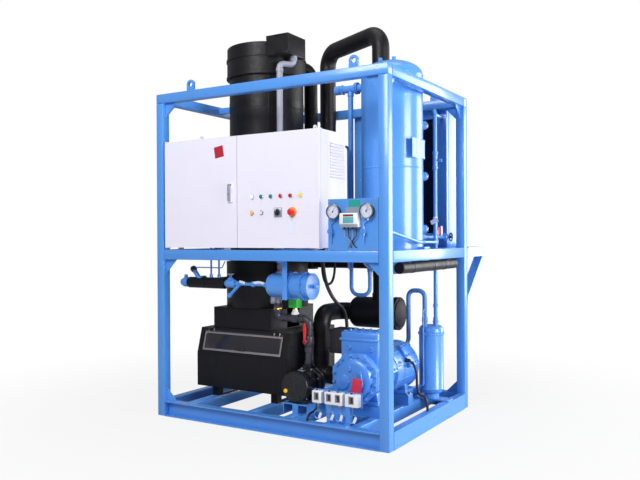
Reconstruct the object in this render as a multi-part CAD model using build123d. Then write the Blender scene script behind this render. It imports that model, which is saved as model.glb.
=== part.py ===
"""Tube ice machine on an open steel frame.

The frame is a welded box of square tubes on a base of channels. Its upper bay carries the control
cabinet, the insulated evaporator and the liquid receiver. Its lower bay carries the water tank with
the ice cutter, the circulation pump, the compressor and the oil separator. All sizes are in
millimetres. The origin is on the floor, at the middle of the base. +X is to the right, +Y to the
back and +Z up, as seen from the front.
"""
import math
import os

from build123d import *

# Frame
FRAME_WIDTH = 1680
FRAME_DEPTH = 1230
FRAME_HEIGHT = 2100
POST_SIDE = 60
TOP_BEAM_HEIGHT = 60
MIDDLE_BEAM_HEIGHT = 65
MIDDLE_LEVEL = 1087
BASE_HEIGHT = 100
BASE_FLANGE = 50
BASE_WEB = 6
BASE_LIP = 8
DECK_BEAM_WIDTH = 60
DECK_BEAM_HEIGHT = 80
DECK_BEAM_X = (150, 430, 600)
CROSS_BEAM_WIDTH = 50
CROSS_BEAM_X = (-75, 215)
ANCHOR_SPACING_X = 1400
ANCHOR_HOLE_RADIUS = 9
GUSSET_LEG = 85
GUSSET_THICKNESS = 8
REAR_ARM_LENGTH = 370
REAR_BRACE_DROP = 330
REAR_BRACE_SIDE = 60
REAR_RAIL_WIDTH = 50
EYE_RADIUS = 30
EYE_HOLE_RADIUS = 15
EYE_THICKNESS = 15
EYE_FOOT_HEIGHT = 12
EYE_X = (-566, 618)

# Small clearance between pieces that seat against each other
SEAT_GAP = 0.3

# Control cabinet
CABINET_WIDTH = 1170
CABINET_HEIGHT = 682
CABINET_DEPTH = 310
CABINET_SIDE_GAP = 14
CABINET_FOOT_HEIGHT = 13
CABINET_FOOT_RADIUS = 18
SHEET = 3
DOOR_THICKNESS = 20
DOOR_REVEAL = 3
PIVOT_INSET = 7
PIVOT_RADIUS = 2.5
PIVOT_TAB = 4
LEFT_DOOR_WIDTH = 588
LOUVRE_COUNT = 12
LOUVRE_LENGTH = 165
LOUVRE_PITCH = 18
LOUVRE_SLOT = 8
LOUVRE_HOOD = 7
LOUVRE_FRONT_MARGIN = 18
LOUVRE_TOP_DROP = 66
LAMP_RADIUS = 14
LAMP_PROUD = 13
LAMP_PITCH = 69.3
LAMP_COUNT = 6
LAMP_ROW_HEIGHT = 305
BUTTON_ROW_HEIGHT = 209
FIRST_LAMP_OFFSET = 114
BUTTON_RADIUS = 14.5
BUTTON_STEM_RADIUS = 8
BUTTON_PROUD = 12
BUTTON_TRAVEL = 4
SWITCH_PLATE_SIDE = 56
SWITCH_PLATE_THICKNESS = 5
SELECTOR_OFFSET = 302
SELECTOR_RADIUS = 19
SELECTOR_LEVER_LENGTH = 34
EMERGENCY_OFFSET = 402
EMERGENCY_RING_RADIUS = 30
EMERGENCY_HEAD_RADIUS = 20
EMERGENCY_PROUD = 30
RUNNING_CLEARANCE = 0.05
LOCK_WIDTH = 34
LOCK_HEIGHT = 116
LOCK_PROUD = 9
LOCK_INSET = 52
LOCK_CENTRE_HEIGHT = 336
PLATE_MARGIN = 34
PLATE_STANDOFF = 28
GEAR_DEPTH = 85

# Gauge panel
PANEL_WIDTH = 313
PANEL_HEIGHT = 285
PANEL_LIP = 22
PANEL_LIFT = 3
GAUGE_RADIUS = 42
GAUGE_DEPTH = 34
GAUGE_RIM = 6
GAUGE_DIAL_RECESS = 8
GAUGE_GLASS = 2
GAUGE_SPACING = 210
GAUGE_DROP = 71
NEEDLE_LENGTH = 26
NEEDLE_TAIL = 9
NEEDLE_WIDTH = 3
NEEDLE_THICKNESS = 1.5
NEEDLE_REST = 27
CONTROLLER_WIDTH = 115
CONTROLLER_HEIGHT = 79
CONTROLLER_DEPTH = 40
CONTROLLER_BASE = 129
PANEL_VALVE_RADIUS = 9
PANEL_VALVE_X = (25, 231)

# Ice making column
EVAPORATOR_CENTRE = (-372, -25)
EVAPORATOR_RADIUS = 255
EVAPORATOR_FOOT_RADIUS = 280
EVAPORATOR_FOOT_TOP = 1000
HEAD_RADIUS = 270
HEAD_LIFT = 140
HEAD_HEIGHT = 210
HEAD_BOTTOM = FRAME_HEIGHT + HEAD_LIFT
HEAD_TOP = HEAD_BOTTOM + HEAD_HEIGHT
HEAD_BAND = 5
HEAD_BAND_HEIGHT = 16
WATER_BOX_SIZE = (170, 210, 130)
WATER_BOX_LIFT = 108
WATER_BOX_CORNER = (-215, -250, HEAD_BOTTOM + WATER_BOX_LIFT)
HOUSING_SIZE = (470, 520, 142)
HOUSING_CENTRE = (-395, -30)
HOUSING_WALL = 6
HOUSING_OPENING = 225
TANK_LENGTH = 726
TANK_DEPTH = 600
TANK_BOTTOM = 164
TANK_SHOULDER = 392
TANK_TOP = 552
TANK_SLOPE_RUN = 45
TANK_WALL = 5
TANK_RIGHT = 0
TANK_FRONT = -350
TANK_DECK_BEAM_X = (-600, -120)
WINDOW_MARGIN = 42
COVER_THICKNESS = 8
COVER_OVERLAP = 16
COVER_GAP = 0.4
CUTTER_RADIUS = 195
CUTTER_HUB_RADIUS = 32
CUTTER_SHAFT_RADIUS = 15
CUTTER_ARMS = 6
CUTTER_HEIGHT = 26
CUTTER_LEVEL = 612
HINGE_RISE = 5

# Pump
PUMP_X = 150
PUMP_AXIS_HEIGHT = 265
PUMP_MOTOR_RADIUS = 92
PUMP_MOTOR_FRONT = -492
PUMP_MOTOR_LENGTH = 138
PUMP_VOLUTE_RADIUS = 100
PUMP_VOLUTE_DEPTH = 62
PUMP_FIN_COUNT = 12
PUMP_BASE_WIDTH = 176
WATER_PIPE_RADIUS = 22
PUMP_SUCTION_RADIUS = 26
WATER_PIPE_LEVEL = 655
VALVE_LEVEL = 520
VALVE_BODY_RADIUS = 32
VALVE_HANDLE_LENGTH = 118
SOLENOID_SIDE = 62
SOLENOID_BASE = 745
SOLENOID_X = 50
RISER_RADIUS = 20
RISER_X = -130
RISER_Y = -220
RISER_LOW_X = -80
PUMP_SUCTION_Y = -215
PUMP_BASE_TOP = 160

# Insulated pipes
ARCH_RADIUS = 58
ARCH_RIGHT = (400, 190)
ARCH_LEFT = (-185, 492)
ARCH_RISE = 415
ARCH_LEVEL = FRAME_HEIGHT + ARCH_RISE
ARCH_BEND = 110
ARCH_ENTRY_DROP = 250
ARCH_ENTRY_LEVEL = FRAME_HEIGHT - ARCH_ENTRY_DROP
SUCTION_FILTER_RADIUS = 108
SUCTION_FILTER_LEVEL = 660
SUCTION_FILTER_X = (190, 540)
SUCTION_STUB_LEVEL = 792
SUCTION_PIPE_X = 75
SUCTION_PIPE_Y = -40
SUCTION_PIPE_LEVEL = 260
SIDE_LINE_RADIUS = 48
SIDE_LINE_X = -215
SIDE_LINE_Y = 300
LOW_LINE_RADIUS = 35
LOW_LINE_LEVEL = 980
RAIL_LINE_RADIUS = 33
RAIL_LINE_X = 800
RAIL_LINE_Y = (-400, 450)
SIDE_ENTRY_LIFT = 120
SIDE_ENTRY_LEVEL = HEAD_BOTTOM + SIDE_ENTRY_LIFT
OUTLET_PROUD = 8

# Receiver vessel and liquid pipes
VESSEL_CENTRE = (575, -10)
VESSEL_RADIUS = 192
VESSEL_BOTTOM = 1025
VESSEL_LIFT = 65
VESSEL_TOP = FRAME_HEIGHT + VESSEL_LIFT
DISH_HEIGHT = 96
SIGHT_GLASS_LEVELS = (1209, 1540, 1858)
SIGHT_GLASS_ANGLE = 31.2
SIGHT_GLASS_RADIUS = 24
SIGHT_GLASS_PROUD = 30
NAMEPLATE_SIZE = (190, 120)
NAMEPLATE_BASE = 1640
LIQUID_LIFT = 18
LIQUID_LEVEL = FRAME_HEIGHT + LIQUID_LIFT
LIQUID_RADIUS = 24
LIQUID_END_X = 170
BRANCH_X = 281
BRANCH_RADIUS = 17
BRANCH_BOTTOM = 790
BRANCH_REDUCER = 1000
DRAIN_X = 415
DRAIN_RADIUS = 12.5
DRAIN_TOP = 940
VENT_PIPE = (289, -60)
VENT_RADIUS = 8
VENT_DROP = 45
VENT_BOTTOM = 960
HIGH_VALVE_LEVEL = 1160
HANDWHEEL_RADIUS = 31
HANDWHEEL_CENTRE = (715, 520)

# Filter drier and liquid line under the middle beam
DRIER_X = (-50, 293)
DRIER_Y = -450
DRIER_LEVEL = 868
DRIER_RADIUS = 74
DRIER_FLANGE_RADIUS = 86
HANGER_X = (98, 132)
LINE_RADIUS = 11
LINE_SLEEVE_RADIUS = 36
NOZZLE_X = -560

# Compressor
COMPRESSOR_X = 508
COMPRESSOR_AXIS_HEIGHT = 332
COMPRESSOR_RADIUS = 140
COMPRESSOR_FRONT = -385
COMPRESSOR_BACK = 190
MOTOR_RADIUS = 150
HEAD_BLOCK_X = (382, 630)
HEAD_BLOCK_Y = (-330, -155)
HEAD_BLOCK_TOP = 595
HEAD_LID_LIP = 7
END_COVER_RADIUS = 152
END_COVER_DEPTH = 38
COMPRESSOR_FOOT_TOP = 165
COMPRESSOR_FOOT_Y = (-300, 90)
TERMINAL_BOX_DEPTH = 140
TERMINAL_BOX_HEIGHT = 150
TERMINAL_BOX_CORNER = (240, -230, 440)

# Oil separator and hot gas pipes
SEPARATOR_CENTRE = (695, 320)
SEPARATOR_RADIUS = 80
SEPARATOR_BASE = 139
SEPARATOR_TOP = 584
NECK_X = (650, 727)
NECK_HEIGHT = 26
HOT_GAS_RADIUS = 15
HOT_GAS_START_X = 533
HOT_GAS_TOP = 805
RISING_GAS_RADIUS = 13
RISING_GAS_DROP = 110
RISING_GAS_TOP = FRAME_HEIGHT - RISING_GAS_DROP
GAS_VALVE_BASE = 1600
GAS_VALVE_HEIGHT = 120
GAS_STUB_LENGTH = 46
GAS_STUB_RADIUS = 8
OIL_PIPE_RADIUS = 6
OIL_PIPE_X = 679
OIL_PIPE_Y = (262, 226)
OIL_PIPE_TOP = 690
OIL_PIPE_LEVEL = 197
OIL_PIPE_BEND = 17
OIL_NECK_RADIUS = 9
OIL_NECK_HEIGHT = 16
OIL_RETURN_X = (640, 590)
OIL_RETURN_Y = 150

# Pressure switches
SWITCH_BASE = 215
SWITCH_HEIGHT = 70
SWITCH_DEPTH = 42
SWITCH_FRONT = -600
SWITCH_SPANS = ((341, 402), (424, 540), (556, 640))
COIL_RADIUS = 24
COIL_WIRE = 2.5
COIL_LEVEL = 146

# Cables
SUPPLY_RADIUS = 11
SUPPLY_X = (262, 335)
SUPPLY_Y = -340
SUPPLY_DROP = 170
SUPPLY_RISE = (190, 110)
SUPPLY_BEND = 45
SUPPLY_BOX_INSET = 60
PUMP_CABLE_RADIUS = 7
PUMP_CABLE_Y = -470
PUMP_CABLE_REACH = 60
PUMP_CABLE_LEVEL = 40
PUMP_CABLE_BEND = 28
LOOP_RADIUS = 8
LOOP_Y = -20
LOOP_LEVELS = (400, 190)
LOOP_CORNER_SHARE = 0.524
LOOP_BEND_SHARE = 0.218
CABLE_EDGE = 30
HOSE_RADIUS = 8
HOSE_X = 228
HOSE_Y = (-290, -130)
HOSE_DROP = 154
HOSE_BEND = 60

# Rear casing
CASING_X = (-33, 690)
CASING_TOP_DROP = 15
CASING_HEIGHT = FRAME_HEIGHT - MIDDLE_LEVEL - CASING_TOP_DROP
CASING_BORDER = 100
CASING_RECESS = 42

NOZZLE_FRONT = DRIER_Y + LINE_SLEEVE_RADIUS + SEAT_GAP
HALF_WIDTH = FRAME_WIDTH / 2
HALF_DEPTH = FRAME_DEPTH / 2
INNER_X = HALF_WIDTH - POST_SIDE
INNER_Y = HALF_DEPTH - POST_SIDE
MIDDLE_BOTTOM = MIDDLE_LEVEL - MIDDLE_BEAM_HEIGHT
CABINET_LEFT = -INNER_X + CABINET_SIDE_GAP
CABINET_RIGHT = CABINET_LEFT + CABINET_WIDTH
CABINET_BOTTOM = MIDDLE_LEVEL + CABINET_FOOT_HEIGHT
CABINET_TOP = CABINET_BOTTOM + CABINET_HEIGHT
DOOR_FRONT = -HALF_DEPTH
DOOR_BACK = DOOR_FRONT + DOOR_THICKNESS
SHELL_FRONT = DOOR_BACK + DOOR_REVEAL
SHELL_BACK = DOOR_FRONT + CABINET_DEPTH
DOOR_SPLIT = CABINET_LEFT + LEFT_DOOR_WIDTH


def block(x_range, y_range, z_range):
    """Return a box between three pairs of limits."""
    size = [max(pair) - min(pair) for pair in (x_range, y_range, z_range)]
    corner = [min(pair) for pair in (x_range, y_range, z_range)]
    return Pos(*corner) * Box(*size, align=(Align.MIN, Align.MIN, Align.MIN))


def rod(start, direction, radius, length):
    """Return a cylinder that starts at a point and runs along a direction."""
    face = Plane(origin=start, z_dir=direction) * Circle(radius)
    return extrude(face, amount=length)


def tube(start, direction, outer, inner, length):
    """Return a ring or hollow cylinder that runs along a direction."""
    return rod(start, direction, outer, length) - rod(start, direction, inner, length)


def pipe_run(points, radius, bend):
    """Return a round bar that follows straight runs with rounded corners."""
    path = FilletPolyline(*points, radius=bend)
    section = Plane(origin=path @ 0, z_dir=path % 0) * Circle(radius)
    return sweep(section, path=path)


def prism_x(points, x_range):
    """Return a prism along X from points given as (y, z)."""
    outline = [(min(x_range), y, z) for y, z in points]
    face = Face(Wire.make_polygon([Vector(*p) for p in outline], close=True))
    return extrude(face, amount=max(x_range) - min(x_range), dir=(1, 0, 0))


def prism_y(points, y_range):
    """Return a prism along Y from points given as (x, z)."""
    outline = [(x, min(y_range), z) for x, z in points]
    face = Face(Wire.make_polygon([Vector(*p) for p in outline], close=True))
    return extrude(face, amount=max(y_range) - min(y_range), dir=(0, 1, 0))


def join(solids):
    """Fuse solids that are welded or cast together."""
    result = solids[0]
    for solid in solids[1:]:
        result = result + solid
    return result


def save(name, shapes):
    """Write one node, keeping separate pieces as separate solids."""
    shapes = shapes if isinstance(shapes, (list, tuple)) else [shapes]
    solids = [solid for shape in shapes for solid in shape.solids()]
    result = solids[0] if len(solids) == 1 else Compound(children=solids)
    result.label = name
    export_step(result, f"parts/{name}.step")


def around(centre, radius, angle_deg):
    """Return the point on a circle at an angle from +X."""
    angle = math.radians(angle_deg)
    return centre[0] + radius * math.cos(angle), centre[1] + radius * math.sin(angle)


# Frame


def channel_x(x_range, outer_y, side):
    """Return a base channel along X that opens to the outside."""
    inner_y = outer_y - side * BASE_FLANGE
    web = block(x_range, (inner_y, inner_y + side * BASE_WEB), (0, BASE_HEIGHT))
    low = block(x_range, (inner_y, outer_y), (0, BASE_LIP))
    high = block(x_range, (inner_y, outer_y), (BASE_HEIGHT - BASE_LIP, BASE_HEIGHT))
    channel = web + low + high
    for x in (-ANCHOR_SPACING_X / 2, ANCHOR_SPACING_X / 2):
        centre = (x, anchor_y(side), -1)
        channel = channel - rod(centre, (0, 0, 1), ANCHOR_HOLE_RADIUS, BASE_LIP + 2)
    return channel


def anchor_y(side):
    """Return the Y of the anchor holes on one side, midway across the flange."""
    return side * (HALF_DEPTH - (BASE_FLANGE - BASE_WEB) / 2)


def base_rails():
    """Return the four channels of the base."""
    rails = [channel_x((-INNER_X, INNER_X), side * HALF_DEPTH, side) for side in (-1, 1)]
    for side in (-1, 1):
        outer = side * HALF_WIDTH
        inner = outer - side * BASE_FLANGE
        span = (-INNER_Y, INNER_Y)
        web = block((outer, outer - side * BASE_WEB), span, (0, BASE_HEIGHT))
        low = block((inner, outer), span, (0, BASE_LIP))
        high = block((inner, outer), span, (BASE_HEIGHT - BASE_LIP, BASE_HEIGHT))
        rails.append(web + low + high)
    return rails


def deck_beams():
    """Return the front-to-back beams that carry the lower bay."""
    reach = HALF_DEPTH - BASE_FLANGE
    bottom = BASE_HEIGHT - DECK_BEAM_HEIGHT
    beams = []
    for x in TANK_DECK_BEAM_X + DECK_BEAM_X:
        half = DECK_BEAM_WIDTH / 2
        beams.append(block((x - half, x + half), (-reach, reach), (bottom, BASE_HEIGHT)))
    return beams


def corner_posts():
    """Return the four corner posts."""
    posts = []
    for x in (-1, 1):
        for y in (-1, 1):
            posts.append(block((x * INNER_X, x * HALF_WIDTH), (y * INNER_Y, y * HALF_DEPTH),
                               (0, FRAME_HEIGHT - TOP_BEAM_HEIGHT)))
    return posts


def top_beams():
    """Return the ring of top beams, which lies on the posts."""
    level = (FRAME_HEIGHT - TOP_BEAM_HEIGHT, FRAME_HEIGHT)
    beams = []
    for side in (-1, 1):
        beams.append(block((-HALF_WIDTH, HALF_WIDTH), (side * INNER_Y, side * HALF_DEPTH), level))
        beams.append(block((side * INNER_X, side * HALF_WIDTH), (-INNER_Y, INNER_Y), level))
    return beams


def middle_beams():
    """Return the beams at middle height, with two cross beams."""
    level = (MIDDLE_BOTTOM, MIDDLE_LEVEL)
    beams = []
    for side in (-1, 1):
        beams.append(block((-INNER_X, INNER_X), (side * INNER_Y, side * HALF_DEPTH), level))
        beams.append(block((side * INNER_X, side * HALF_WIDTH), (-INNER_Y, INNER_Y), level))
    half = CROSS_BEAM_WIDTH / 2
    for x in CROSS_BEAM_X:
        beams.append(block((x - half, x + half), (-INNER_Y, INNER_Y), level))
    return beams


def rear_support():
    """Return the arms, braces, end beam and rails behind the frame."""
    level = (MIDDLE_BOTTOM, MIDDLE_LEVEL)
    end = HALF_DEPTH + REAR_ARM_LENGTH
    foot = MIDDLE_BOTTOM - REAR_BRACE_DROP
    pieces = []
    for side in (-1, 1):
        span = (side * INNER_X, side * HALF_WIDTH)
        pieces.append(block(span, (HALF_DEPTH, end), level))
        outline = [(HALF_DEPTH, foot), (HALF_DEPTH, foot + REAR_BRACE_SIDE),
                   (end - REAR_BRACE_SIDE, MIDDLE_BOTTOM), (end, MIDDLE_BOTTOM)]
        pieces.append(prism_x(outline, span))
    pieces.append(block((-INNER_X, INNER_X), (end - POST_SIDE, end), level))
    for x in (CASING_X[0] + REAR_BRACE_SIDE, CASING_X[1] - REAR_BRACE_SIDE):
        half = REAR_RAIL_WIDTH / 2
        pieces.append(block((x - half, x + half), (HALF_DEPTH, end - POST_SIDE), level))
    return pieces


def corner_gussets():
    """Return the triangular stiffening plates between posts and beams."""
    plates = []
    half = GUSSET_THICKNESS / 2
    under_top = FRAME_HEIGHT - TOP_BEAM_HEIGHT
    for x in (-1, 1):
        for y in (-1, 1):
            mid_y = y * (HALF_DEPTH - POST_SIDE / 2)
            mid_x = x * (HALF_WIDTH - POST_SIDE / 2)
            for level, leg in ((under_top, -GUSSET_LEG), (MIDDLE_BOTTOM, -GUSSET_LEG),
                               (BASE_HEIGHT, GUSSET_LEG)):
                if level == BASE_HEIGHT:
                    mid_y = y * (HALF_DEPTH - BASE_FLANGE / 2)
                corner = x * INNER_X
                outline = [(corner, level), (corner - x * GUSSET_LEG, level), (corner, level + leg)]
                plates.append(prism_y(outline, (mid_y - half, mid_y + half)))
            corner = y * INNER_Y
            outline = [(corner, under_top), (corner - y * GUSSET_LEG, under_top),
                       (corner, under_top - GUSSET_LEG)]
            plates.append(prism_x(outline, (mid_x - half, mid_x + half)))
    return plates


def lifting_eyes():
    """Return the welded lifting eyes on the top beams."""
    eyes = []
    spots = [(x, -HALF_DEPTH + POST_SIDE / 2) for x in EYE_X]
    spots += [(x, HALF_DEPTH - POST_SIDE / 2) for x in EYE_X]
    for x, y in spots:
        base = block((x - EYE_RADIUS, x + EYE_RADIUS), (y - EYE_THICKNESS / 2, y + EYE_THICKNESS / 2),
                     (FRAME_HEIGHT, FRAME_HEIGHT + EYE_FOOT_HEIGHT + EYE_RADIUS / 2))
        centre = (x, y - EYE_THICKNESS / 2, eye_level())
        ring = rod(centre, (0, 1, 0), EYE_RADIUS, EYE_THICKNESS)
        hole = rod(centre, (0, 1, 0), EYE_HOLE_RADIUS, EYE_THICKNESS)
        eyes.append(base + ring - hole)
    return eyes


def eye_level():
    """Return the height of the lifting eye centres."""
    return FRAME_HEIGHT + EYE_FOOT_HEIGHT + EYE_RADIUS


# Control cabinet


def cabinet_shell():
    """Return the sheet cabinet with its rim, feet, eyes and louvres."""
    outer = block((CABINET_LEFT, CABINET_RIGHT), (SHELL_FRONT, SHELL_BACK),
                  (CABINET_BOTTOM, CABINET_TOP))
    inner = block((CABINET_LEFT + SHEET, CABINET_RIGHT - SHEET), (SHELL_FRONT + SHEET, SHELL_BACK - SHEET),
                  (CABINET_BOTTOM + SHEET, CABINET_TOP - SHEET))
    rim = PLATE_MARGIN / 2
    mouth = block((CABINET_LEFT + rim, CABINET_RIGHT - rim), (SHELL_FRONT - 1, SHELL_FRONT + SHEET + 1),
                  (CABINET_BOTTOM + rim, CABINET_TOP - rim))
    shell = outer - inner - mouth
    for x in (CABINET_LEFT + 90, CABINET_RIGHT - 60):
        shell = shell + rod((x, -INNER_Y - POST_SIDE / 2 + 20, MIDDLE_LEVEL), (0, 0, 1),
                            CABINET_FOOT_RADIUS, CABINET_FOOT_HEIGHT)
        centre = (x if x > 0 else x + 168, SHELL_FRONT + 40, CABINET_TOP + 14)
        eye = tube((centre[0] - 4, centre[1], centre[2]), (1, 0, 0), 16, 8, 8)
        shell = shell + (eye - block((centre[0] - 9, centre[0] + 9), (centre[1] - 20, centre[1] + 20),
                                     (CABINET_TOP - 20, CABINET_TOP)))
    for x in CROSS_BEAM_X:
        shell = shell + rod((x, SHELL_BACK - 40, MIDDLE_LEVEL), (0, 0, 1), CABINET_FOOT_RADIUS,
                            CABINET_FOOT_HEIGHT)
    for x in pivot_points():
        shell = shell + pivot_tabs(x)
    y_range = louvre_span()
    for z in louvre_levels():
        slot = block((CABINET_RIGHT - SHEET - 1, CABINET_RIGHT + 1), (y_range[0] + 4, y_range[1] - 4),
                     (z, z + LOUVRE_SLOT))
        hood = prism_y([(CABINET_RIGHT, z + LOUVRE_SLOT + 3), (CABINET_RIGHT + LOUVRE_HOOD, z + 2),
                        (CABINET_RIGHT + LOUVRE_HOOD - 2, z), (CABINET_RIGHT, z + LOUVRE_SLOT)], y_range)
        shell = shell - slot + hood
    return shell


def pivot_points():
    """Return the X of the left and the right door pivot."""
    return CABINET_LEFT + PIVOT_INSET, CABINET_RIGHT - PIVOT_INSET


def pivot_tabs(x):
    """Return the upper and lower pivot of one door, each a tab with a pin."""
    pieces = []
    y = DOOR_FRONT + DOOR_THICKNESS / 2
    half = PIVOT_INSET - 1
    for level, up in ((CABINET_TOP, 1), (CABINET_BOTTOM, -1)):
        near = level + up * SEAT_GAP
        far = near + up * PIVOT_TAB
        pieces.append(block((x - half, x + half), (y - half, SHELL_FRONT + 18), (near, far)))
        pieces.append(block((x - half, x + half), (SHELL_FRONT, SHELL_FRONT + 18), (level - up, near)))
        pieces.append(rod((x, y, far), (0, 0, -up), PIVOT_RADIUS, PIVOT_TAB + SHEET + 6))
    return join(pieces)


def louvre_span():
    """Return the Y limits of the louvres on the right wall."""
    end = SHELL_BACK - LOUVRE_FRONT_MARGIN
    return end - LOUVRE_LENGTH, end


def louvre_levels():
    """Return the bottom heights of the louvre slots."""
    top = CABINET_TOP - LOUVRE_TOP_DROP
    return [top - LOUVRE_SLOT - index * LOUVRE_PITCH for index in range(LOUVRE_COUNT)]


def door_pan(x_range):
    """Return a door folded from sheet, open towards the cabinet."""
    slab = block(x_range, (DOOR_FRONT, DOOR_BACK), (CABINET_BOTTOM, CABINET_TOP))
    hollow = block((x_range[0] + SHEET, x_range[1] - SHEET), (DOOR_FRONT + SHEET, DOOR_BACK + 1),
                   (CABINET_BOTTOM + SHEET, CABINET_TOP - SHEET))
    door = slab - hollow
    x = next(x for x in pivot_points() if x_range[0] < x < x_range[1])
    centre = (x, DOOR_FRONT + DOOR_THICKNESS / 2, CABINET_BOTTOM - 1)
    return door - rod(centre, (0, 0, 1), PIVOT_RADIUS + RUNNING_CLEARANCE, CABINET_HEIGHT + 2)


def lock_centre():
    """Return the X and Z of the lock on the left door."""
    return DOOR_SPLIT - LOCK_INSET, CABINET_BOTTOM + LOCK_CENTRE_HEIGHT


def left_door():
    """Return the left door with the body of its lock."""
    door = door_pan((CABINET_LEFT, DOOR_SPLIT - DOOR_REVEAL / 2))
    x, z = lock_centre()
    body = block((x - LOCK_WIDTH / 2, x + LOCK_WIDTH / 2), (DOOR_FRONT - LOCK_PROUD, DOOR_FRONT),
                 (z - LOCK_HEIGHT / 2, z + LOCK_HEIGHT / 2))
    pivot_z = z - LOCK_HEIGHT / 2 + 20
    bore = rod((x, DOOR_FRONT - LOCK_PROUD - 1, pivot_z), (0, 1, 0), 7 + RUNNING_CLEARANCE,
               LOCK_PROUD + SHEET + 2)
    return door + body - bore


def door_lock_lever():
    """Return the swing lever of the lock with its shaft and inner cam."""
    x, z = lock_centre()
    pivot_z = z - LOCK_HEIGHT / 2 + 20
    front = DOOR_FRONT - LOCK_PROUD - SEAT_GAP
    lever = block((x - 9, x + 9), (front - 12, front), (pivot_z - 12, z + LOCK_HEIGHT / 2 - 14))
    shaft = rod((x, front - 1, pivot_z), (0, 1, 0), 7, LOCK_PROUD + SHEET + 8)
    cam = block((x - 8, x + 8), (DOOR_FRONT + SHEET + 2, DOOR_FRONT + SHEET + 6), (pivot_z - 10, pivot_z + 30))
    return lever + shaft + cam


def lamp_points():
    """Return the X and Z of the pilot lamps."""
    x = DOOR_SPLIT + FIRST_LAMP_OFFSET
    z = CABINET_BOTTOM + LAMP_ROW_HEIGHT
    return [(x + index * LAMP_PITCH, z) for index in range(LAMP_COUNT)]


def button_points():
    """Return the X and Z of the yellow and the white push button."""
    z = CABINET_BOTTOM + BUTTON_ROW_HEIGHT
    x = DOOR_SPLIT + FIRST_LAMP_OFFSET
    return (x - 2, z), (x + LAMP_PITCH, z)


def selector_point():
    """Return the X and Z of the selector switch."""
    return DOOR_SPLIT + SELECTOR_OFFSET, CABINET_BOTTOM + BUTTON_ROW_HEIGHT


def emergency_point():
    """Return the X and Z of the emergency button."""
    return DOOR_SPLIT + EMERGENCY_OFFSET, CABINET_BOTTOM + BUTTON_ROW_HEIGHT


def right_door():
    """Return the right door with the holes for the switch stems."""
    door = door_pan((DOOR_SPLIT + DOOR_REVEAL / 2, CABINET_RIGHT))
    for x, z in button_points() + (selector_point(), emergency_point()):
        door = door - rod((x, DOOR_FRONT - 1, z), (0, 1, 0), BUTTON_STEM_RADIUS + RUNNING_CLEARANCE,
                          SHEET + 2)
    return door


def pilot_lamps():
    """Return six lamps, each with its bezel and lens."""
    lamps = []
    for x, z in lamp_points():
        bezel = rod((x, DOOR_FRONT, z), (0, -1, 0), LAMP_RADIUS, LAMP_PROUD - 5)
        lens = Pos(x, DOOR_FRONT - LAMP_PROUD + 5, z) * Rot(90, 0, 0) * Cone(
            LAMP_RADIUS - 3, LAMP_RADIUS - 6, 5, align=(Align.CENTER, Align.CENTER, Align.MIN))
        lamps.append(bezel + lens)
    return lamps


def push_button(point):
    """Return a push button with its stem and the collar that holds it in the door."""
    x, z = point
    head = rod((x, DOOR_FRONT - BUTTON_PROUD, z), (0, 1, 0), BUTTON_RADIUS - 4, BUTTON_TRAVEL + 1)
    stem = rod((x, DOOR_FRONT - BUTTON_PROUD + 2, z), (0, 1, 0), BUTTON_STEM_RADIUS,
               BUTTON_PROUD + SHEET + 5)
    collar = rod((x, DOOR_FRONT + SHEET + SEAT_GAP, z), (0, 1, 0), BUTTON_RADIUS - 3, 4)
    return head + stem + collar


def switch_plates():
    """Return the fixed rings and plates in front of the right door."""
    plates = []
    bore = BUTTON_STEM_RADIUS + RUNNING_CLEARANCE
    for x, z in button_points():
        plates.append(tube((x, DOOR_FRONT, z), (0, -1, 0), BUTTON_RADIUS, bore, BUTTON_PROUD - 9.5))
    x, z = selector_point()
    half = SWITCH_PLATE_SIDE / 2
    plate = block((x - half, x + half), (DOOR_FRONT - SWITCH_PLATE_THICKNESS, DOOR_FRONT), (z - half, z + half))
    ring = rod((x, DOOR_FRONT, z), (0, -1, 0), SELECTOR_RADIUS + 3, SWITCH_PLATE_THICKNESS + 4)
    plates.append(plate + ring - rod((x, DOOR_FRONT + 1, z), (0, -1, 0), bore, 20))
    x, z = emergency_point()
    plates.append(tube((x, DOOR_FRONT, z), (0, -1, 0), EMERGENCY_RING_RADIUS, bore, 3))
    return plates


def selector_knob():
    """Return the selector knob with its lever and shaft."""
    x, z = selector_point()
    front = DOOR_FRONT - SWITCH_PLATE_THICKNESS - 4 - SEAT_GAP
    disc = rod((x, front, z), (0, -1, 0), SELECTOR_RADIUS, 5)
    half = SELECTOR_LEVER_LENGTH / 2
    lever = block((x - 5, x + 5), (front - 20, front - 4), (z - half, z + half))
    shaft = rod((x, front - 1, z), (0, 1, 0), BUTTON_STEM_RADIUS, DOOR_FRONT + SHEET + 7 - front)
    collar = rod((x, DOOR_FRONT + SHEET + SEAT_GAP, z), (0, 1, 0), BUTTON_RADIUS - 3, 4)
    return disc + lever + shaft + collar


def emergency_button():
    """Return the mushroom button with its stem."""
    x, z = emergency_point()
    front = DOOR_FRONT - EMERGENCY_PROUD
    head = rod((x, front, z), (0, 1, 0), EMERGENCY_HEAD_RADIUS, 14)
    head = fillet(head.edges().group_by(Axis.Y)[0], 4)
    neck = rod((x, front + 10, z), (0, 1, 0), BUTTON_STEM_RADIUS, EMERGENCY_PROUD + SHEET)
    collar = rod((x, DOOR_FRONT + SHEET + SEAT_GAP, z), (0, 1, 0), BUTTON_RADIUS - 3, 4)
    return head + neck + collar


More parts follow.
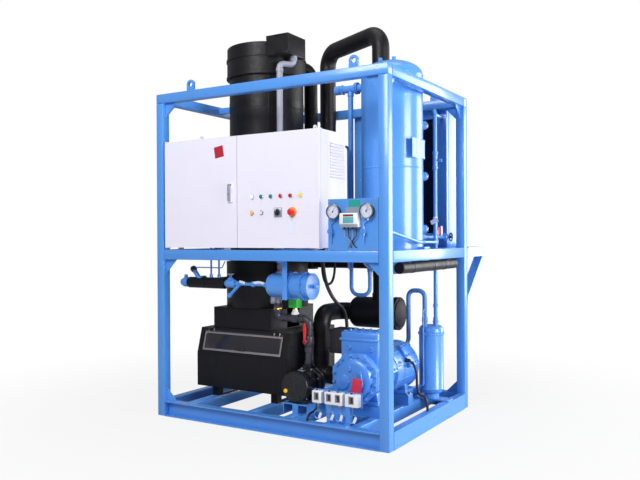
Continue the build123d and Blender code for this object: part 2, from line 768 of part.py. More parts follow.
def equipment_plate():
    """Return the inner plate of the cabinet on its four standoffs."""
    back = SHELL_BACK - SHEET
    front = back - PLATE_STANDOFF
    x_range = (CABINET_LEFT + PLATE_MARGIN, CABINET_RIGHT - PLATE_MARGIN)
    z_range = (CABINET_BOTTOM + PLATE_MARGIN, CABINET_TOP - PLATE_MARGIN)
    plate = block(x_range, (front, front + SHEET), z_range)
    for x in (x_range[0] + 30, x_range[1] - 30):
        for z in (z_range[0] + 30, z_range[1] - 30):
            plate = plate + rod((x, front + SHEET / 2, z), (0, 1, 0), 8, PLATE_STANDOFF - SHEET / 2)
    return plate


def contactors():
    """Return two rows of plain switchgear blocks on the equipment plate."""
    front = SHELL_BACK - SHEET - PLATE_STANDOFF
    pieces = []
    for row, (height, width, count) in enumerate(((90, 54, 8), (100, 72, 6))):
        z = CABINET_BOTTOM + 370 - row * 210
        for index in range(count):
            x = CABINET_LEFT + 120 + index * (width + 30)
            pieces.append(block((x, x + width), (front - GEAR_DEPTH, front), (z, z + height)))
    return pieces


# Gauge panel


def panel_left():
    """Return the left edge of the gauge panel."""
    return INNER_X - 2 - PANEL_WIDTH


def panel_corner():
    """Return the lower left corner of the gauge panel on its front."""
    return panel_left(), -HALF_DEPTH, MIDDLE_LEVEL + PANEL_LIFT


def gauge_points():
    """Return the X and Z of the two gauges."""
    middle = panel_left() + PANEL_WIDTH / 2 - 6
    z = MIDDLE_LEVEL + PANEL_LIFT + PANEL_HEIGHT - GAUGE_DROP
    return (middle - GAUGE_SPACING / 2, z), (middle + GAUGE_SPACING / 2, z)


def gauge_panel():
    """Return the folded panel beside the cabinet."""
    x, y, z = panel_corner()
    plate = block((x, x + PANEL_WIDTH), (y, y + SHEET), (z, z + PANEL_HEIGHT))
    foot = block((x, x + PANEL_WIDTH), (y, y + PANEL_LIP), (MIDDLE_LEVEL, z))
    lip = block((x, x + SHEET), (y, y + PANEL_LIP), (z, z + PANEL_HEIGHT))
    edge = block((x + PANEL_WIDTH - SHEET, INNER_X), (y, y + PANEL_LIP), (z, z + PANEL_HEIGHT))
    top = block((x, x + PANEL_WIDTH), (y, y + PANEL_LIP), (z + PANEL_HEIGHT - SHEET, z + PANEL_HEIGHT))
    return join([plate, foot, lip, edge, top])


def gauge_cases():
    """Return the two gauge cases with a post for the needle."""
    cases = []
    for x, z in gauge_points():
        front = -HALF_DEPTH - GAUGE_DEPTH
        case = rod((x, -HALF_DEPTH, z), (0, -1, 0), GAUGE_RADIUS, GAUGE_DEPTH)
        well = rod((x, front + GAUGE_GLASS + GAUGE_DIAL_RECESS, z), (0, -1, 0), GAUGE_RADIUS - GAUGE_RIM, 30)
        seat = rod((x, front + GAUGE_GLASS, z), (0, -1, 0), GAUGE_RADIUS - GAUGE_RIM + 2, 30)
        post = rod((x, front + GAUGE_GLASS + GAUGE_DIAL_RECESS + 1, z), (0, -1, 0), 2, 6)
        cases.append(case - well - seat + post)
    return cases


def gauge_lenses():
    """Return the clear lenses in the gauge cases."""
    lenses = []
    for x, z in gauge_points():
        lenses.append(rod((x, -HALF_DEPTH - GAUGE_DEPTH, z), (0, 1, 0),
                          GAUGE_RADIUS - GAUGE_RIM + 2 - SEAT_GAP, GAUGE_GLASS))
    return lenses


def needle(point):
    """Return a gauge needle, pointing up and a little to the right."""
    x, z = point
    dial = -HALF_DEPTH - GAUGE_DEPTH + GAUGE_GLASS + GAUGE_DIAL_RECESS
    y = dial - 3.5
    hub = tube((x, y, z), (0, -1, 0), 5, 2 + RUNNING_CLEARANCE, NEEDLE_THICKNESS)
    blade = block((-NEEDLE_WIDTH / 2, NEEDLE_WIDTH / 2), (0, -NEEDLE_THICKNESS), (3.5, NEEDLE_LENGTH))
    tail = block((-NEEDLE_WIDTH / 2, NEEDLE_WIDTH / 2), (0, -NEEDLE_THICKNESS), (-NEEDLE_TAIL, -3.5))
    return hub + Pos(x, y, z) * Rot(0, NEEDLE_REST, 0) * (blade + tail)


def temperature_controller():
    """Return the controller box on the gauge panel."""
    x = panel_left() + 92
    z = MIDDLE_LEVEL + CONTROLLER_BASE
    y = -HALF_DEPTH
    body = block((x, x + CONTROLLER_WIDTH), (y - CONTROLLER_DEPTH, y), (z, z + CONTROLLER_HEIGHT))
    window = block((x + 20, x + CONTROLLER_WIDTH - 20), (y - CONTROLLER_DEPTH - 1, y - CONTROLLER_DEPTH + 2),
                   (z + 24, z + CONTROLLER_HEIGHT - 8))
    return body - window


def gauge_valves():
    """Return the two small valves under the gauges."""
    valves = []
    for offset in PANEL_VALVE_X:
        x = panel_left() + offset
        z = MIDDLE_LEVEL + 107
        body = rod((x, -HALF_DEPTH, z), (0, -1, 0), PANEL_VALVE_RADIUS, 26)
        wheel = rod((x, -HALF_DEPTH - 22, z), (0, -1, 0), PANEL_VALVE_RADIUS + 7, 8)
        arm = rod((x, -HALF_DEPTH - 10, z - 24), (0, 0, 1), 6, 48)
        valves.append(join([body, wheel, arm]))
    return valves


# Ice making column


def from_evaporator(angle_deg, radius, z):
    """Return a point at an angle and radius from the evaporator axis."""
    x, y = around(EVAPORATOR_CENTRE, radius, angle_deg)
    return x, y, z


def evaporator_body():
    """Return the insulated evaporator with its lugs and nozzle."""
    x, y = EVAPORATOR_CENTRE
    base = TANK_TOP + HOUSING_SIZE[2]
    body = rod((x, y, base), (0, 0, 1), EVAPORATOR_RADIUS, HEAD_BOTTOM - base)
    foot = rod((x, y, base), (0, 0, 1), EVAPORATOR_FOOT_RADIUS, EVAPORATOR_FOOT_TOP - base)
    lug_level = (MIDDLE_LEVEL, MIDDLE_LEVEL + 14)
    lug = block((-INNER_X - POST_SIDE / 2, CROSS_BEAM_X[0] + CROSS_BEAM_WIDTH / 2), (y - 45, y + 45), lug_level)
    tie = block((-INNER_X, x), (y - 20, y + 20), (FRAME_HEIGHT - 50, FRAME_HEIGHT - 10))
    nozzle = rod((NOZZLE_X, y, DRIER_LEVEL), (0, -1, 0), 30, y - NOZZLE_FRONT)
    entry = rod((x, y, ARCH_ENTRY_LEVEL), (0, 1, 0), ARCH_RADIUS + 4, EVAPORATOR_RADIUS + 14)
    return join([body, foot, lug, tie, nozzle, entry])


def evaporator_cap():
    """Return the insulated head with its two bands and side outlet."""
    x, y = EVAPORATOR_CENTRE
    head = rod((x, y, HEAD_BOTTOM), (0, 0, 1), HEAD_RADIUS, HEAD_TOP - HEAD_BOTTOM)
    for z in (HEAD_BOTTOM, HEAD_BOTTOM + 116):
        head = head + rod((x, y, z), (0, 0, 1), HEAD_RADIUS + HEAD_BAND, HEAD_BAND_HEIGHT)
    start = from_evaporator(side_line_angle(), HEAD_RADIUS - 20, SIDE_ENTRY_LEVEL)
    out = outlet_direction()
    return head + rod(start, out, SIDE_LINE_RADIUS + 3, 20 + OUTLET_PROUD)


def side_line_angle():
    """Return the angle from the evaporator axis to the side line."""
    return math.degrees(math.atan2(SIDE_LINE_Y - EVAPORATOR_CENTRE[1], SIDE_LINE_X - EVAPORATOR_CENTRE[0]))


def outlet_direction():
    """Return the level direction from the evaporator axis to the side line."""
    angle = math.radians(side_line_angle())
    return math.cos(angle), math.sin(angle), 0


def water_distribution_box():
    """Return the insulated box that hangs over the side of the head."""
    corner = WATER_BOX_CORNER
    ends = [start + length for start, length in zip(corner, WATER_BOX_SIZE)]
    body = block(*zip(corner, ends))
    x, y = EVAPORATOR_CENTRE
    head = rod((x, y, HEAD_BOTTOM), (0, 0, 1), HEAD_RADIUS + HEAD_BAND + SEAT_GAP,
               HEAD_TOP - HEAD_BOTTOM)
    return body - head


def tank_outline(inset):
    """Return the side outline of the tank as (y, z), shrunk by an inset."""
    back = TANK_FRONT + TANK_DEPTH - inset
    front = TANK_FRONT + inset
    slope = TANK_SLOPE_RUN
    return [(front, TANK_BOTTOM + inset), (back, TANK_BOTTOM + inset), (back, TANK_TOP - inset),
            (front + slope, TANK_TOP - inset), (front, TANK_SHOULDER)]


def tank_span(inset):
    """Return the X limits of the tank, shrunk by an inset."""
    return TANK_RIGHT - TANK_LENGTH + inset, TANK_RIGHT - inset


def slope_plane():
    """Return a plane on the sloping front, with its Y axis up the slope."""
    rise = TANK_TOP - TANK_SHOULDER
    middle = sum(tank_span(0)) / 2
    return Plane(origin=(middle, TANK_FRONT, TANK_SHOULDER), x_dir=(1, 0, 0),
                 z_dir=(0, -rise, TANK_SLOPE_RUN))


def slope_length():
    """Return the length of the sloping front."""
    return math.hypot(TANK_TOP - TANK_SHOULDER, TANK_SLOPE_RUN)


def window_size():
    """Return the width and height of the window in the sloping front."""
    return TANK_LENGTH - 2 * WINDOW_MARGIN - 40, slope_length() - 2 * WINDOW_MARGIN + 20


def water_tank():
    """Return the hollow tank with window, top opening, feet and bearing."""
    tank = prism_x(tank_outline(0), tank_span(0)) - prism_x(tank_outline(TANK_WALL), tank_span(TANK_WALL))
    width, height = window_size()
    window = slope_plane() * Pos(0, slope_length() / 2, 0) * Box(width, height, 60)
    cx, cy = HOUSING_CENTRE
    half_x = HOUSING_SIZE[0] / 2 - 2 * HOUSING_WALL
    half_y = HOUSING_SIZE[1] / 2 - 2 * HOUSING_WALL
    mouth = block((cx - half_x, cx + half_x), (cy - half_y, cy + half_y), (TANK_TOP - 20, TANK_TOP + 1))
    tank = tank - window - mouth
    x, y = EVAPORATOR_CENTRE
    floor = TANK_BOTTOM + TANK_WALL
    boss = rod((x, y, floor - 1), (0, 0, 1), CUTTER_SHAFT_RADIUS + 20, 61)
    tank = tank + boss - rod((x, y, floor), (0, 0, 1), CUTTER_SHAFT_RADIUS + RUNNING_CLEARANCE, 80)
    for foot_x in TANK_DECK_BEAM_X:
        for foot_y in (TANK_FRONT + 60, TANK_FRONT + TANK_DEPTH - 60):
            tank = tank + block((foot_x - 25, foot_x + 25), (foot_y - 25, foot_y + 25),
                                (BASE_HEIGHT, TANK_BOTTOM))
    tank = tank + rod((TANK_RIGHT - 2, TANK_FRONT + 22, TANK_BOTTOM + 24), (1, 0, 0), 13, 16)
    suction = (TANK_RIGHT - TANK_WALL, PUMP_SUCTION_Y, PUMP_AXIS_HEIGHT)
    tank = tank + rod(suction, (1, 0, 0), PUMP_SUCTION_RADIUS + 6, TANK_WALL + 10)
    lug_plane = slope_plane()
    for side in (-1, 1):
        spot = lug_plane * Pos(side * (width / 2 - 30), slope_length() - 10, 6) * Box(30, 14, 12)
        axis_hole = lug_plane * Pos(side * (width / 2 - 30), slope_length() - 10, HINGE_RISE) * Rot(
            0, 90, 0) * Cylinder(3 + RUNNING_CLEARANCE, 40)
        tank = tank + spot - axis_hole
    return tank


def inspection_cover():
    """Return the clear cover over the window, with its rim and hinge pins."""
    width, height = window_size()
    length = slope_length()
    rim_w = width + 2 * COVER_OVERLAP
    rim_h = height + 2 * COVER_OVERLAP
    plane = slope_plane()
    lift = COVER_GAP / 2 + COVER_THICKNESS / 2
    plate = plane * Pos(0, length / 2, lift) * Box(rim_w, rim_h, COVER_THICKNESS)
    for side in (-1, 1):
        x = side * (width / 2 - 30)
        gap = plane * Pos(x, length - 10, lift) * Box(34, 24, 30)
        plate = plate - gap
        pin = plane * Pos(x, length - 10, HINGE_RISE) * Rot(0, 90, 0) * Cylinder(3, 40)
        for end in (-1, 1):
            ear = plane * Pos(x + end * 21, length - 15, HINGE_RISE) * Box(7, 16, COVER_THICKNESS - 1)
            plate = plate + ear
        plate = plate + pin
    knob = plane * Pos(0, 30, COVER_THICKNESS + 8) * Box(60, 10, 16)
    return plate + knob


def cutter_housing():
    """Return the housing under the evaporator, open below and round above."""
    cx, cy = HOUSING_CENTRE
    half_x = HOUSING_SIZE[0] / 2
    half_y = HOUSING_SIZE[1] / 2
    top = TANK_TOP + HOUSING_SIZE[2]
    outer = block((cx - half_x, cx + half_x), (cy - half_y, cy + half_y), (TANK_TOP, top))
    inner = block((cx - half_x + HOUSING_WALL, cx + half_x - HOUSING_WALL),
                  (cy - half_y + HOUSING_WALL, cy + half_y - HOUSING_WALL), (TANK_TOP - 1, top - HOUSING_WALL))
    x, y = EVAPORATOR_CENTRE
    return outer - inner - rod((x, y, TANK_TOP), (0, 0, 1), HOUSING_OPENING, HOUSING_SIZE[2] + 1)


def ice_cutter():
    """Return the cutter with its arms, rim and upright shaft."""
    x, y = EVAPORATOR_CENTRE
    bottom = TANK_BOTTOM + TANK_WALL + SEAT_GAP
    shaft = rod((x, y, bottom), (0, 0, 1), CUTTER_SHAFT_RADIUS, CUTTER_LEVEL - bottom + 1)
    hub = rod((x, y, CUTTER_LEVEL), (0, 0, 1), CUTTER_HUB_RADIUS, CUTTER_HEIGHT)
    rim = tube((x, y, CUTTER_LEVEL), (0, 0, 1), CUTTER_RADIUS, CUTTER_RADIUS - 10, CUTTER_HEIGHT)
    cutter = shaft + hub + rim
    reach = CUTTER_RADIUS - 5
    for index in range(CUTTER_ARMS):
        arm = block((0, reach), (-7, 7), (CUTTER_LEVEL, CUTTER_LEVEL + CUTTER_HEIGHT - 4))
        cutter = cutter + Pos(x, y, 0) * Rot(0, 0, index * 360 / CUTTER_ARMS) * arm
    return cutter


# Pump and water pipes


def pump_motor():
    """Return the pump with its finned motor, volute and feet."""
    front = PUMP_MOTOR_FRONT
    body = rod((PUMP_X, front, PUMP_AXIS_HEIGHT), (0, 1, 0), PUMP_MOTOR_RADIUS - 8, PUMP_MOTOR_LENGTH + 4)
    cowl = rod((PUMP_X, front, PUMP_AXIS_HEIGHT), (0, 1, 0), PUMP_MOTOR_RADIUS, 42)
    pieces = [body, cowl]
    for index in range(PUMP_FIN_COUNT):
        angle = index * 360 / PUMP_FIN_COUNT + 15
        fin = block((PUMP_MOTOR_RADIUS - 12, PUMP_MOTOR_RADIUS), (42, PUMP_MOTOR_LENGTH - 6), (-2, 2))
        pieces.append(Pos(PUMP_X, front, PUMP_AXIS_HEIGHT) * Rot(0, angle, 0) * fin)
    volute_front = front + PUMP_MOTOR_LENGTH
    pieces.append(rod((PUMP_X, volute_front, PUMP_AXIS_HEIGHT), (0, 1, 0), PUMP_VOLUTE_RADIUS,
                      PUMP_VOLUTE_DEPTH))
    pieces.append(rod((PUMP_X, outlet_y(), PUMP_AXIS_HEIGHT), (0, 0, 1), WATER_PIPE_RADIUS + 8,
                      PUMP_VOLUTE_RADIUS + 16))
    foot_top = PUMP_AXIS_HEIGHT - PUMP_MOTOR_RADIUS + 14
    for y_range in ((front + 30, front + 70), (volute_front + 4, volute_front + PUMP_VOLUTE_DEPTH - 4)):
        pieces.append(block((PUMP_X - 62, PUMP_X + 62), y_range, (PUMP_BASE_TOP, foot_top)))
    return join(pieces)


def outlet_y():
    """Return the Y of the pump outlet, in the middle of the volute."""
    return PUMP_MOTOR_FRONT + PUMP_MOTOR_LENGTH + PUMP_VOLUTE_DEPTH / 2


def outlet_top():
    """Return the height of the top of the pump outlet."""
    return PUMP_AXIS_HEIGHT + PUMP_VOLUTE_RADIUS + 16


def pump_base():
    """Return the bent plate under the pump."""
    half = PUMP_BASE_WIDTH / 2
    y_range = (PUMP_MOTOR_FRONT + 10, PUMP_MOTOR_FRONT + PUMP_MOTOR_LENGTH + PUMP_VOLUTE_DEPTH + 14)
    outer = block((PUMP_X - half, PUMP_X + half), y_range, (BASE_HEIGHT, PUMP_BASE_TOP))
    hollow = block((PUMP_X - half + 6, PUMP_X + half - 6), (y_range[0] - 1, y_range[1] + 1),
                   (BASE_HEIGHT - 1, PUMP_BASE_TOP - 6))
    foot = block((PUMP_X - 20, PUMP_X + 20), y_range, (BASE_HEIGHT, PUMP_BASE_TOP - 5))
    return outer - hollow + foot


def pump_pipe():
    """Return the dark water pipe from the pump up to the riser, and the suction pipe."""
    y = outlet_y()
    rise = pipe_run([(PUMP_X, y, outlet_top()), (PUMP_X, y, WATER_PIPE_LEVEL),
                     (RISER_LOW_X, y, WATER_PIPE_LEVEL),
                     (RISER_LOW_X, y, WATER_PIPE_LEVEL + 90)], WATER_PIPE_RADIUS, 34)
    body = rod((PUMP_X, y, VALVE_LEVEL - 32), (0, 0, 1), VALVE_BODY_RADIUS, 64)
    neck = rod((PUMP_X, y, VALVE_LEVEL), (0, -1, 0), 14, VALVE_BODY_RADIUS + 10)
    pin = rod((PUMP_X, y, VALVE_LEVEL), (0, -1, 0), 6, VALVE_BODY_RADIUS + 26)
    joint_ring = rod((RISER_LOW_X, y, WATER_PIPE_LEVEL + 50), (0, 0, 1), WATER_PIPE_RADIUS + 8, 40)
    gauge = rod((RISER_LOW_X, y - 18, WATER_PIPE_LEVEL + 60), (-1, -1, 0), 26, 34)
    seat = rod((SOLENOID_X, y, WATER_PIPE_LEVEL), (0, 0, 1), 14, SOLENOID_BASE - WATER_PIPE_LEVEL - 45)
    foot = rod((PUMP_X, y, outlet_top()), (0, 0, 1), WATER_PIPE_RADIUS + 8, 18)
    water = join([rise, body, neck, pin, joint_ring, gauge, seat, foot])
    end = PUMP_MOTOR_FRONT + PUMP_MOTOR_LENGTH + PUMP_VOLUTE_DEPTH
    suction = pipe_run([(PUMP_X, end, PUMP_AXIS_HEIGHT), (PUMP_X, PUMP_SUCTION_Y, PUMP_AXIS_HEIGHT),
                        (TANK_RIGHT + 10, PUMP_SUCTION_Y, PUMP_AXIS_HEIGHT)], PUMP_SUCTION_RADIUS, 36)
    return [water, suction]


def ball_valve_handle():
    """Return the lever of the ball valve, lying along the pipe."""
    y = outlet_y() - VALVE_BODY_RADIUS - 10 - SEAT_GAP
    hub = rod((PUMP_X, y, VALVE_LEVEL), (0, -1, 0), 13, 10)
    lever = block((PUMP_X - 9, PUMP_X + 9), (y - 10, y - 5), (VALVE_LEVEL, VALVE_LEVEL + VALVE_HANDLE_LENGTH))
    bore = rod((PUMP_X, y + 1, VALVE_LEVEL), (0, -1, 0), 6 + RUNNING_CLEARANCE, 12)
    return hub + lever - bore


def solenoid_valve():
    """Return the solenoid valve with its fitting, stem and coil."""
    y = outlet_y()
    base = SOLENOID_BASE
    coil_half = SOLENOID_SIDE / 2
    fitting = rod((SOLENOID_X, y, base - 45), (0, 0, 1), 20, 26)
    stem = rod((SOLENOID_X, y, base - 20), (0, 0, 1), 11, 22)
    coil = block((SOLENOID_X - coil_half, SOLENOID_X + coil_half), (y - coil_half, y + coil_half),
                 (base, base + 55))
    return join([fitting, stem, coil])


def water_riser_pipe():
    """Return the light water pipe from the valve up to the distribution box."""
    box_mid = (WATER_BOX_CORNER[0] + WATER_BOX_SIZE[0] - 22, WATER_BOX_CORNER[1] + 100)
    top = WATER_BOX_CORNER[2]
    points = [(RISER_LOW_X, outlet_y(), WATER_PIPE_LEVEL + 90), (RISER_LOW_X, outlet_y(), 930),
              (RISER_X, RISER_Y, 930), (RISER_X, RISER_Y, top - 55), (box_mid[0], box_mid[1], top - 55),
              (box_mid[0], box_mid[1], top)]
    return pipe_run(points, RISER_RADIUS, 26)


# Insulated refrigerant pipes


def suction_arch_pipe():
    """Return the large pipe that rises behind the vessel and arches over to the evaporator."""
    right = ARCH_RIGHT
    left = ARCH_LEFT
    back_x, back_y = EVAPORATOR_CENTRE
    points = [(right[0], right[1], SUCTION_STUB_LEVEL), (right[0], right[1], ARCH_LEVEL),
              (left[0], left[1], ARCH_LEVEL), (left[0], left[1], ARCH_ENTRY_LEVEL),
              (back_x, left[1], ARCH_ENTRY_LEVEL),
              (back_x, back_y + EVAPORATOR_RADIUS + 14, ARCH_ENTRY_LEVEL)]
    return pipe_run(points, ARCH_RADIUS, (ARCH_BEND, ARCH_BEND, 80, 80))


def insulated_pipes():
    """Return the side line, the suction pipe and the line under the right beam."""
    out = HEAD_RADIUS + OUTLET_PROUD
    entry = from_evaporator(side_line_angle(), out, SIDE_ENTRY_LEVEL)
    side = pipe_run([entry, (SIDE_LINE_X, SIDE_LINE_Y, SIDE_ENTRY_LEVEL),
                     (SIDE_LINE_X, SIDE_LINE_Y, LOW_LINE_LEVEL - 45)], SIDE_LINE_RADIUS, 62)
    low = pipe_run([(SIDE_LINE_X, SIDE_LINE_Y, LOW_LINE_LEVEL), (ARCH_RIGHT[0], SIDE_LINE_Y, LOW_LINE_LEVEL),
                    (ARCH_RIGHT[0], ARCH_RIGHT[1] + ARCH_RADIUS + SEAT_GAP, LOW_LINE_LEVEL)],
                   LOW_LINE_RADIUS, 45)
    filter_x, filter_z = SUCTION_FILTER_X[0], SUCTION_FILTER_LEVEL
    suction = pipe_run([(filter_x, ARCH_RIGHT[1], filter_z), (SUCTION_PIPE_X, ARCH_RIGHT[1], filter_z),
                        (SUCTION_PIPE_X, SUCTION_PIPE_Y, filter_z),
                        (SUCTION_PIPE_X, SUCTION_PIPE_Y, SUCTION_PIPE_LEVEL),
                        (COMPRESSOR_X - MOTOR_RADIUS - 8, SUCTION_PIPE_Y, SUCTION_PIPE_LEVEL)],
                       ARCH_RADIUS, 72)
    rail_z = MIDDLE_BOTTOM - 4 - RAIL_LINE_RADIUS
    rail = rod((RAIL_LINE_X, RAIL_LINE_Y[0], rail_z), (0, 1, 0), RAIL_LINE_RADIUS,
               RAIL_LINE_Y[1] - RAIL_LINE_Y[0])
    for y in (RAIL_LINE_Y[0] + 120, RAIL_LINE_Y[1] - 120):
        rail = rail + block((RAIL_LINE_X - 14, RAIL_LINE_X + 14), (y - 12, y + 12), (rail_z, MIDDLE_BOTTOM))
    return [side + low, suction, rail]


def suction_filter():
    """Return the suction filter with its flanged end and upper stub."""
    start, end = SUCTION_FILTER_X
    y, z = ARCH_RIGHT[1], SUCTION_FILTER_LEVEL
    body = rod((start, y, z), (1, 0, 0), SUCTION_FILTER_RADIUS - 6, end - start - 10)
    flange = rod((end - 46, y, z), (1, 0, 0), SUCTION_FILTER_RADIUS, 36)
    cover = rod((end - 11, y, z), (1, 0, 0), SUCTION_FILTER_RADIUS - 18, 11)
    stub = rod((ARCH_RIGHT[0], y, z), (0, 0, 1), ARCH_RADIUS + 5, SUCTION_STUB_LEVEL - z)
    return join([body, flange, cover, stub])


# Receiver vessel and liquid pipes


def dished_body(centre, radius, bottom, top, dish):
    """Return an upright vessel with elliptical ends."""
    bend = [math.radians(angle) for angle in (0, 22.5, 45, 67.5, 90)]
    upper = Spline([(radius * math.cos(a), 0, top + dish * math.sin(a)) for a in bend],
                   tangents=((0, 0, 1), (-1, 0, 0)))
    lower = Spline([(radius * math.cos(a), 0, bottom - dish * math.sin(a)) for a in bend],
                   tangents=((0, 0, -1), (-1, 0, 0)))
    side = Line((radius, 0, bottom), (radius, 0, top))
    axis = Line((0, 0, top + dish), (0, 0, bottom - dish))
    profile = Face(Wire([axis, lower, side, upper]))
    return Pos(centre[0], centre[1], 0) * revolve(profile, Axis.Z)


def vessel_ray(angle_deg, radius, z):
    """Return a point at an angle and radius from the vessel axis."""
    x, y = around(VESSEL_CENTRE, radius, angle_deg)
    return x, y, z


def high_valve_angle():
    """Return the angle of the upper valve line from the vessel axis."""
    return math.degrees(math.atan2(HANDWHEEL_CENTRE[1] - VESSEL_CENTRE[1],
                                   HANDWHEEL_CENTRE[0] - VESSEL_CENTRE[0]))


def flat_direction(angle_deg):
    """Return a level direction at an angle from +X."""
    angle = math.radians(angle_deg)
    return math.cos(angle), math.sin(angle), 0


def receiver_vessel():
    """Return the receiver with its lugs, nozzles, bosses and nameplate bracket."""
    x, y = VESSEL_CENTRE
    vessel = dished_body(VESSEL_CENTRE, VESSEL_RADIUS, VESSEL_BOTTOM, VESSEL_TOP, DISH_HEIGHT)
    lug_level = (MIDDLE_LEVEL, MIDDLE_LEVEL + 14)
    beam_edge = CROSS_BEAM_X[1] - CROSS_BEAM_WIDTH / 2
    for lug_y in ((y - 140, y - 100), (y + 95, y + 130)):
        vessel = vessel + block((beam_edge, x - 100), lug_y, lug_level)
    vessel = vessel + block((x + 150, INNER_X + POST_SIDE / 2), (y - 45, y + 45), lug_level)
    vessel = vessel + rod((x - VESSEL_RADIUS + 20, y, LIQUID_LEVEL), (-1, 0, 0), LIQUID_RADIUS + 6, 38)
    vessel = vessel + rod((DRAIN_X, y, DRAIN_TOP), (0, 0, 1), DRAIN_RADIUS + 5, 80)
    stub_start = vessel_ray(high_valve_angle(), VESSEL_RADIUS - 10, HIGH_VALVE_LEVEL)
    vessel = vessel + rod(stub_start, flat_direction(high_valve_angle()), 18, 24)
    for level in SIGHT_GLASS_LEVELS:
        start = vessel_ray(SIGHT_GLASS_ANGLE, VESSEL_RADIUS - 6, level)
        vessel = vessel + rod(start, flat_direction(SIGHT_GLASS_ANGLE), SIGHT_GLASS_RADIUS + 4, 16)
    plate_x = x + VESSEL_RADIUS - 1
    width, height = NAMEPLATE_SIZE
    plate_y = y - 35
    z_range = (NAMEPLATE_BASE, NAMEPLATE_BASE + height)
    vessel = vessel + block((plate_x, plate_x + 4), (plate_y - width / 2, plate_y + width / 2), z_range)
    return vessel + block((x + 150, plate_x + 1), (plate_y - 30, plate_y + 30),
                          (NAMEPLATE_BASE + 30, NAMEPLATE_BASE + height - 30))


def sight_glasses():
    """Return the three level glasses on their bosses."""
    glasses = []
    for level in SIGHT_GLASS_LEVELS:
        start = vessel_ray(SIGHT_GLASS_ANGLE, VESSEL_RADIUS + 10, level)
        glasses.append(rod(start, flat_direction(SIGHT_GLASS_ANGLE), SIGHT_GLASS_RADIUS,
                           SIGHT_GLASS_PROUD - 10))
    return glasses


def liquid_pipes():
    """Return the upper liquid pipe, its long branch and the upper valve line."""
    x, y = VESSEL_CENTRE
    start = x - VESSEL_RADIUS - 18
    top = rod((start, y, LIQUID_LEVEL), (-1, 0, 0), LIQUID_RADIUS, start - LIQUID_END_X)
    union = rod((start - 24, y, LIQUID_LEVEL), (-1, 0, 0), LIQUID_RADIUS + 14, 26)
    end = rod((LIQUID_END_X + 40, y, LIQUID_LEVEL), (-1, 0, 0), LIQUID_RADIUS + 5, 40)
    branch = rod((BRANCH_X, y, BRANCH_REDUCER), (0, 0, 1), BRANCH_RADIUS, LIQUID_LEVEL - BRANCH_REDUCER)
    bend = pipe_run([(BRANCH_X, y, BRANCH_REDUCER + 1), (BRANCH_X, y, BRANCH_BOTTOM), (DRAIN_X, y, BRANCH_BOTTOM),
                     (DRAIN_X, y, DRAIN_TOP)], DRAIN_RADIUS, 50)
    vent_x, vent_y = VENT_PIPE
    vent_top = CABINET_TOP - VENT_DROP
    vent = pipe_run([(vent_x, SHELL_BACK, vent_top), (vent_x, vent_y, vent_top),
                     (vent_x, vent_y, VENT_BOTTOM), (BRANCH_X, y, VENT_BOTTOM)], VENT_RADIUS, 22)
    vessel_line = join([top, union, end, branch, bend, vent])
    angle = high_valve_angle()
    direction = flat_direction(angle)
    line_start = vessel_ray(angle, VESSEL_RADIUS + 14, HIGH_VALVE_LEVEL)
    reach = math.hypot(HANDWHEEL_CENTRE[0] - x, HANDWHEEL_CENTRE[1] - y)
    line = rod(line_start, direction, 12, reach - VESSEL_RADIUS - 14)
    hx, hy = HANDWHEEL_CENTRE
    body = rod((hx, hy, HIGH_VALVE_LEVEL - 24), (0, 0, 1), 22, 48)
    bonnet = rod((hx, hy, HIGH_VALVE_LEVEL), (1, 0, 0), 12, 36)
    pin = rod((hx, hy, HIGH_VALVE_LEVEL), (1, 0, 0), 4, 52)
    return [vessel_line, join([line, body, bonnet, pin])]


def handwheel():
    """Return the handwheel of the upper valve, with hub and spokes."""
    hx, hy = HANDWHEEL_CENTRE
    start = hx + 36 + SEAT_GAP
    rim = tube((start + 2, hy, HIGH_VALVE_LEVEL), (1, 0, 0), HANDWHEEL_RADIUS, HANDWHEEL_RADIUS - 7, 8)
    wheel = rim + rod((start, hy, HIGH_VALVE_LEVEL), (1, 0, 0), 9, 12)
    for index in range(3):
        spoke = block((3, 8), (-3, 3), (0, HANDWHEEL_RADIUS - 3))
        wheel = wheel + Pos(start, hy, HIGH_VALVE_LEVEL) * Rot(index * 120, 0, 0) * spoke
    return wheel - rod((start - 1, hy, HIGH_VALVE_LEVEL), (1, 0, 0), 4 + RUNNING_CLEARANCE, 20)


# Filter drier and liquid line


def filter_drier():
    """Return the filter drier with its flanged end, strap and hanger."""
    start, end = DRIER_X
    y, z = DRIER_Y, DRIER_LEVEL
    body = rod((start, y, z), (1, 0, 0), DRIER_RADIUS, end - start - 31)
    body = fillet(body.edges().group_by(Axis.X)[0], 26)
    flange = rod((end - 98, y, z), (1, 0, 0), DRIER_FLANGE_RADIUS, 18)
    cap_edge = rod((end - 45, y, z), (1, 0, 0), DRIER_RADIUS + 5, 14)
    lug = block((end - 32, end), (y - 20, y + 20), (z - 12, z + 12))
    pieces = [body, flange, cap_edge, lug]
    for index in range(8):
        angle = math.radians(index * 45 + 22.5)
        bolt = rod((end - 81, y + 79 * math.cos(angle), z + 79 * math.sin(angle)), (1, 0, 0), 7, 12)
        pieces.append(bolt)
    strap = tube((HANGER_X[0], y, z), (1, 0, 0), DRIER_FLANGE_RADIUS, DRIER_RADIUS - 1,
                 HANGER_X[1] - HANGER_X[0])
    front = y - DRIER_FLANGE_RADIUS
    bar = block(HANGER_X, (front - 6, front + 2), (z - 80, MIDDLE_BOTTOM))
    foot = block(HANGER_X, (-INNER_Y - 45, front + 2), (MIDDLE_BOTTOM - 8, MIDDLE_BOTTOM))
    return join(pieces + [strap, bar, foot])


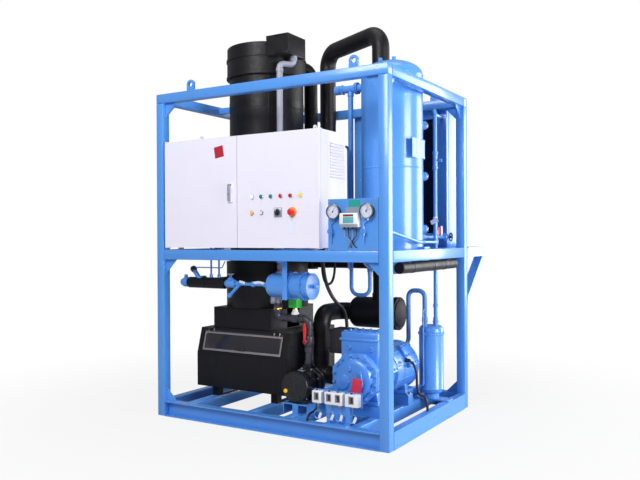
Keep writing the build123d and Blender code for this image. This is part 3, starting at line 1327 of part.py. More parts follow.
def drier_line():
    """Return the liquid line with its valves, under the cabinet."""
    y, z = DRIER_Y, DRIER_LEVEL
    line = rod((DRIER_X[0], y, z), (-1, 0, 0), LINE_RADIUS, 272)
    nut = rod((DRIER_X[0] - 20, y, z), (-1, 0, 0), 17, 26)
    nut_2 = rod((DRIER_X[0] - 236, y, z), (-1, 0, 0), 17, 26)
    body = rod((-318, y, z), (-1, 0, 0), 28, 84)
    stem = rod((-360, y, z), (0, 0, 1), 9, 62)
    wheel = rod((-360, y, z + 54), (0, 0, 1), 24, 10)
    insulated = rod((-400, y, z), (-1, 0, 0), LINE_SLEEVE_RADIUS, 306)
    ball = rod((-705, y, z), (-1, 0, 0), 32, 62)
    neck = rod((-736, y, z), (0, 0, 1), 11, 50)
    angled = rod((-600, y, z), (-0.62, 0, 0.78), 15, 130)
    cap = rod((-661, y, z + 77), (-0.62, 0, 0.78), 21, 26)
    pieces = [line, nut, nut_2, body, stem, wheel, insulated, ball, neck, angled, cap]
    for x in (-520, -455):
        pieces.append(rod((x, y, z), (0, 0, 1), 6, CABINET_BOTTOM - z))
        pieces.append(rod((x, y, z + LINE_SLEEVE_RADIUS - 6), (0, 0, 1), 12, 26))
    return join(pieces)


# Compressor


def compressor_body():
    """Return the compressor with crankcase, motor part, heads and feet."""
    x, z = COMPRESSOR_X, COMPRESSOR_AXIS_HEIGHT
    front, back = COMPRESSOR_FRONT, COMPRESSOR_BACK
    crank = rod((x, front, z), (0, 1, 0), COMPRESSOR_RADIUS, -110 - front)
    motor = rod((x, -120, z), (0, 1, 0), MOTOR_RADIUS, back + 120)
    head = block(HEAD_BLOCK_X, HEAD_BLOCK_Y, (z, HEAD_BLOCK_TOP))
    lip = HEAD_LID_LIP
    lid = block((HEAD_BLOCK_X[0] - lip, HEAD_BLOCK_X[1] + lip), (HEAD_BLOCK_Y[0] - lip, HEAD_BLOCK_Y[1] + lip),
                (HEAD_BLOCK_TOP - 52, HEAD_BLOCK_TOP - 36))
    pieces = [crank, motor, head, lid]
    for y in (front, -128, back - 24):
        pieces.append(rod((x, y, z), (0, 1, 0), MOTOR_RADIUS + 8, 24))
    side_head = Box(74, 150, 150)
    pieces.append(Pos(x + 118, -240, z + 70) * Rot(0, -32, 0) * side_head)
    stub_start = (x - MOTOR_RADIUS - 8, SUCTION_PIPE_Y, SUCTION_PIPE_LEVEL)
    pieces.append(rod(stub_start, (1, 0, 0), ARCH_RADIUS + 5, 90))
    for foot_y in COMPRESSOR_FOOT_Y:
        pieces.append(block((x - 118, x + 118), (foot_y - 26, foot_y + 26), (COMPRESSOR_FOOT_TOP, z - 60)))
    for spot in ((x - 70, HEAD_BLOCK_TOP - 90), (x + 78, HEAD_BLOCK_TOP - 96)):
        pieces.append(rod((spot[0], HEAD_BLOCK_Y[0] + 1, spot[1]), (0, -1, 0), 15, 11))
    oil_boss = rod((x + 30, OIL_RETURN_Y, OIL_PIPE_LEVEL), (1, 0, 0), OIL_PIPE_RADIUS * 2,
                   OIL_RETURN_X[1] - x - 30)
    return join(pieces + [oil_boss])


def compressor_base():
    """Return the two bearers under the compressor."""
    bars = []
    for y in COMPRESSOR_FOOT_Y:
        bars.append(block((COMPRESSOR_X - 140, COMPRESSOR_X + 140), (y - 34, y + 34),
                          (BASE_HEIGHT, COMPRESSOR_FOOT_TOP)))
    return bars


def compressor_end_cover():
    """Return the bolted front cover with the oil pump on it."""
    x, z = COMPRESSOR_X, COMPRESSOR_AXIS_HEIGHT
    front = COMPRESSOR_FRONT
    flange = rod((x, front, z), (0, -1, 0), END_COVER_RADIUS, 14)
    dome = rod((x, front - 13, z), (0, -1, 0), END_COVER_RADIUS - 34, END_COVER_DEPTH - 13)
    dome = fillet(dome.edges().group_by(Axis.Y)[0], 14)
    pump = rod((x - 60, front - 12, z - 20), (0, -1, 0), 46, END_COVER_DEPTH + 12)
    plug = rod((x - 18, front - 12, z + 62), (0, -1, 0), 14, END_COVER_DEPTH)
    pieces = [flange, dome, pump, plug]
    for index in range(10):
        angle = math.radians(index * 36 + 18)
        spot = (x + 136 * math.cos(angle), front - 13, z + 136 * math.sin(angle))
        pieces.append(rod(spot, (0, -1, 0), 9, 11))
    return join(pieces)


def terminal_box():
    """Return the terminal box on the side of the compressor."""
    corner = TERMINAL_BOX_CORNER
    width = HEAD_BLOCK_X[0] - HEAD_LID_LIP - corner[0]
    box = block((corner[0], corner[0] + width), (corner[1], corner[1] + TERMINAL_BOX_DEPTH),
                (corner[2], corner[2] + TERMINAL_BOX_HEIGHT))
    return fillet(box.edges().filter_by(Axis.Z), 10)


# Oil separator and hot gas pipes


def oil_separator():
    """Return the oil separator with its necks and stand."""
    x, y = SEPARATOR_CENTRE
    radius = SEPARATOR_RADIUS
    body = rod((x, y, SEPARATOR_BASE), (0, 0, 1), radius, SEPARATOR_TOP - SEPARATOR_BASE)
    body = fillet(body.edges().filter_by(GeomType.CIRCLE), 26)
    band = rod((x, y, SEPARATOR_TOP - 60), (0, 0, 1), radius + 6, 14)
    stand = rod((x, y, BASE_HEIGHT + 5), (0, 0, 1), radius - 30, SEPARATOR_BASE - BASE_HEIGHT)
    plate = block((DECK_BEAM_X[2] - 10, HALF_WIDTH - 10), (y - 45, y + 45), (BASE_HEIGHT, BASE_HEIGHT + 8))
    pieces = [body, band, stand, plate]
    for neck_x in NECK_X:
        pieces.append(rod((neck_x, y, SEPARATOR_TOP - 12), (0, 0, 1), HOT_GAS_RADIUS + 5, NECK_HEIGHT + 12))
    pieces.append(rod((OIL_PIPE_X, OIL_PIPE_Y[0], SEPARATOR_TOP - 12), (0, 0, 1), OIL_NECK_RADIUS,
                      OIL_NECK_HEIGHT + 12))
    return join(pieces)


def hot_gas_pipes():
    """Return the discharge gooseneck, the pipe that rises to the rear casing and the oil pipe."""
    y = SEPARATOR_CENTRE[1]
    neck_top = SEPARATOR_TOP + NECK_HEIGHT
    start_z = COMPRESSOR_AXIS_HEIGHT + 118
    goose = pipe_run([(HOT_GAS_START_X, COMPRESSOR_BACK, start_z), (HOT_GAS_START_X, y, start_z),
                      (HOT_GAS_START_X, y, HOT_GAS_TOP), (NECK_X[0], y, HOT_GAS_TOP),
                      (NECK_X[0], y, neck_top)], HOT_GAS_RADIUS, 45)
    x = NECK_X[1]
    casing_x = CASING_X[1] - 35
    rise = pipe_run([(x, y, neck_top), (x, y, RISING_GAS_TOP), (casing_x, y + 130, RISING_GAS_TOP),
                     (casing_x, HALF_DEPTH + 3, RISING_GAS_TOP)], RISING_GAS_RADIUS, 40)
    valve = rod((x, y, GAS_VALVE_BASE), (0, 0, 1), RISING_GAS_RADIUS + 5, GAS_VALVE_HEIGHT)
    stub = rod((x, y, GAS_VALVE_BASE + GAS_VALVE_HEIGHT / 2), (1, 0, 0), GAS_STUB_RADIUS, GAS_STUB_LENGTH)
    return [goose, rise + valve + stub, oil_return_pipe()]


def oil_return_pipe():
    """Return the thin pipe from the oil separator down to the compressor."""
    x = OIL_PIPE_X
    back, front = OIL_PIPE_Y
    corner, end = OIL_RETURN_X
    return pipe_run([(x, back, SEPARATOR_TOP + OIL_NECK_HEIGHT + SEAT_GAP), (x, back, OIL_PIPE_TOP),
                     (x, front, OIL_PIPE_TOP), (x, front, OIL_PIPE_LEVEL), (corner, front, OIL_PIPE_LEVEL),
                     (corner, OIL_RETURN_Y, OIL_PIPE_LEVEL), (end + SEAT_GAP, OIL_RETURN_Y, OIL_PIPE_LEVEL)],
                    OIL_PIPE_RADIUS, OIL_PIPE_BEND)


# Pressure switches


def pressure_switches():
    """Return the pressure switch boxes on their bracket."""
    top = SWITCH_BASE + SWITCH_HEIGHT
    back = SWITCH_FRONT + SWITCH_DEPTH
    boxes = []
    for span in SWITCH_SPANS:
        body = block(span, (SWITCH_FRONT, back), (SWITCH_BASE, top))
        boxes.append(fillet(body.edges().filter_by(Axis.Y), 5))
    return boxes


def switch_bracket():
    """Return the bent bracket that carries the pressure switches."""
    back = SWITCH_FRONT + SWITCH_DEPTH
    top = SWITCH_BASE + SWITCH_HEIGHT
    left, right = SWITCH_SPANS[0][0] - 6, SWITCH_SPANS[2][1] + 6
    plate = block((left, right), (back, back + 4), (SWITCH_BASE - 8, top + 4))
    leg = block((left + 80, right - 80), (back, back + 4), (BASE_HEIGHT, SWITCH_BASE))
    foot = block((left + 80, right - 80), (-HALF_DEPTH + 6, back + 4), (BASE_HEIGHT, BASE_HEIGHT + 4))
    return join([plate, leg, foot])


def capillaries():
    """Return the coiled capillary tubes under the switches."""
    y = SWITCH_FRONT + SWITCH_DEPTH / 2
    coils = []
    for span in SWITCH_SPANS:
        count = 2 if span is SWITCH_SPANS[1] else 1
        for index in range(count):
            x = span[0] + (span[1] - span[0]) * (index + 0.5) / count
            coil = Pos(x, y, COIL_LEVEL) * Rot(90, 0, 0) * Torus(COIL_RADIUS, COIL_WIRE)
            riser = rod((x, y, COIL_LEVEL + COIL_RADIUS), (0, 0, 1), COIL_WIRE,
                        SWITCH_BASE - COIL_LEVEL - COIL_RADIUS)
            coils.append(coil + riser)
    return coils


def supply_cable():
    """Return the cable from the cabinet to the terminal box of the compressor."""
    left, right = SUPPLY_X
    corner = TERMINAL_BOX_CORNER
    box_top = corner[2] + TERMINAL_BOX_HEIGHT
    box_y = corner[1] + SUPPLY_BOX_INSET
    high, low = SUPPLY_RISE
    return pipe_run([(left, SUPPLY_Y, CABINET_BOTTOM), (left, SUPPLY_Y, CABINET_BOTTOM - SUPPLY_DROP),
                     (right, SUPPLY_Y, box_top + high), (right, box_y, box_top + low),
                     (right, box_y, box_top)], SUPPLY_RADIUS, SUPPLY_BEND)


def pump_cable():
    """Return the cable from the pump motor to the front of the base."""
    start = PUMP_X + PUMP_MOTOR_RADIUS
    x = start + PUMP_CABLE_REACH
    z = BASE_HEIGHT + PUMP_CABLE_LEVEL
    front = -HALF_DEPTH + CABLE_EDGE
    return pipe_run([(start, PUMP_CABLE_Y, PUMP_AXIS_HEIGHT), (x, PUMP_CABLE_Y, PUMP_AXIS_HEIGHT),
                     (x, PUMP_CABLE_Y, z), (x, front, z), (x, front, BASE_HEIGHT)],
                    PUMP_CABLE_RADIUS, PUMP_CABLE_BEND)


def loop_cable():
    """Return the cable that hangs from the compressor to the right side of the base."""
    start = COMPRESSOR_X + MOTOR_RADIUS + 5
    edge = HALF_WIDTH - CABLE_EDGE
    x = start + (edge - start) * LOOP_CORNER_SHARE
    high, low = LOOP_LEVELS
    return pipe_run([(start, LOOP_Y, high), (x, LOOP_Y, high), (x, LOOP_Y, low), (edge, LOOP_Y, low),
                     (edge, LOOP_Y, BASE_HEIGHT)], LOOP_RADIUS, (edge - start) * LOOP_BEND_SHARE)


def hose_loop():
    """Return the loop of spare cable that hangs from the right cross beam."""
    front, back = HOSE_Y
    low = MIDDLE_BOTTOM - HOSE_DROP
    return pipe_run([(HOSE_X, front, MIDDLE_BOTTOM), (HOSE_X, front, low), (HOSE_X, back, low),
                     (HOSE_X, back, MIDDLE_BOTTOM)], HOSE_RADIUS, HOSE_BEND)


# Rear casing


def rear_casing():
    """Return the casing on the rear rails, with a recessed front."""
    z_range = (MIDDLE_LEVEL, MIDDLE_LEVEL + CASING_HEIGHT)
    y_range = (HALF_DEPTH + 3, HALF_DEPTH + REAR_ARM_LENGTH)
    outer = block(CASING_X, y_range, z_range)
    border = CASING_BORDER
    recess = block((CASING_X[0] + border, CASING_X[1] - border), (y_range[0] - 1, y_range[0] + CASING_RECESS),
                   (z_range[0] + border, z_range[1] - border))
    return outer - recess


def casing_core():
    """Return the dark inset plate in the front of the rear casing."""
    border = CASING_BORDER + SEAT_GAP
    y = HALF_DEPTH + 3 + CASING_RECESS
    return block((CASING_X[0] + border, CASING_X[1] - border), (y - 12, y),
                 (MIDDLE_LEVEL + border, MIDDLE_LEVEL + CASING_HEIGHT - border))


def build():
    """Write every node of the machine."""
    os.makedirs("parts", exist_ok=True)
    yellow, white = button_points()
    low_gauge, high_gauge = gauge_points()
    nodes = {
        "base_rails": base_rails(),
        "deck_beams": deck_beams(),
        "corner_posts": corner_posts(),
        "top_beams": top_beams(),
        "middle_beams": middle_beams(),
        "rear_support": rear_support(),
        "corner_gussets": corner_gussets(),
        "lifting_eyes": lifting_eyes(),
        "cabinet_shell": cabinet_shell(),
        "left_door": left_door(),
        "right_door": right_door(),
        "door_lock_lever": door_lock_lever(),
        "pilot_lamps": pilot_lamps(),
        "yellow_button": push_button(yellow),
        "white_button": push_button(white),
        "switch_plates": switch_plates(),
        "selector_knob": selector_knob(),
        "emergency_button": emergency_button(),
        "equipment_plate": equipment_plate(),
        "contactors": contactors(),
        "gauge_panel": gauge_panel(),
        "gauge_cases": gauge_cases(),
        "gauge_lenses": gauge_lenses(),
        "low_pressure_needle": needle(low_gauge),
        "high_pressure_needle": needle(high_gauge),
        "temperature_controller": temperature_controller(),
        "gauge_valves": gauge_valves(),
        "evaporator_body": evaporator_body(),
        "evaporator_cap": evaporator_cap(),
        "water_distribution_box": water_distribution_box(),
        "water_riser_pipe": water_riser_pipe(),
        "cutter_housing": cutter_housing(),
        "water_tank": water_tank(),
        "inspection_cover": inspection_cover(),
        "ice_cutter": ice_cutter(),
        "pump_motor": pump_motor(),
        "pump_base": pump_base(),
        "pump_pipe": pump_pipe(),
        "ball_valve_handle": ball_valve_handle(),
        "solenoid_valve": solenoid_valve(),
        "suction_arch_pipe": suction_arch_pipe(),
        "insulated_pipes": insulated_pipes(),
        "suction_filter": suction_filter(),
        "receiver_vessel": receiver_vessel(),
        "sight_glasses": sight_glasses(),
        "liquid_pipes": liquid_pipes(),
        "handwheel": handwheel(),
        "filter_drier": filter_drier(),
        "drier_line": drier_line(),
        "compressor_body": compressor_body(),
        "compressor_base": compressor_base(),
        "compressor_end_cover": compressor_end_cover(),
        "terminal_box": terminal_box(),
        "oil_separator": oil_separator(),
        "hot_gas_pipes": hot_gas_pipes(),
        "pressure_switches": pressure_switches(),
        "switch_bracket": switch_bracket(),
        "capillaries": capillaries(),
        "cables": [supply_cable(), pump_cable(), loop_cable(), hose_loop()],
        "rear_casing": [rear_casing(), casing_core()],
    }
    for name, shapes in nodes.items():
        save(name, shapes)


build()
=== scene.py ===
"""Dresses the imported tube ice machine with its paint, insulation, fittings and small details.

Sizes in the classes are in millimetres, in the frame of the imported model: the origin is on the
floor at the middle of the base, +X to the right, +Y to the back and +Z up. Every mesh is kept
in metres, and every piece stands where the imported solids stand.
"""
from __future__ import annotations

import logging
import math
from dataclasses import dataclass
from enum import Enum
from typing import Sequence

import bmesh
import bpy
from mathutils import Matrix, Vector, noise


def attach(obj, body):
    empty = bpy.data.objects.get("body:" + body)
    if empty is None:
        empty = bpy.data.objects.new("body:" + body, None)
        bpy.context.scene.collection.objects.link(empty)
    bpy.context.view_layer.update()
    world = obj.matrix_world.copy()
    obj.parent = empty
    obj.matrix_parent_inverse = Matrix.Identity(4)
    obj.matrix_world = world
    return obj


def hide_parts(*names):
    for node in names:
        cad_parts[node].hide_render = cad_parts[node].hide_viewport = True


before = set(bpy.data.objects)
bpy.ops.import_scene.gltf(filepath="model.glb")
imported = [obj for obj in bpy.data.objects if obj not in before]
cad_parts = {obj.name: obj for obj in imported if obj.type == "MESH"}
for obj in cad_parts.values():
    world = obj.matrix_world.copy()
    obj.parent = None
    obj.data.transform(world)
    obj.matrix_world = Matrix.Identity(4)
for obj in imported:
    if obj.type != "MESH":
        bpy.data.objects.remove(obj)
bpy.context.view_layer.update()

LOG = logging.getLogger("ice_machine")
MM = 0.001
Point = tuple[float, float, float]
Span = tuple[float, float]
Plan = tuple[float, float]
Outline = Sequence[tuple[float, float]]


class Axis(Enum):
    """The direction along which a turned or extruded form runs."""

    X = (1.0, 0.0, 0.0)
    Y = (0.0, 1.0, 0.0)
    Z = (0.0, 0.0, 1.0)
    FRONT = (0.0, -1.0, 0.0)
    LEFT = (-1.0, 0.0, 0.0)
    DOWN = (0.0, 0.0, -1.0)


# Finishes


def linear(colour: Sequence[float]) -> tuple[float, float, float, float]:
    """Turn a colour as it is seen on a screen into the value that a shader takes.

    Args:
        colour: Red, green and blue from 0 to 1.

    Returns:
        The linear colour with an alpha of 1.
    """
    parts = [c / 12.92 if c <= 0.04045 else ((c + 0.055) / 1.055) ** 2.4 for c in colour]
    return parts[0], parts[1], parts[2], 1.0


class Graph:
    """The node tree of one material, with short calls that fill it."""

    def __init__(self, material: bpy.types.Material) -> None:
        """Take the tree of a material that has its first shader.

        Args:
            material: A material that uses nodes.
        """
        self.tree = material.node_tree
        self.shader = self.tree.nodes["Principled BSDF"]
        self.place = self.node("ShaderNodeTexCoord").outputs["Object"]

    def node(self, kind: str, **values: object) -> bpy.types.Node:
        """Add a node and set its properties or its inputs by name.

        Args:
            kind: Blender's name for the node type.
            **values: Properties, or inputs with spaces written as underscores.

        Returns:
            The new node.
        """
        made = self.tree.nodes.new(kind)
        for key, value in values.items():
            label = key.replace("_", " ")
            if hasattr(made, key):
                setattr(made, key, value)
            elif isinstance(value, bpy.types.NodeSocket):
                self.tree.links.new(value, made.inputs[label])
            else:
                made.inputs[label].default_value = value
        return made

    def set(self, **values: object) -> None:
        """Set or wire inputs of the shader.

        Args:
            **values: Inputs by name, with spaces written as underscores.
        """
        for key, value in values.items():
            socket = self.shader.inputs[key.replace("_", " ")]
            if isinstance(value, bpy.types.NodeSocket):
                self.tree.links.new(value, socket)
            else:
                socket.default_value = value

    def noise(self, size: float, detail: float = 3.0,
              stretch: Point = (1, 1, 1)) -> bpy.types.NodeSocket:
        """Add noise with features of a given size.

        Args:
            size: Size of one feature in metres.
            detail: How much finer noise is laid over it.
            stretch: How far the features are stretched along each axis.

        Returns:
            The value output of the noise.
        """
        scale = tuple(1 / (size * part) for part in stretch)
        mapped = self.node("ShaderNodeMapping", Vector=self.place, Scale=scale)
        made = self.node("ShaderNodeTexNoise", Vector=mapped.outputs["Vector"], Scale=1.0,
                         Detail=detail, Roughness=0.55)
        return made.outputs["Fac"]

    def between(self, factor: bpy.types.NodeSocket, low: float,
                high: float) -> bpy.types.NodeSocket:
        """Stretch a value that lies around one half to a range.

        Args:
            factor: The value to stretch.
            low: Result at a value of 0.3.
            high: Result at a value of 0.7.

        Returns:
            The stretched value.
        """
        made = self.node("ShaderNodeMapRange", Value=factor)
        for index, value in enumerate((0.3, 0.7, low, high), start=1):
            made.inputs[index].default_value = value
        return made.outputs["Result"]

    def blend(self, factor: bpy.types.NodeSocket, first: Sequence[float],
              second: Sequence[float]) -> bpy.types.NodeSocket:
        """Mix two screen colours by a value.

        Args:
            factor: The share of the second colour.
            first: Colour at 0.
            second: Colour at 1.

        Returns:
            The mixed colour.
        """
        made = self.node("ShaderNodeMix", data_type="RGBA")
        self.tree.links.new(factor, made.inputs["Factor"])
        made.inputs[6].default_value = linear(first)
        made.inputs[7].default_value = linear(second)
        return made.outputs[2]

    def bump(self, height: bpy.types.NodeSocket, depth: float,
             under: bpy.types.NodeSocket | None = None) -> bpy.types.NodeSocket:
        """Turn a height into a bumped normal.

        Args:
            height: The height value.
            depth: Depth of the bumps in metres.
            under: A normal on which the bumps are laid.

        Returns:
            The normal output.
        """
        made = self.node("ShaderNodeBump", Strength=1.0, Distance=depth, Height=height)
        if under is not None:
            self.tree.links.new(under, made.inputs["Normal"])
        return made.outputs["Normal"]


@dataclass(frozen=True)
class Finish:
    """A finish of one colour with drift in tone, gloss and grain.

    Attributes:
        name: Name of the material.
        colour: Screen colour.
        roughness: Middle roughness of the surface.
        metallic: 1 for bare metal.
        coat: Weight of a clear coat.
        tone: Share by which the colour drifts.
        tone_size: Size of the drift in metres.
        grain: Depth of the fine grain in metres.
        grain_size: Size of the grain in metres.
        stretch: Stretch of the grain along each axis.
    """

    name: str
    colour: tuple[float, float, float]
    roughness: float = 0.4
    metallic: float = 0.0
    coat: float = 0.0
    tone: float = 0.05
    tone_size: float = 0.2
    grain: float = 0.00004
    grain_size: float = 0.003
    stretch: Point = (1, 1, 1)

    def material(self) -> bpy.types.Material:
        """Make the material of this finish at its first use.

        Returns:
            The material.
        """
        label = f"{self.name}_look"
        known = bpy.data.materials.get(label)
        if known is not None:
            return known
        made = bpy.data.materials.new(label)
        made.use_nodes = True
        made.diffuse_color = linear(self.colour)
        self.fill(Graph(made))
        return made

    def fill(self, graph: Graph) -> None:
        """Wire the nodes of this finish.

        Args:
            graph: The empty tree of the material.
        """
        dark = [part * (1 - self.tone) for part in self.colour]
        light = [min(1.0, part * (1 + self.tone)) for part in self.colour]
        drift = graph.noise(self.tone_size)
        graph.set(Base_Color=graph.blend(drift, dark, light), Metallic=self.metallic,
                  Coat_Weight=self.coat, Coat_Roughness=0.12)
        wear = graph.noise(self.tone_size / 6, 4.0)
        graph.set(Roughness=graph.between(wear, self.roughness * 0.85, self.roughness * 1.15))
        height = graph.noise(self.grain_size, 2.0, self.stretch)
        graph.set(Normal=graph.bump(height, self.grain))


@dataclass(frozen=True)
class Enamel(Finish):
    """Sprayed gloss enamel: orange peel, faint waves of the sheet and paler blue flecks on faces
    that look up.
    """

    # paler blue mixed in as flecks on faces that look up
    upward_fleck: tuple[float, float, float] = (0.62, 0.76, 0.92)

    def fill(self, graph: Graph) -> None:
        """Wire the nodes of the enamel, with paler blue flecks where a face looks up.

        Args:
            graph: The empty tree of the material.
        """
        Finish.fill(self, graph)
        facing = graph.node("ShaderNodeNewGeometry").outputs["Normal"]
        height = graph.node("ShaderNodeSeparateXYZ", Vector=facing).outputs["Z"]
        specks = graph.noise(0.012, 5.0)
        share = graph.node("ShaderNodeMath", operation="MULTIPLY")
        graph.tree.links.new(graph.between(height, 0.0, 0.10), share.inputs[0])
        graph.tree.links.new(specks, share.inputs[1])
        share.use_clamp = True
        mix = graph.node("ShaderNodeMix", data_type="RGBA")
        graph.tree.links.new(share.outputs[0], mix.inputs["Factor"])
        old = graph.shader.inputs["Base Color"].links[0].from_socket
        graph.tree.links.new(old, mix.inputs[6])
        mix.inputs[7].default_value = linear(self.upward_fleck)
        graph.set(Base_Color=mix.outputs[2])
        waves = graph.bump(graph.noise(0.12, 1.0), 0.0001)
        peel = graph.bump(graph.noise(self.grain_size, 2.0), self.grain, waves)
        graph.set(Normal=peel)


@dataclass(frozen=True)
class Foam(Finish):
    """Closed-cell rubber foam: satin skin, soft dents and a dusty bloom."""

    def fill(self, graph: Graph) -> None:
        """Wire the nodes of the foam, with dents under its grain.

        Args:
            graph: The empty tree of the material.
        """
        Finish.fill(self, graph)
        dents = graph.bump(graph.noise(0.05, 2.0), 0.0016)
        skin = graph.bump(graph.noise(self.grain_size, 3.0), self.grain, dents)
        graph.set(Normal=skin, Specular_IOR_Level=0.28, Sheen_Weight=0.04, Sheen_Roughness=0.4)


@dataclass(frozen=True)
class Clear(Finish):
    """Glass or clear plastic, through which light passes."""

    clearness: float = 1.0
    index: float = 1.47

    def fill(self, graph: Graph) -> None:
        """Wire the nodes of the clear finish."""
        Finish.fill(self, graph)
        graph.set(Transmission_Weight=self.clearness, IOR=self.index)


@dataclass(frozen=True)
class Glow(Finish):
    """A plastic with a faint light of its own: a real lamp behind the pilot lamp lenses, a painted
    glow with no lamp in it on the yellow plastic.
    """

    strength: float = 0.15

    def fill(self, graph: Graph) -> None:
        """Wire the nodes of the lens or plastic, with its glow."""
        Finish.fill(self, graph)
        graph.set(Emission_Color=linear(self.colour), Emission_Strength=self.strength)


@dataclass(frozen=True)
class Finishes:
    """Every finish on the machine."""

    blue: Finish = Enamel("blue_enamel", (0.31, 0.57, 0.88), 0.32, coat=0.4, tone=0.03,
                          grain=0.00001)
    # a darker copy of the blue enamel: painted shade; its coarser grain is the casting's own
    shaded_blue: Finish = Enamel("shaded_casting_enamel", (0.27, 0.52, 0.84), 0.36, coat=0.4, tone=0.05,
                               grain=0.00008, grain_size=0.004)
    white: Finish = Finish("cabinet_powder_coat", (0.90, 0.89, 0.95), 0.42, tone=0.01,
                           grain=0.00005, grain_size=0.0016)
    foam: Finish = Foam("insulation_foam", (0.06, 0.055, 0.075), 0.45, tone=0.10, tone_size=0.15,
                        grain=0.00012, grain_size=0.0022)
    tape: Finish = Foam("insulation_tape", (0.05, 0.045, 0.065), 0.38, tone=0.08, tone_size=0.05,
                        grain=0.00006, grain_size=0.004)
    black: Finish = Finish("black_enamel", (0.08, 0.08, 0.09), 0.36, coat=0.15, grain=0.00008,
                           grain_size=0.003)
    dark: Finish = Finish("dark_plastic", (0.11, 0.11, 0.13), 0.45, grain_size=0.0008)
    # near-black navy for the fins at the back of the casing's recess: painted shade
    fins: Finish = Finish("shade_dark_fin_pack", (0.06, 0.09, 0.26), 0.5, grain_size=0.0008)
    grey: Finish = Finish("grey_plastic", (0.55, 0.58, 0.63), 0.45, grain_size=0.0008)
    ivory: Finish = Finish("white_plastic", (0.90, 0.90, 0.91), 0.4, tone=0.02, grain_size=0.0008)
    # the yellow plastic glows faintly though no lamp is in it: painted glow
    yellow: Finish = Glow("yellow_plastic", (0.95, 0.72, 0.10), 0.25, coat=0.3, tone=0.03)
    red: Finish = Finish("red_plastic", (0.86, 0.10, 0.10), 0.3, coat=0.3, tone=0.03)
    orange: Finish = Finish("orange_plastic", (0.95, 0.62, 0.30), 0.35, tone=0.03)
    green: Finish = Finish("coil_green", (0.16, 0.74, 0.26), 0.38, tone=0.04)
    lamp_white: Finish = Glow("white_lens", (0.92, 0.93, 0.97), 0.30, coat=0.1, tone=0.02)
    lamp_green: Finish = Glow("green_lens", (0.03, 0.42, 0.42), 0.30, coat=0.1, tone=0.02)
    lamp_red: Finish = Glow("red_lens", (0.66, 0.03, 0.14), 0.30, coat=0.1, tone=0.02)
    lamp_yellow: Finish = Glow("yellow_lens", (0.97, 0.76, 0.10), 0.30, coat=0.1, tone=0.02)
    zinc: Finish = Finish("zinc_plate", (0.70, 0.71, 0.72), 0.36, 0.9, tone=0.08, tone_size=0.04)
    steel: Finish = Finish("brushed_steel", (0.74, 0.75, 0.77), 0.28, 1.0, grain=0.00002,
                           grain_size=0.001, stretch=(1, 1, 14))
    chrome: Finish = Finish("chrome", (0.82, 0.83, 0.86), 0.14, 1.0, tone=0.02)
    brass: Finish = Finish("brass", (0.86, 0.68, 0.32), 0.28, 1.0, tone=0.05, tone_size=0.03)
    copper: Finish = Finish("copper", (0.78, 0.46, 0.32), 0.3, 1.0, tone=0.06, tone_size=0.03)
    glass: Finish = Clear("gauge_glass", (0.97, 0.98, 1.0), 0.03, tone=0.0, grain=0.0)
    cover: Finish = Clear("smoked_cover", (0.30, 0.29, 0.33), 0.14, tone=0.12, grain=0.00006,
                          grain_size=0.03, clearness=0.70)
    rim: Finish = Finish("cover_rim", (0.47, 0.45, 0.47), 0.4, tone=0.08, tone_size=0.05)
    pvc_light: Finish = Finish("light_pipe", (0.62, 0.62, 0.68), 0.34, tone=0.03)
    pvc_dark: Finish = Finish("dark_pipe", (0.22, 0.215, 0.26), 0.34, tone=0.05)
    cable: Finish = Finish("cable_rubber", (0.07, 0.07, 0.08), 0.45, tone=0.08, grain_size=0.001)
    dial: Finish = Finish("dial_face", (0.93, 0.94, 0.98), 0.5, tone=0.01, grain=0.0)
    ink: Finish = Finish("dial_ink", (0.10, 0.11, 0.14), 0.5, tone=0.0, grain=0.0)
    label_red: Finish = Finish("red_label", (0.68, 0.08, 0.20), 0.5, tone=0.05, tone_size=0.01)
    tag_red: Finish = Finish("red_tag", (0.86, 0.20, 0.30), 0.5, tone=0.05, tone_size=0.01)
    label_green: Finish = Finish("green_label", (0.05, 0.60, 0.52), 0.45, tone=0.04, tone_size=0.01)
    label_white: Finish = Finish("white_label", (0.88, 0.90, 0.97), 0.4, tone=0.03, tone_size=0.01)
    label_plate: Finish = Finish("blank_plate", (0.58, 0.65, 0.78), 0.5, tone=0.06,
                                 tone_size=0.03)
    display: Finish = Finish("display_window", (0.36, 0.66, 0.70), 0.2, tone=0.04, tone_size=0.01)


FINISH = Finishes()


# Shapes


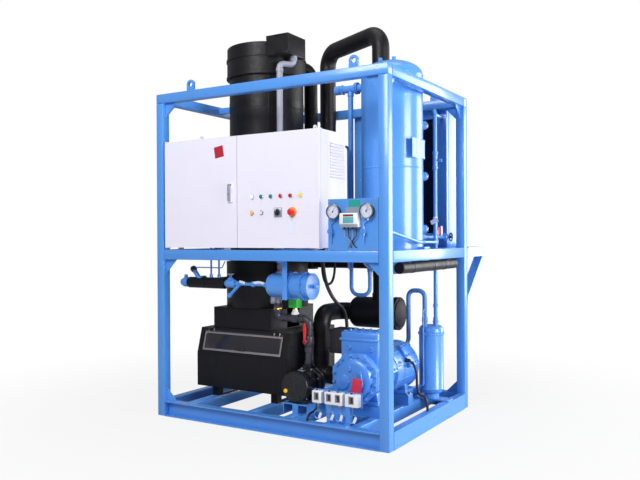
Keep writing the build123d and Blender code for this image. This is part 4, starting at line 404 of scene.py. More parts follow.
class Shape:
    """A mesh in the making, measured in millimetres and kept in metres."""

    def __init__(self, name: str, finish: Finish, body: str = "frame", slot: str = "") -> None:
        """Start an empty shape.

        Args:
            name: Name of the piece.
            finish: Finish of the faces that come next.
            body: Body that the piece rides on.
            slot: Material slot of the record, or nothing; kept but not used.
        """
        self.name, self.body, self.slot = name, body, slot
        self.mesh = bmesh.new()
        self.materials: list[bpy.types.Material] = []
        self.turn = Matrix.Identity(4)
        self.use(finish)

    def use(self, finish: Finish) -> "Shape":
        """Give the faces that come next a finish.

        Args:
            finish: The finish.

        Returns:
            The shape itself.
        """
        material = finish.material()
        if material not in self.materials:
            self.materials.append(material)
        self.current = self.materials.index(material)
        return self

    def _take(self, part: bmesh.types.BMesh) -> "Shape":
        """Move the faces of a part into this shape, with the finish in use.

        Args:
            part: The part, in millimetres.

        Returns:
            The shape itself.
        """
        for face in part.faces:
            face.material_index = self.current
            face.smooth = True
        bmesh.ops.transform(part, matrix=self.turn, verts=part.verts)
        step = bpy.data.meshes.new("step")
        part.to_mesh(step)
        part.free()
        self.mesh.from_mesh(step)
        bpy.data.meshes.remove(step)
        return self

    def box(self, x: Span, y: Span, z: Span, radius: float = 0.0, segments: int = 2) -> "Shape":
        """Add a box with rounded edges.

        Args:
            x: Limits along X.
            y: Limits along Y.
            z: Limits along Z.
            radius: Radius of the edges.
            segments: Faces across each rounded edge.

        Returns:
            The shape itself.
        """
        part = bmesh.new()
        size = [abs(b - a) for a, b in (x, y, z)]
        middle = [(a + b) / 2 for a, b in (x, y, z)]
        bmesh.ops.create_cube(part, size=1.0)
        bmesh.ops.scale(part, vec=size, verts=part.verts)
        if radius > 0:
            bmesh.ops.bevel(part, geom=part.edges[:], offset=min(radius, 0.49 * min(size)),
                            segments=segments, profile=0.5, affect="EDGES", clamp_overlap=True)
        bmesh.ops.translate(part, vec=middle, verts=part.verts)
        return self._take(part)

    def turned(self, origin: Point, axis: Axis | Point, profile: Outline,
               sides: int = 32) -> "Shape":
        """Add a form turned round an axis.

        Args:
            origin: Start of the axis.
            axis: Direction of the axis.
            profile: Points as (distance along the axis, radius).
            sides: Faces round the axis.

        Returns:
            The shape itself.
        """
        part = bmesh.new()
        rings = []
        for along, radius in profile:
            if radius < 1e-6:
                rings.append([part.verts.new((0, 0, along))])
                continue
            rings.append([part.verts.new((radius * math.cos(math.tau * i / sides),
                                          radius * math.sin(math.tau * i / sides), along))
                          for i in range(sides)])
        for low, high in zip(rings, rings[1:]):
            for i in range(max(len(low), len(high))):
                j = (i + 1) % max(len(low), len(high))
                corners = [low[i % len(low)], low[j % len(low)], high[j % len(high)],
                           high[i % len(high)]]
                part.faces.new(list(dict.fromkeys(corners)))
        way = Vector(axis.value if isinstance(axis, Axis) else axis)
        aim = way.to_track_quat("Z", "Y").to_matrix().to_4x4()
        place = Matrix.Translation(Vector(origin)) @ aim
        bmesh.ops.transform(part, matrix=place, verts=part.verts)
        bmesh.ops.recalc_face_normals(part, faces=part.faces)
        return self._take(part)

    def rod(self, origin: Point, axis: Axis | Point, radius: float, length: float,
            edge: float = 0.6, sides: int = 32) -> "Shape":
        """Add a rod with chamfered ends.

        Args:
            origin: Middle of its first end.
            axis: Direction in which it runs.
            radius: Radius of the rod.
            length: Length of the rod.
            edge: Size of the chamfers.
            sides: Faces round the rod; 6 makes a hexagon.

        Returns:
            The shape itself.
        """
        edge = min(edge, radius / 2, length / 2)
        return self.turned(origin, axis, [(0, 0), (0, radius - edge), (edge, radius),
                                          (length - edge, radius), (length, radius - edge),
                                          (length, 0)], sides)

    def band(self, origin: Point, axis: Axis | Point, outer: float, inner: float, length: float,
             edge: float = 0.6, sides: int = 48) -> "Shape":
        """Add a ring with chamfered outer edges.

        Args:
            origin: Middle of its first end.
            axis: Direction in which it runs.
            outer: Outer radius.
            inner: Inner radius.
            length: Length along the axis.
            edge: Size of the outer chamfers.
            sides: Faces round the ring.

        Returns:
            The shape itself.
        """
        return self.turned(origin, axis, [(0, inner), (0, outer - edge), (edge, outer),
                                          (length - edge, outer), (length, outer - edge),
                                          (length, inner), (0, inner)], sides)

    def ring(self, centre: Point, axis: Axis | Point, major: float, minor: float,
             sides: int = 36, rounds: int = 10) -> "Shape":
        """Add a round ring.

        Args:
            centre: Middle of the ring.
            axis: Direction through its middle.
            major: Radius of its centre line.
            minor: Radius of its section.
            sides: Faces round the ring.
            rounds: Faces round the section.

        Returns:
            The shape itself.
        """
        steps = [math.tau * i / rounds for i in range(rounds + 1)]
        profile = [(minor * math.sin(a), major + minor * math.cos(a)) for a in steps]
        return self.turned(centre, axis, profile, sides)

    def pipe(self, points: Sequence[Point], radius: float, bend: float = 0.0, sides: int = 20,
             steps: int = 8) -> "Shape":
        """Add a rigid pipe along straight runs with round corners.

        Args:
            points: Corners of its centre line.
            radius: Radius of the pipe.
            bend: Radius of the centre line in the corners.
            sides: Faces round the pipe.
            steps: Faces along each corner.

        Returns:
            The shape itself.
        """
        line = rounded_line([Vector(p) for p in points], bend, steps)
        part = bmesh.new()
        ahead = (line[1] - line[0]).normalized()
        across = ahead.orthogonal().normalized()
        rings = []
        for index, spot in enumerate(line):
            before = line[max(index - 1, 0)]
            after = line[min(index + 1, len(line) - 1)]
            way = (after - before).normalized()
            across = (across - way * across.dot(way)).normalized()
            side = way.cross(across)
            rings.append([part.verts.new(spot + radius * (math.cos(math.tau * i / sides) * across
                                                          + math.sin(math.tau * i / sides) * side))
                          for i in range(sides)])
        for low, high in zip(rings, rings[1:]):
            for i in range(sides):
                j = (i + 1) % sides
                part.faces.new((low[i], low[j], high[j], high[i]))
        part.faces.new(rings[0][::-1])
        part.faces.new(rings[-1])
        bmesh.ops.recalc_face_normals(part, faces=part.faces)
        return self._take(part)

    def prism(self, outline: Outline, axis: Axis, span: Span, radius: float = 0.0) -> "Shape":
        """Add a flat outline extruded along an axis.

        Args:
            outline: Points as (y, z) for X, (x, z) for Y and (x, y) for Z.
            axis: Axis along which it is extruded.
            span: Limits along that axis.
            radius: Radius of its edges.

        Returns:
            The shape itself.
        """
        part = bmesh.new()
        makers = {Axis.X: lambda a, b, t: (t, a, b), Axis.Y: lambda a, b, t: (a, t, b),
                  Axis.Z: lambda a, b, t: (a, b, t)}
        place = makers[axis]
        ends = [[part.verts.new(place(a, b, t)) for a, b in outline] for t in span]
        count = len(outline)
        part.faces.new(ends[0][::-1])
        part.faces.new(ends[1])
        for i in range(count):
            j = (i + 1) % count
            part.faces.new((ends[0][i], ends[0][j], ends[1][j], ends[1][i]))
        bmesh.ops.recalc_face_normals(part, faces=part.faces)
        if radius > 0:
            bmesh.ops.bevel(part, geom=part.edges[:], offset=radius, segments=2, profile=0.5,
                            affect="EDGES", clamp_overlap=True)
        return self._take(part)

    def bolt(self, origin: Point, axis: Axis | Point, size: float) -> "Shape":
        """Add a hexagon head on a washer.

        Args:
            origin: Point on the surface under the washer.
            axis: Direction in which the head stands out.
            size: Width of the head across its corners.

        Returns:
            The shape itself.
        """
        way = Vector(axis.value if isinstance(axis, Axis) else axis)
        self.rod(origin, axis, size * 0.62, size * 0.12, 0.3, 20)
        top = Vector(origin) + way * size * 0.12
        return self.rod(tuple(top), axis, size * 0.5, size * 0.34, size * 0.05, 6)

    def done(self, sharp: float = 38.0) -> bpy.types.Object:
        """Turn the shape into an object that rides on its body.

        Args:
            sharp: Angle between faces, in degrees, above which an edge stays sharp.

        Returns:
            The finished object.
        """
        bmesh.ops.scale(self.mesh, vec=(MM,) * 3, verts=self.mesh.verts)
        mesh = bpy.data.meshes.new(self.name)
        self.mesh.to_mesh(mesh)
        self.mesh.free()
        for material in self.materials:
            mesh.materials.append(material)
        mesh.set_sharp_from_angle(angle=math.radians(sharp))
        made = bpy.data.objects.new(self.name, mesh)
        bpy.context.scene.collection.objects.link(made)
        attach(made, self.body)
        return made


def rounded_line(points: Sequence[Vector], bend: float, steps: int) -> list[Vector]:
    """Round the corners of a line of straight runs.

    Args:
        points: Corners of the line.
        bend: Radius of the arcs.
        steps: Points in each arc.

    Returns:
        The points of the rounded line.
    """
    line = [points[0]]
    for before, corner, after in zip(points, points[1:], points[2:]):
        back = (before - corner).normalized()
        ahead = (after - corner).normalized()
        angle = back.angle(ahead)
        if bend <= 0 or angle > math.pi - 0.01:
            line.append(corner)
            continue
        reach = bend / math.tan(angle / 2)
        middle = corner + (back + ahead).normalized() * (bend / math.sin(angle / 2))
        start = corner + back * reach - middle
        end = corner + ahead * reach - middle
        for step in range(steps + 1):
            direction = start.normalized().slerp(end.normalized(), step / steps)
            line.append(middle + direction * bend)
    line.append(points[-1])
    return line


def around(centre: Plan, radius: float, degrees: float) -> Plan:
    """Return the point on a circle at an angle from its first axis."""
    angle = math.radians(degrees)
    return centre[0] + radius * math.cos(angle), centre[1] + radius * math.sin(angle)


def circle(centre: Plan, radius: float, count: int, phase: float = 0.0) -> list[Plan]:
    """Spread points evenly round a circle.

    Args:
        centre: Middle of the circle.
        radius: Its radius.
        count: How many points.
        phase: Angle of the first point in degrees.

    Returns:
        The points in the order of their angles.
    """
    return [around(centre, radius, index * 360 / count + phase) for index in range(count)]


def tilted(pivot: Point, degrees: float) -> Matrix:
    """Turn about the line along Y through a point.

    Args:
        pivot: The point.
        degrees: Angle of the turn.

    Returns:
        The turn as a matrix.
    """
    back = Matrix.Translation([-part for part in pivot])
    return Matrix.Translation(pivot) @ Matrix.Rotation(math.radians(degrees), 4, "Y") @ back


def dress(finish: Finish, *nodes: str) -> None:
    """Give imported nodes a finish.

    Args:
        finish: The finish.
        *nodes: Names of the nodes.
    """
    for name in nodes:
        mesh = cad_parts[name].data
        mesh.materials.clear()
        mesh.materials.append(finish.material())


def stand_for(piece: bpy.types.Object, *nodes: str) -> bpy.types.Object:
    """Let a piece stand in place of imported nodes, and return it."""
    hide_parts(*nodes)
    return piece


# Sub-assemblies


@dataclass
class SteelFrame:
    """The welded frame of square tubes on its base of channels."""

    half_width: float = 840
    half_depth: float = 615
    height: float = 2100
    tube: float = 60
    corner: float = 5
    middle: Span = (1022, 1087)
    cross_beams: tuple[float, ...] = (-75, 215)
    deck_beams: tuple[float, ...] = (-600, -120, 150, 430, 600)
    base_height: float = 100
    flange: float = 50

    @property
    def inner_x(self) -> float:
        """Half the width between the posts."""
        return self.half_width - self.tube

    @property
    def inner_y(self) -> float:
        """Half the depth between the posts."""
        return self.half_depth - self.tube

    def build(self) -> None:
        """Build and dress every piece of the frame."""
        self.posts()
        self.beams()
        self.base()
        self.joints()
        dress(FINISH.blue, "corner_gussets", "lifting_eyes", "rear_support", "base_rails")

    def posts(self) -> None:
        """Build the corner posts with rounded tube corners."""
        posts = Shape("post_tubes", FINISH.blue, slot="blue_paint")
        for x in (-1, 1):
            for y in (-1, 1):
                posts.box((x * self.inner_x, x * self.half_width),
                          (y * self.inner_y, y * self.half_depth), (0, self.height - self.tube),
                          self.corner)
        stand_for(posts.done(), "corner_posts")

    def beams(self) -> None:
        """Build the top, middle and deck beams."""
        top = Shape("top_tubes", FINISH.blue, slot="blue_paint")
        middle = Shape("middle_tubes", FINISH.blue, slot="blue_paint")
        for shape, level in ((top, (self.height - self.tube, self.height)), (middle, self.middle)):
            for side in (-1, 1):
                reach = self.half_width if shape is top else self.inner_x
                shape.box((-reach, reach), (side * self.inner_y, side * self.half_depth), level,
                          self.corner)
                shape.box((side * self.inner_x, side * self.half_width),
                          (-self.inner_y, self.inner_y), level, self.corner)
        for x in self.cross_beams:
            middle.box((x - 25, x + 25), (-self.inner_y, self.inner_y), self.middle, self.corner)
        stand_for(top.done(), "top_beams")
        stand_for(middle.done(), "middle_beams")
        deck = Shape("deck_tubes", FINISH.blue, slot="blue_paint")
        reach = self.half_depth - self.flange
        for x in self.deck_beams:
            deck.box((x - 30, x + 30), (-reach, reach), (20, self.base_height), self.corner)
        stand_for(deck.done(), "deck_beams")

    def base(self) -> None:
        """Add the bolts beside the compressor's feet."""
        bolts = Shape("deck_bolts", FINISH.zinc, slot="zinc_plate")
        for x, y in ((382, -322), (382, -278), (634, -322), (634, -278), (382, 68), (382, 112),
                     (634, 68), (634, 112)):
            bolts.bolt((x, y, 165), Axis.Z, 17)
        bolts.done()

    def joints(self) -> None:
        """Lay weld beads in the inner corners of the frame."""
        beads = Shape("weld_beads", FINISH.blue, slot="blue_paint")
        under_top = self.height - self.tube
        for x in (-1, 1):
            for y in (-1, 1):
                inner_x, inner_y = x * self.inner_x, y * self.inner_y
                for level in (under_top, self.middle[0], self.middle[1]):
                    self.bead(beads, (inner_x, inner_y, level),
                              (inner_x, y * (self.half_depth - 6), level))
                    self.bead(beads, (inner_x, inner_y, level),
                              (x * (self.half_width - 6), inner_y, level))
                self.bead(beads, (inner_x, inner_y, under_top), (inner_x, inner_y, self.height - 6))
        for x in self.cross_beams:
            for side in (-1, 1):
                for edge in (-25, 25):
                    self.bead(beads, (x + edge, side * self.inner_y, self.middle[0] + 4),
                              (x + edge, side * self.inner_y, self.middle[1] - 4))
        beads.done()

    @staticmethod
    def bead(shape: Shape, start: Point, end: Point) -> None:
        """Lay one uneven weld bead.

        Args:
            shape: Shape that takes the bead.
            start: Its first end.
            end: Its last end.
        """
        first, last = Vector(start), Vector(end)
        length = (last - first).length
        steps = max(4, int(length / 5))
        profile = [(0.0, 0.0)]
        for step in range(1, steps):
            along = length * step / steps
            profile.append((along, 3.1
                            + 0.6 * noise.noise(Vector((along * 0.3, first.x, first.z)))))
        profile.append((length, 0.0))
        shape.turned(start, tuple(last - first), profile, 8)


class LampColour(Enum):
    """The colours of the pilot lamps; each value names a finish."""

    WHITE = "lamp_white"
    GREEN = "lamp_green"
    RED = "lamp_red"
    YELLOW = "lamp_yellow"

    def finish(self) -> Finish:
        """Return the finish of this lamp's lens."""
        return getattr(FINISH, self.value)


@dataclass
class ControlCabinet:
    """The sheet cabinet with its doors, lock, lamps and switches."""

    left: float = -766
    right: float = 404
    bottom: float = 1100
    top: float = 1782
    front: float = -615
    split: float = -178
    lamp_x: float = -64
    lamp_pitch: float = 69.3
    lamp_z: float = 1405
    button_z: float = 1309
    lamp_radius: float = 14
    lamp_row: tuple[LampColour, ...] = (
        LampColour.WHITE, LampColour.GREEN, LampColour.GREEN, LampColour.RED, LampColour.RED,
        LampColour.YELLOW)
    selector_x: float = 124
    emergency_x: float = 224

    @property
    def button_xs(self) -> tuple[float, float]:
        """X of the yellow and of the white push button."""
        return self.lamp_x - 2, self.lamp_x + self.lamp_pitch

    def build(self) -> None:
        """Build and dress every piece of the cabinet."""
        dress(FINISH.white, "cabinet_shell", "left_door", "right_door")
        self.lamps()
        self.buttons()
        self.selector()
        self.emergency()
        self.lock()
        self.labels()
        self.inside()

    def lamps(self) -> None:
        """Build the six pilot lamps with bezels and domed lenses."""
        lamps = Shape("pilot_lamp_lenses", FINISH.chrome, "right_door", "lamp_lens")
        for index, colour in enumerate(self.lamp_row):
            spot = (self.lamp_x + index * self.lamp_pitch, self.front, self.lamp_z)
            radius = self.lamp_radius
            lamps.use(FINISH.chrome).turned(spot, Axis.FRONT, [
                (0, 0), (0, radius), (4, radius), (6.5, radius - 0.8), (7.5, radius - 1.8),
                (6, radius - 2.0), (6, 0)], 40)
            dome = [(6.0, radius - 2.2), (9.5, radius - 2.4)]
            dome += [(9.5 + 3.4 * math.sin(a), (radius - 2.4) * math.cos(a))
                     for a in (0.35, 0.7, 1.05, 1.35)]
            lamps.use(colour.finish()).turned(spot, Axis.FRONT, dome + [(12.95, 0)], 36)
        stand_for(lamps.done(30), "pilot_lamps")

    def buttons(self) -> None:
        """Build the two push buttons with their collars."""
        # the yellow button cap glows faintly: painted glow
        kinds = (("yellow_button", FINISH.yellow, "yellow_plastic"),
                 ("white_button", FINISH.ivory, "white_plastic"))
        for x, (name, finish, slot) in zip(self.button_xs, kinds):
            button = Shape(name + "_cap", finish, name, slot)
            start = (x, self.front - 6.9, self.button_z)
            button.turned(start, Axis.FRONT, [(0, 0), (0, 9.9), (3.2, 9.9), (4.6, 8.8), (5.0, 5),
                                              (4.7, 0)], 36)
            button.use(FINISH.dark).rod((x, self.front - 7.5, self.button_z), Axis.Y, 7.8, 24, 0.5,
                                        24)
            self.back_nut(button, x)
            stand_for(button.done(30), name)

    def back_nut(self, shape: Shape, x: float) -> None:
        """Add the nut that holds a button or knob behind the door."""
        shape.rod((x, self.front + 3.4, self.button_z), Axis.Y, 11.5, 4, 0.5, 24)

    def selector(self) -> None:
        """Build the fixed switch rings and plates, and the selector knob."""
        plates = Shape("switch_rings", FINISH.chrome, "right_door", "grey_plastic")
        for x in self.button_xs:
            plates.band((x, self.front, self.button_z), Axis.FRONT, 14.5, 10.4, 5.0, 1.2)
        x, z = self.selector_x, self.button_z
        plates.use(FINISH.grey).box((x - 28, x + 28), (self.front - 5, self.front),
                                    (z - 28, z + 28), 2)
        plates.use(FINISH.label_white).box((x - 24, x + 24), (self.front - 5.4, self.front - 4),
                                           (z + 14, z + 24), 0.2)
        plates.use(FINISH.grey).band((x, self.front, z), Axis.FRONT, 22, 8.2, 9, 1.2)
        plates.use(FINISH.orange).turned((self.emergency_x, self.front, z), Axis.FRONT, [
            (0, 9), (0, 29.5), (1.0, 30), (2.2, 29.5), (3.0, 27), (3.0, 9), (0, 9)], 48)
        stand_for(plates.done(30), "switch_plates")
        knob = Shape("selector_handle", FINISH.dark, "selector", "dark_plastic")
        front = self.front - 9.3
        knob.turned((x, front, z), Axis.FRONT, [(0, 0), (0, 18.6), (1.2, 19), (4, 18.4), (5, 16.5),
                                                (5, 0)], 40)
        knob.box((x - 5, x + 5), (front - 20, front - 3), (z - 17, z + 17), 2.2, 3)
        knob.use(FINISH.label_white).box((x - 1, x + 1), (front - 20.2, front - 19),
                                         (z + 5, z + 15), 0.1)
        knob.use(FINISH.dark).rod((x, front, z), Axis.Y, 7.9, 19, 0.5, 24)
        self.back_nut(knob, x)
        stand_for(knob.done(30), "selector_knob")

    def emergency(self) -> None:
        """Build the mushroom button."""
        x, z = self.emergency_x, self.button_z
        head = Shape("emergency_mushroom", FINISH.red, "emergency_button", "red_plastic")
        crown = [(0, 0), (0, 7.7), (13, 7.7), (15, 18.2), (17, 19.8), (23, 20)]
        crown += [(24 + 5.8 * math.sin(a), 20 * math.cos(a) ** 0.6) for a in (0.3, 0.7, 1.1, 1.4)]
        head.turned((x, self.front, z), Axis.FRONT, crown + [(30, 0)], 48)
        for cx, cz in circle((x, z), 10.5, 3, 30):
            head.use(FINISH.label_white).rod((cx, self.front - 27.6, cz), Axis.FRONT, 1.7, 1.2, 0.2,
                                             12)
        head.use(FINISH.dark).rod((x, self.front - 1, z), Axis.Y, 7.7, 17, 0.5, 24)
        self.back_nut(head, x)
        stand_for(head.done(30), "emergency_button")

    def lock(self) -> None:
        """Build the swing lever and its key barrel."""
        x, z = self.split - 52, self.bottom + 336
        low = z - 58
        body = Shape("lock_body_trim", FINISH.grey, "left_door", "grey_plastic")
        body.box((x - 15, x + 15), (self.front - 9.4, self.front - 8.6), (z + 42, z + 54), 0.3)
        body.use(FINISH.chrome).rod((x, self.front - 8.8, z + 48), Axis.FRONT, 5, 1.8, 0.5, 24)
        body.done(30)
        lever = Shape("lock_swing_lever", FINISH.grey, "lock_lever", "dark_plastic")
        front = self.front - 9.3
        lever.box((x - 9, x + 9), (front - 12, front), (low + 8, z + 44), 3, 3)
        lever.use(FINISH.chrome).rod((x, front - 11.9, z - 10), Axis.FRONT, 5.5, 1.4, 0.4, 24)
        # the key slot is a flat dark mark on the barrel: painted shade of the slot
        lever.use(FINISH.ink).box((x - 0.8, x + 0.8), (front - 13.5, front - 13), (z - 13, z - 7))
        lever.use(FINISH.zinc).rod((x, front - 1, low + 20), Axis.Y, 6.9, 20, 0.5, 24)
        lever.box((x - 8, x + 8), (self.front + 5, self.front + 9), (low + 10, low + 50), 1)
        stand_for(lever.done(30), "door_lock_lever")

    def labels(self) -> None:
        """Add the blank labels, the hanging tag and the door seals."""
        red = Shape("red_door_label", FINISH.label_red, "left_door")
        red.turn = tilted((-317, 0, 1692), -9)
        red.box((-352, -282), (self.front - 0.5, self.front), (1657, 1727), 0.2, 1)
        red.done()
        pale = Shape("pale_door_label", FINISH.white, "left_door")
        pale.use(FINISH.label_white).box((-740, -660), (self.front - 0.3, self.front), (1716, 1760),
                                         0.1, 1)
        pale.done()
        strips = Shape("lamp_name_strips", FINISH.label_white, "right_door")
        for index in range(6):
            x = self.lamp_x + index * self.lamp_pitch
            strips.box((x - 17, x + 17), (self.front - 0.8, self.front),
                       (self.lamp_z + 22, self.lamp_z + 31), 0.2, 1)
        for x in self.button_xs:
            strips.box((x - 17, x + 17), (self.front - 0.8, self.front),
                       (self.button_z + 22, self.button_z + 31), 0.2, 1)
        strips.done()
        tag = Shape("hanging_tag", FINISH.label_white, "right_door")
        x = self.emergency_x
        tag.turn = tilted((x, 0, 1280), 8)
        tag.box((x - 24, x + 22), (self.front - 1.2, self.front - 0.2), (1185, 1262), 0.3, 1)
        tag.use(FINISH.zinc).pipe([(x - 1, self.front - 1.5, 1258), (x - 3, self.front - 4, 1272),
                                   (x, self.front - 4, 1284)], 0.8, 4, 8)
        tag.done()
        seal = Shape("door_seals", FINISH.cable)
        y = (self.front + 20.2, self.front + 22.8)
        for low, high in ((self.left + 14, self.split - 10), (self.split + 10, self.right - 14)):
            for z in (self.bottom + 12, self.top - 12):
                seal.box((low, high), y, (z - 5, z + 5), 1)
            for x in (low + 5, high - 5):
                seal.box((x - 5, x + 5), y, (self.bottom + 17, self.top - 17), 1)
        seal.done()

    def inside(self) -> None:
        """Dress the inner plate, and build the switchgear with its terminals."""
        dress(FINISH.zinc, "equipment_plate")
        gear = Shape("switchgear", FINISH.grey, slot="grey_plastic")
        front = -336.0
        for row, (height, width, count) in enumerate(((90, 54, 8), (100, 72, 6))):
            z = self.bottom + 370 - row * 210
            for index in range(count):
                x = self.left + 120 + index * (width + 30)
                gear.use(FINISH.grey if row else FINISH.ivory)
                gear.box((x, x + width), (front - 60, front), (z, z + height), 2)
                gear.box((x + 3, x + width - 3), (front - 85, front - 58),
                         (z + 24, z + height - 24), 2)
                gear.use(FINISH.dark).box((x + width / 2 - 7, x + width / 2 + 7),
                                          (front - 85, front - 80),
                                          (z + height / 2 - 9, z + height / 2 + 9), 1)
                for step in range(3):
                    sx = x + width * (step + 0.5) / 3
                    for sz in (z + 12, z + height - 12):
                        gear.use(FINISH.zinc).rod((sx, front - 60, sz), Axis.FRONT, 4, 1.2, 0.3, 12)
        stand_for(gear.done(), "contactors")


@dataclass
class GaugePanel:
    """The folded panel with two gauges, a controller and two small valves."""

    front: float = -615
    gauge_xs: tuple[float, float] = (510.5, 720.5)
    gauge_z: float = 1304
    valves: tuple[float, float] = (490, 696)
    valve_z: float = 1194
    needle_rest: float = 27
    case_corner: Plan = (557, 1216)
    case_size: Point = (115, 39, 79)

    def build(self) -> None:
        """Build and dress every piece of the panel."""
        dress(FINISH.blue, "gauge_panel")
        self.gauges()
        self.controller()
        self.small_valves()
        self.labels()

    def gauges(self) -> None:
        """Build the cases, dials, needles and lenses of both gauges."""
        cases = Shape("gauge_housings", FINISH.dark, slot="dark_plastic")
        faces = Shape("gauge_dials", FINISH.dial)
        for x in self.gauge_xs:
            spot = (x, self.front, self.gauge_z)
            cases.use(FINISH.black).turned(spot, Axis.FRONT, [
                (0, 0), (0, 38), (20, 38), (24, 41), (26, 42), (31, 42), (34, 40), (34, 38.2),
                (30, 37.6), (24, 37), (24, 0)], 64)
            cases.use(FINISH.chrome).band((x, self.front - 30, self.gauge_z), Axis.FRONT, 41.6, 38,
                                          4, 1.4, 64)
            cases.use(FINISH.brass).rod(spot, Axis.FRONT, 2, 30, 0.3, 12)
            faces.use(FINISH.dial).turned((x, self.front - 24.1, self.gauge_z), Axis.FRONT,
                                          [(0, 0), (0, 36.8), (0.5, 36.8), (0.5, 0)], 64)
            faces.use(FINISH.ink)
            for step in range(41):
                angle = 225 - step * 270 / 40
                inner = 27 if step % 5 == 0 else 30
                self.tick(faces, x, angle, inner, 33, 0.9 if step % 5 == 0 else 0.45)
            faces.use(FINISH.label_red)
            for step in range(8):
                self.tick(faces, x, -20 - step * 3.0, 33.4, 35.2, 1.4)
        stand_for(cases.done(30), "gauge_cases")
        faces.done()
        self.numbers()
        for name, body, x in (("low_pressure_needle", "low_needle", self.gauge_xs[0]),
                              ("high_pressure_needle", "high_needle", self.gauge_xs[1])):
            hand = Shape(name + "_hand", FINISH.ink, body, "dark_plastic")
            hand.turn = tilted((x, 0, self.gauge_z), self.needle_rest)
            z = self.gauge_z
            hand.prism([(x - 1.5, z - 9), (x + 1.5, z - 9), (x + 1.2, z + 6), (x + 0.4, z + 26),
                        (x - 0.4, z + 26), (x - 1.2, z + 6)], Axis.Y,
                       (self.front - 29.0, self.front - 27.8))
            hand.rod((x, self.front - 27.6, z), Axis.FRONT, 5, 1.9, 0.4, 24)
            stand_for(hand.done(), name)
        lens = Shape("gauge_glasses", FINISH.glass, slot="clear_lens")
        for x in self.gauge_xs:
            lens.rod((x, self.front - 32, self.gauge_z), Axis.FRONT, 37.6, 1.6, 0.3, 64)
        stand_for(lens.done(), "gauge_lenses")

    def tick(self, shape: Shape, x: float, angle: float, inner: float, outer: float,
             width: float) -> None:
        """Print one mark on a dial.

        Args:
            shape: Shape that takes the mark.
            x: Middle of the dial along X.
            angle: Angle of the mark in degrees from +X.
            inner: Its inner radius.
            outer: Its outer radius.
            width: Its width.
        """
        way = Vector((math.cos(math.radians(angle)), math.sin(math.radians(angle))))
        side = Vector((-way.y, way.x)) * width / 2
        middle = Vector((x, self.gauge_z))
        corners = [middle + way * inner - side, middle + way * outer - side,
                   middle + way * outer + side, middle + way * inner + side]
        shape.prism([tuple(c) for c in corners], Axis.Y, (self.front - 24.75, self.front - 24.5))

    def numbers(self) -> None:
        """Print plain numbers on the dials."""
        for index, x in enumerate(self.gauge_xs):
            for step in range(0, 9, 2):
                angle = 225 - step * 270 / 8
                cx, cz = around((x, self.gauge_z), 21.5, angle)
                text = bpy.data.curves.new(f"dial_number_{index}_{step}", "FONT")
                text.body = str(step * (1 + index))
                text.size, text.align_x, text.align_y = 0.0075, "CENTER", "CENTER"
                text.extrude = 0.0001
                text.materials.append(FINISH.ink.material())
                made = bpy.data.objects.new(text.name, text)
                made.location = (cx * MM, (self.front - 24.8) * MM, cz * MM)
                made.rotation_euler = (math.pi / 2, 0, 0)
                bpy.context.scene.collection.objects.link(made)
                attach(made, "frame")

    def controller(self) -> None:
        """Build the controller with its display, keys and cable glands."""
        x, z = self.case_corner
        width, depth, height = self.case_size
        front = self.front - depth
        case = Shape("controller_case", FINISH.ivory, slot="white_plastic")
        case.box((x, x + width), (front + 6, self.front), (z, z + height), 4, 3)
        case.box((x + 1.5, x + width - 1.5), (front, front + 10), (z + 17, z + height - 1.5), 3, 3)
        case.use(FINISH.grey).box((x + 1.5, x + width - 1.5), (front + 1, front + 10),
                                  (z + 1.5, z + 16), 2)
        case.use(FINISH.display).box((x + 24, x + width - 24), (front - 0.3, front + 2),
                                     (z + 22, z + height - 22), 0.8)
        case.use(FINISH.ink).box((x + 26, x + width - 26), (front - 0.6, front + 2),
                                 (z + height - 20, z + height - 8), 0.8)
        case.use(FINISH.label_red)
        for index in range(4):
            case.box((x + 33 + index * 13, x + 40 + index * 13), (front - 0.9, front),
                     (z + height - 18, z + height - 10), 0.3, 1)
        case.use(FINISH.grey)
        for index in range(4):
            case.rod((x + 24 + index * 22, front + 1.2, z + 9), Axis.FRONT, 4, 1.6, 0.4, 20)
        for offset in (22, 48, 74, 98):
            case.use(FINISH.dark).rod((x + offset, self.front - 18, z + 0.5), Axis.DOWN, 6.5, 7,
                                      0.8, 6)
            case.rod((x + offset, self.front - 18, z - 6), Axis.DOWN, 4.5, 6, 1.0, 20)
        stand_for(case.done(30), "temperature_controller")
        leads = Shape("controller_leads", FINISH.cable)
        y = self.front - 18
        for low, turn in ((22, 34), (48, 20), (74, -14), (98, -30)):
            leads.use(FINISH.grey if low in (22, 74) else FINISH.cable)
            leads.pipe([(x + low, y, z - 10), (x + low, y, z - 48), (x + low + turn, y + 5, z - 78),
                        (x + low + turn * 0.4, y + 13, z - 112),
                        (x + low + turn * 0.2, self.front, z - 112)], 2.6, 14, 10)
        leads.done()

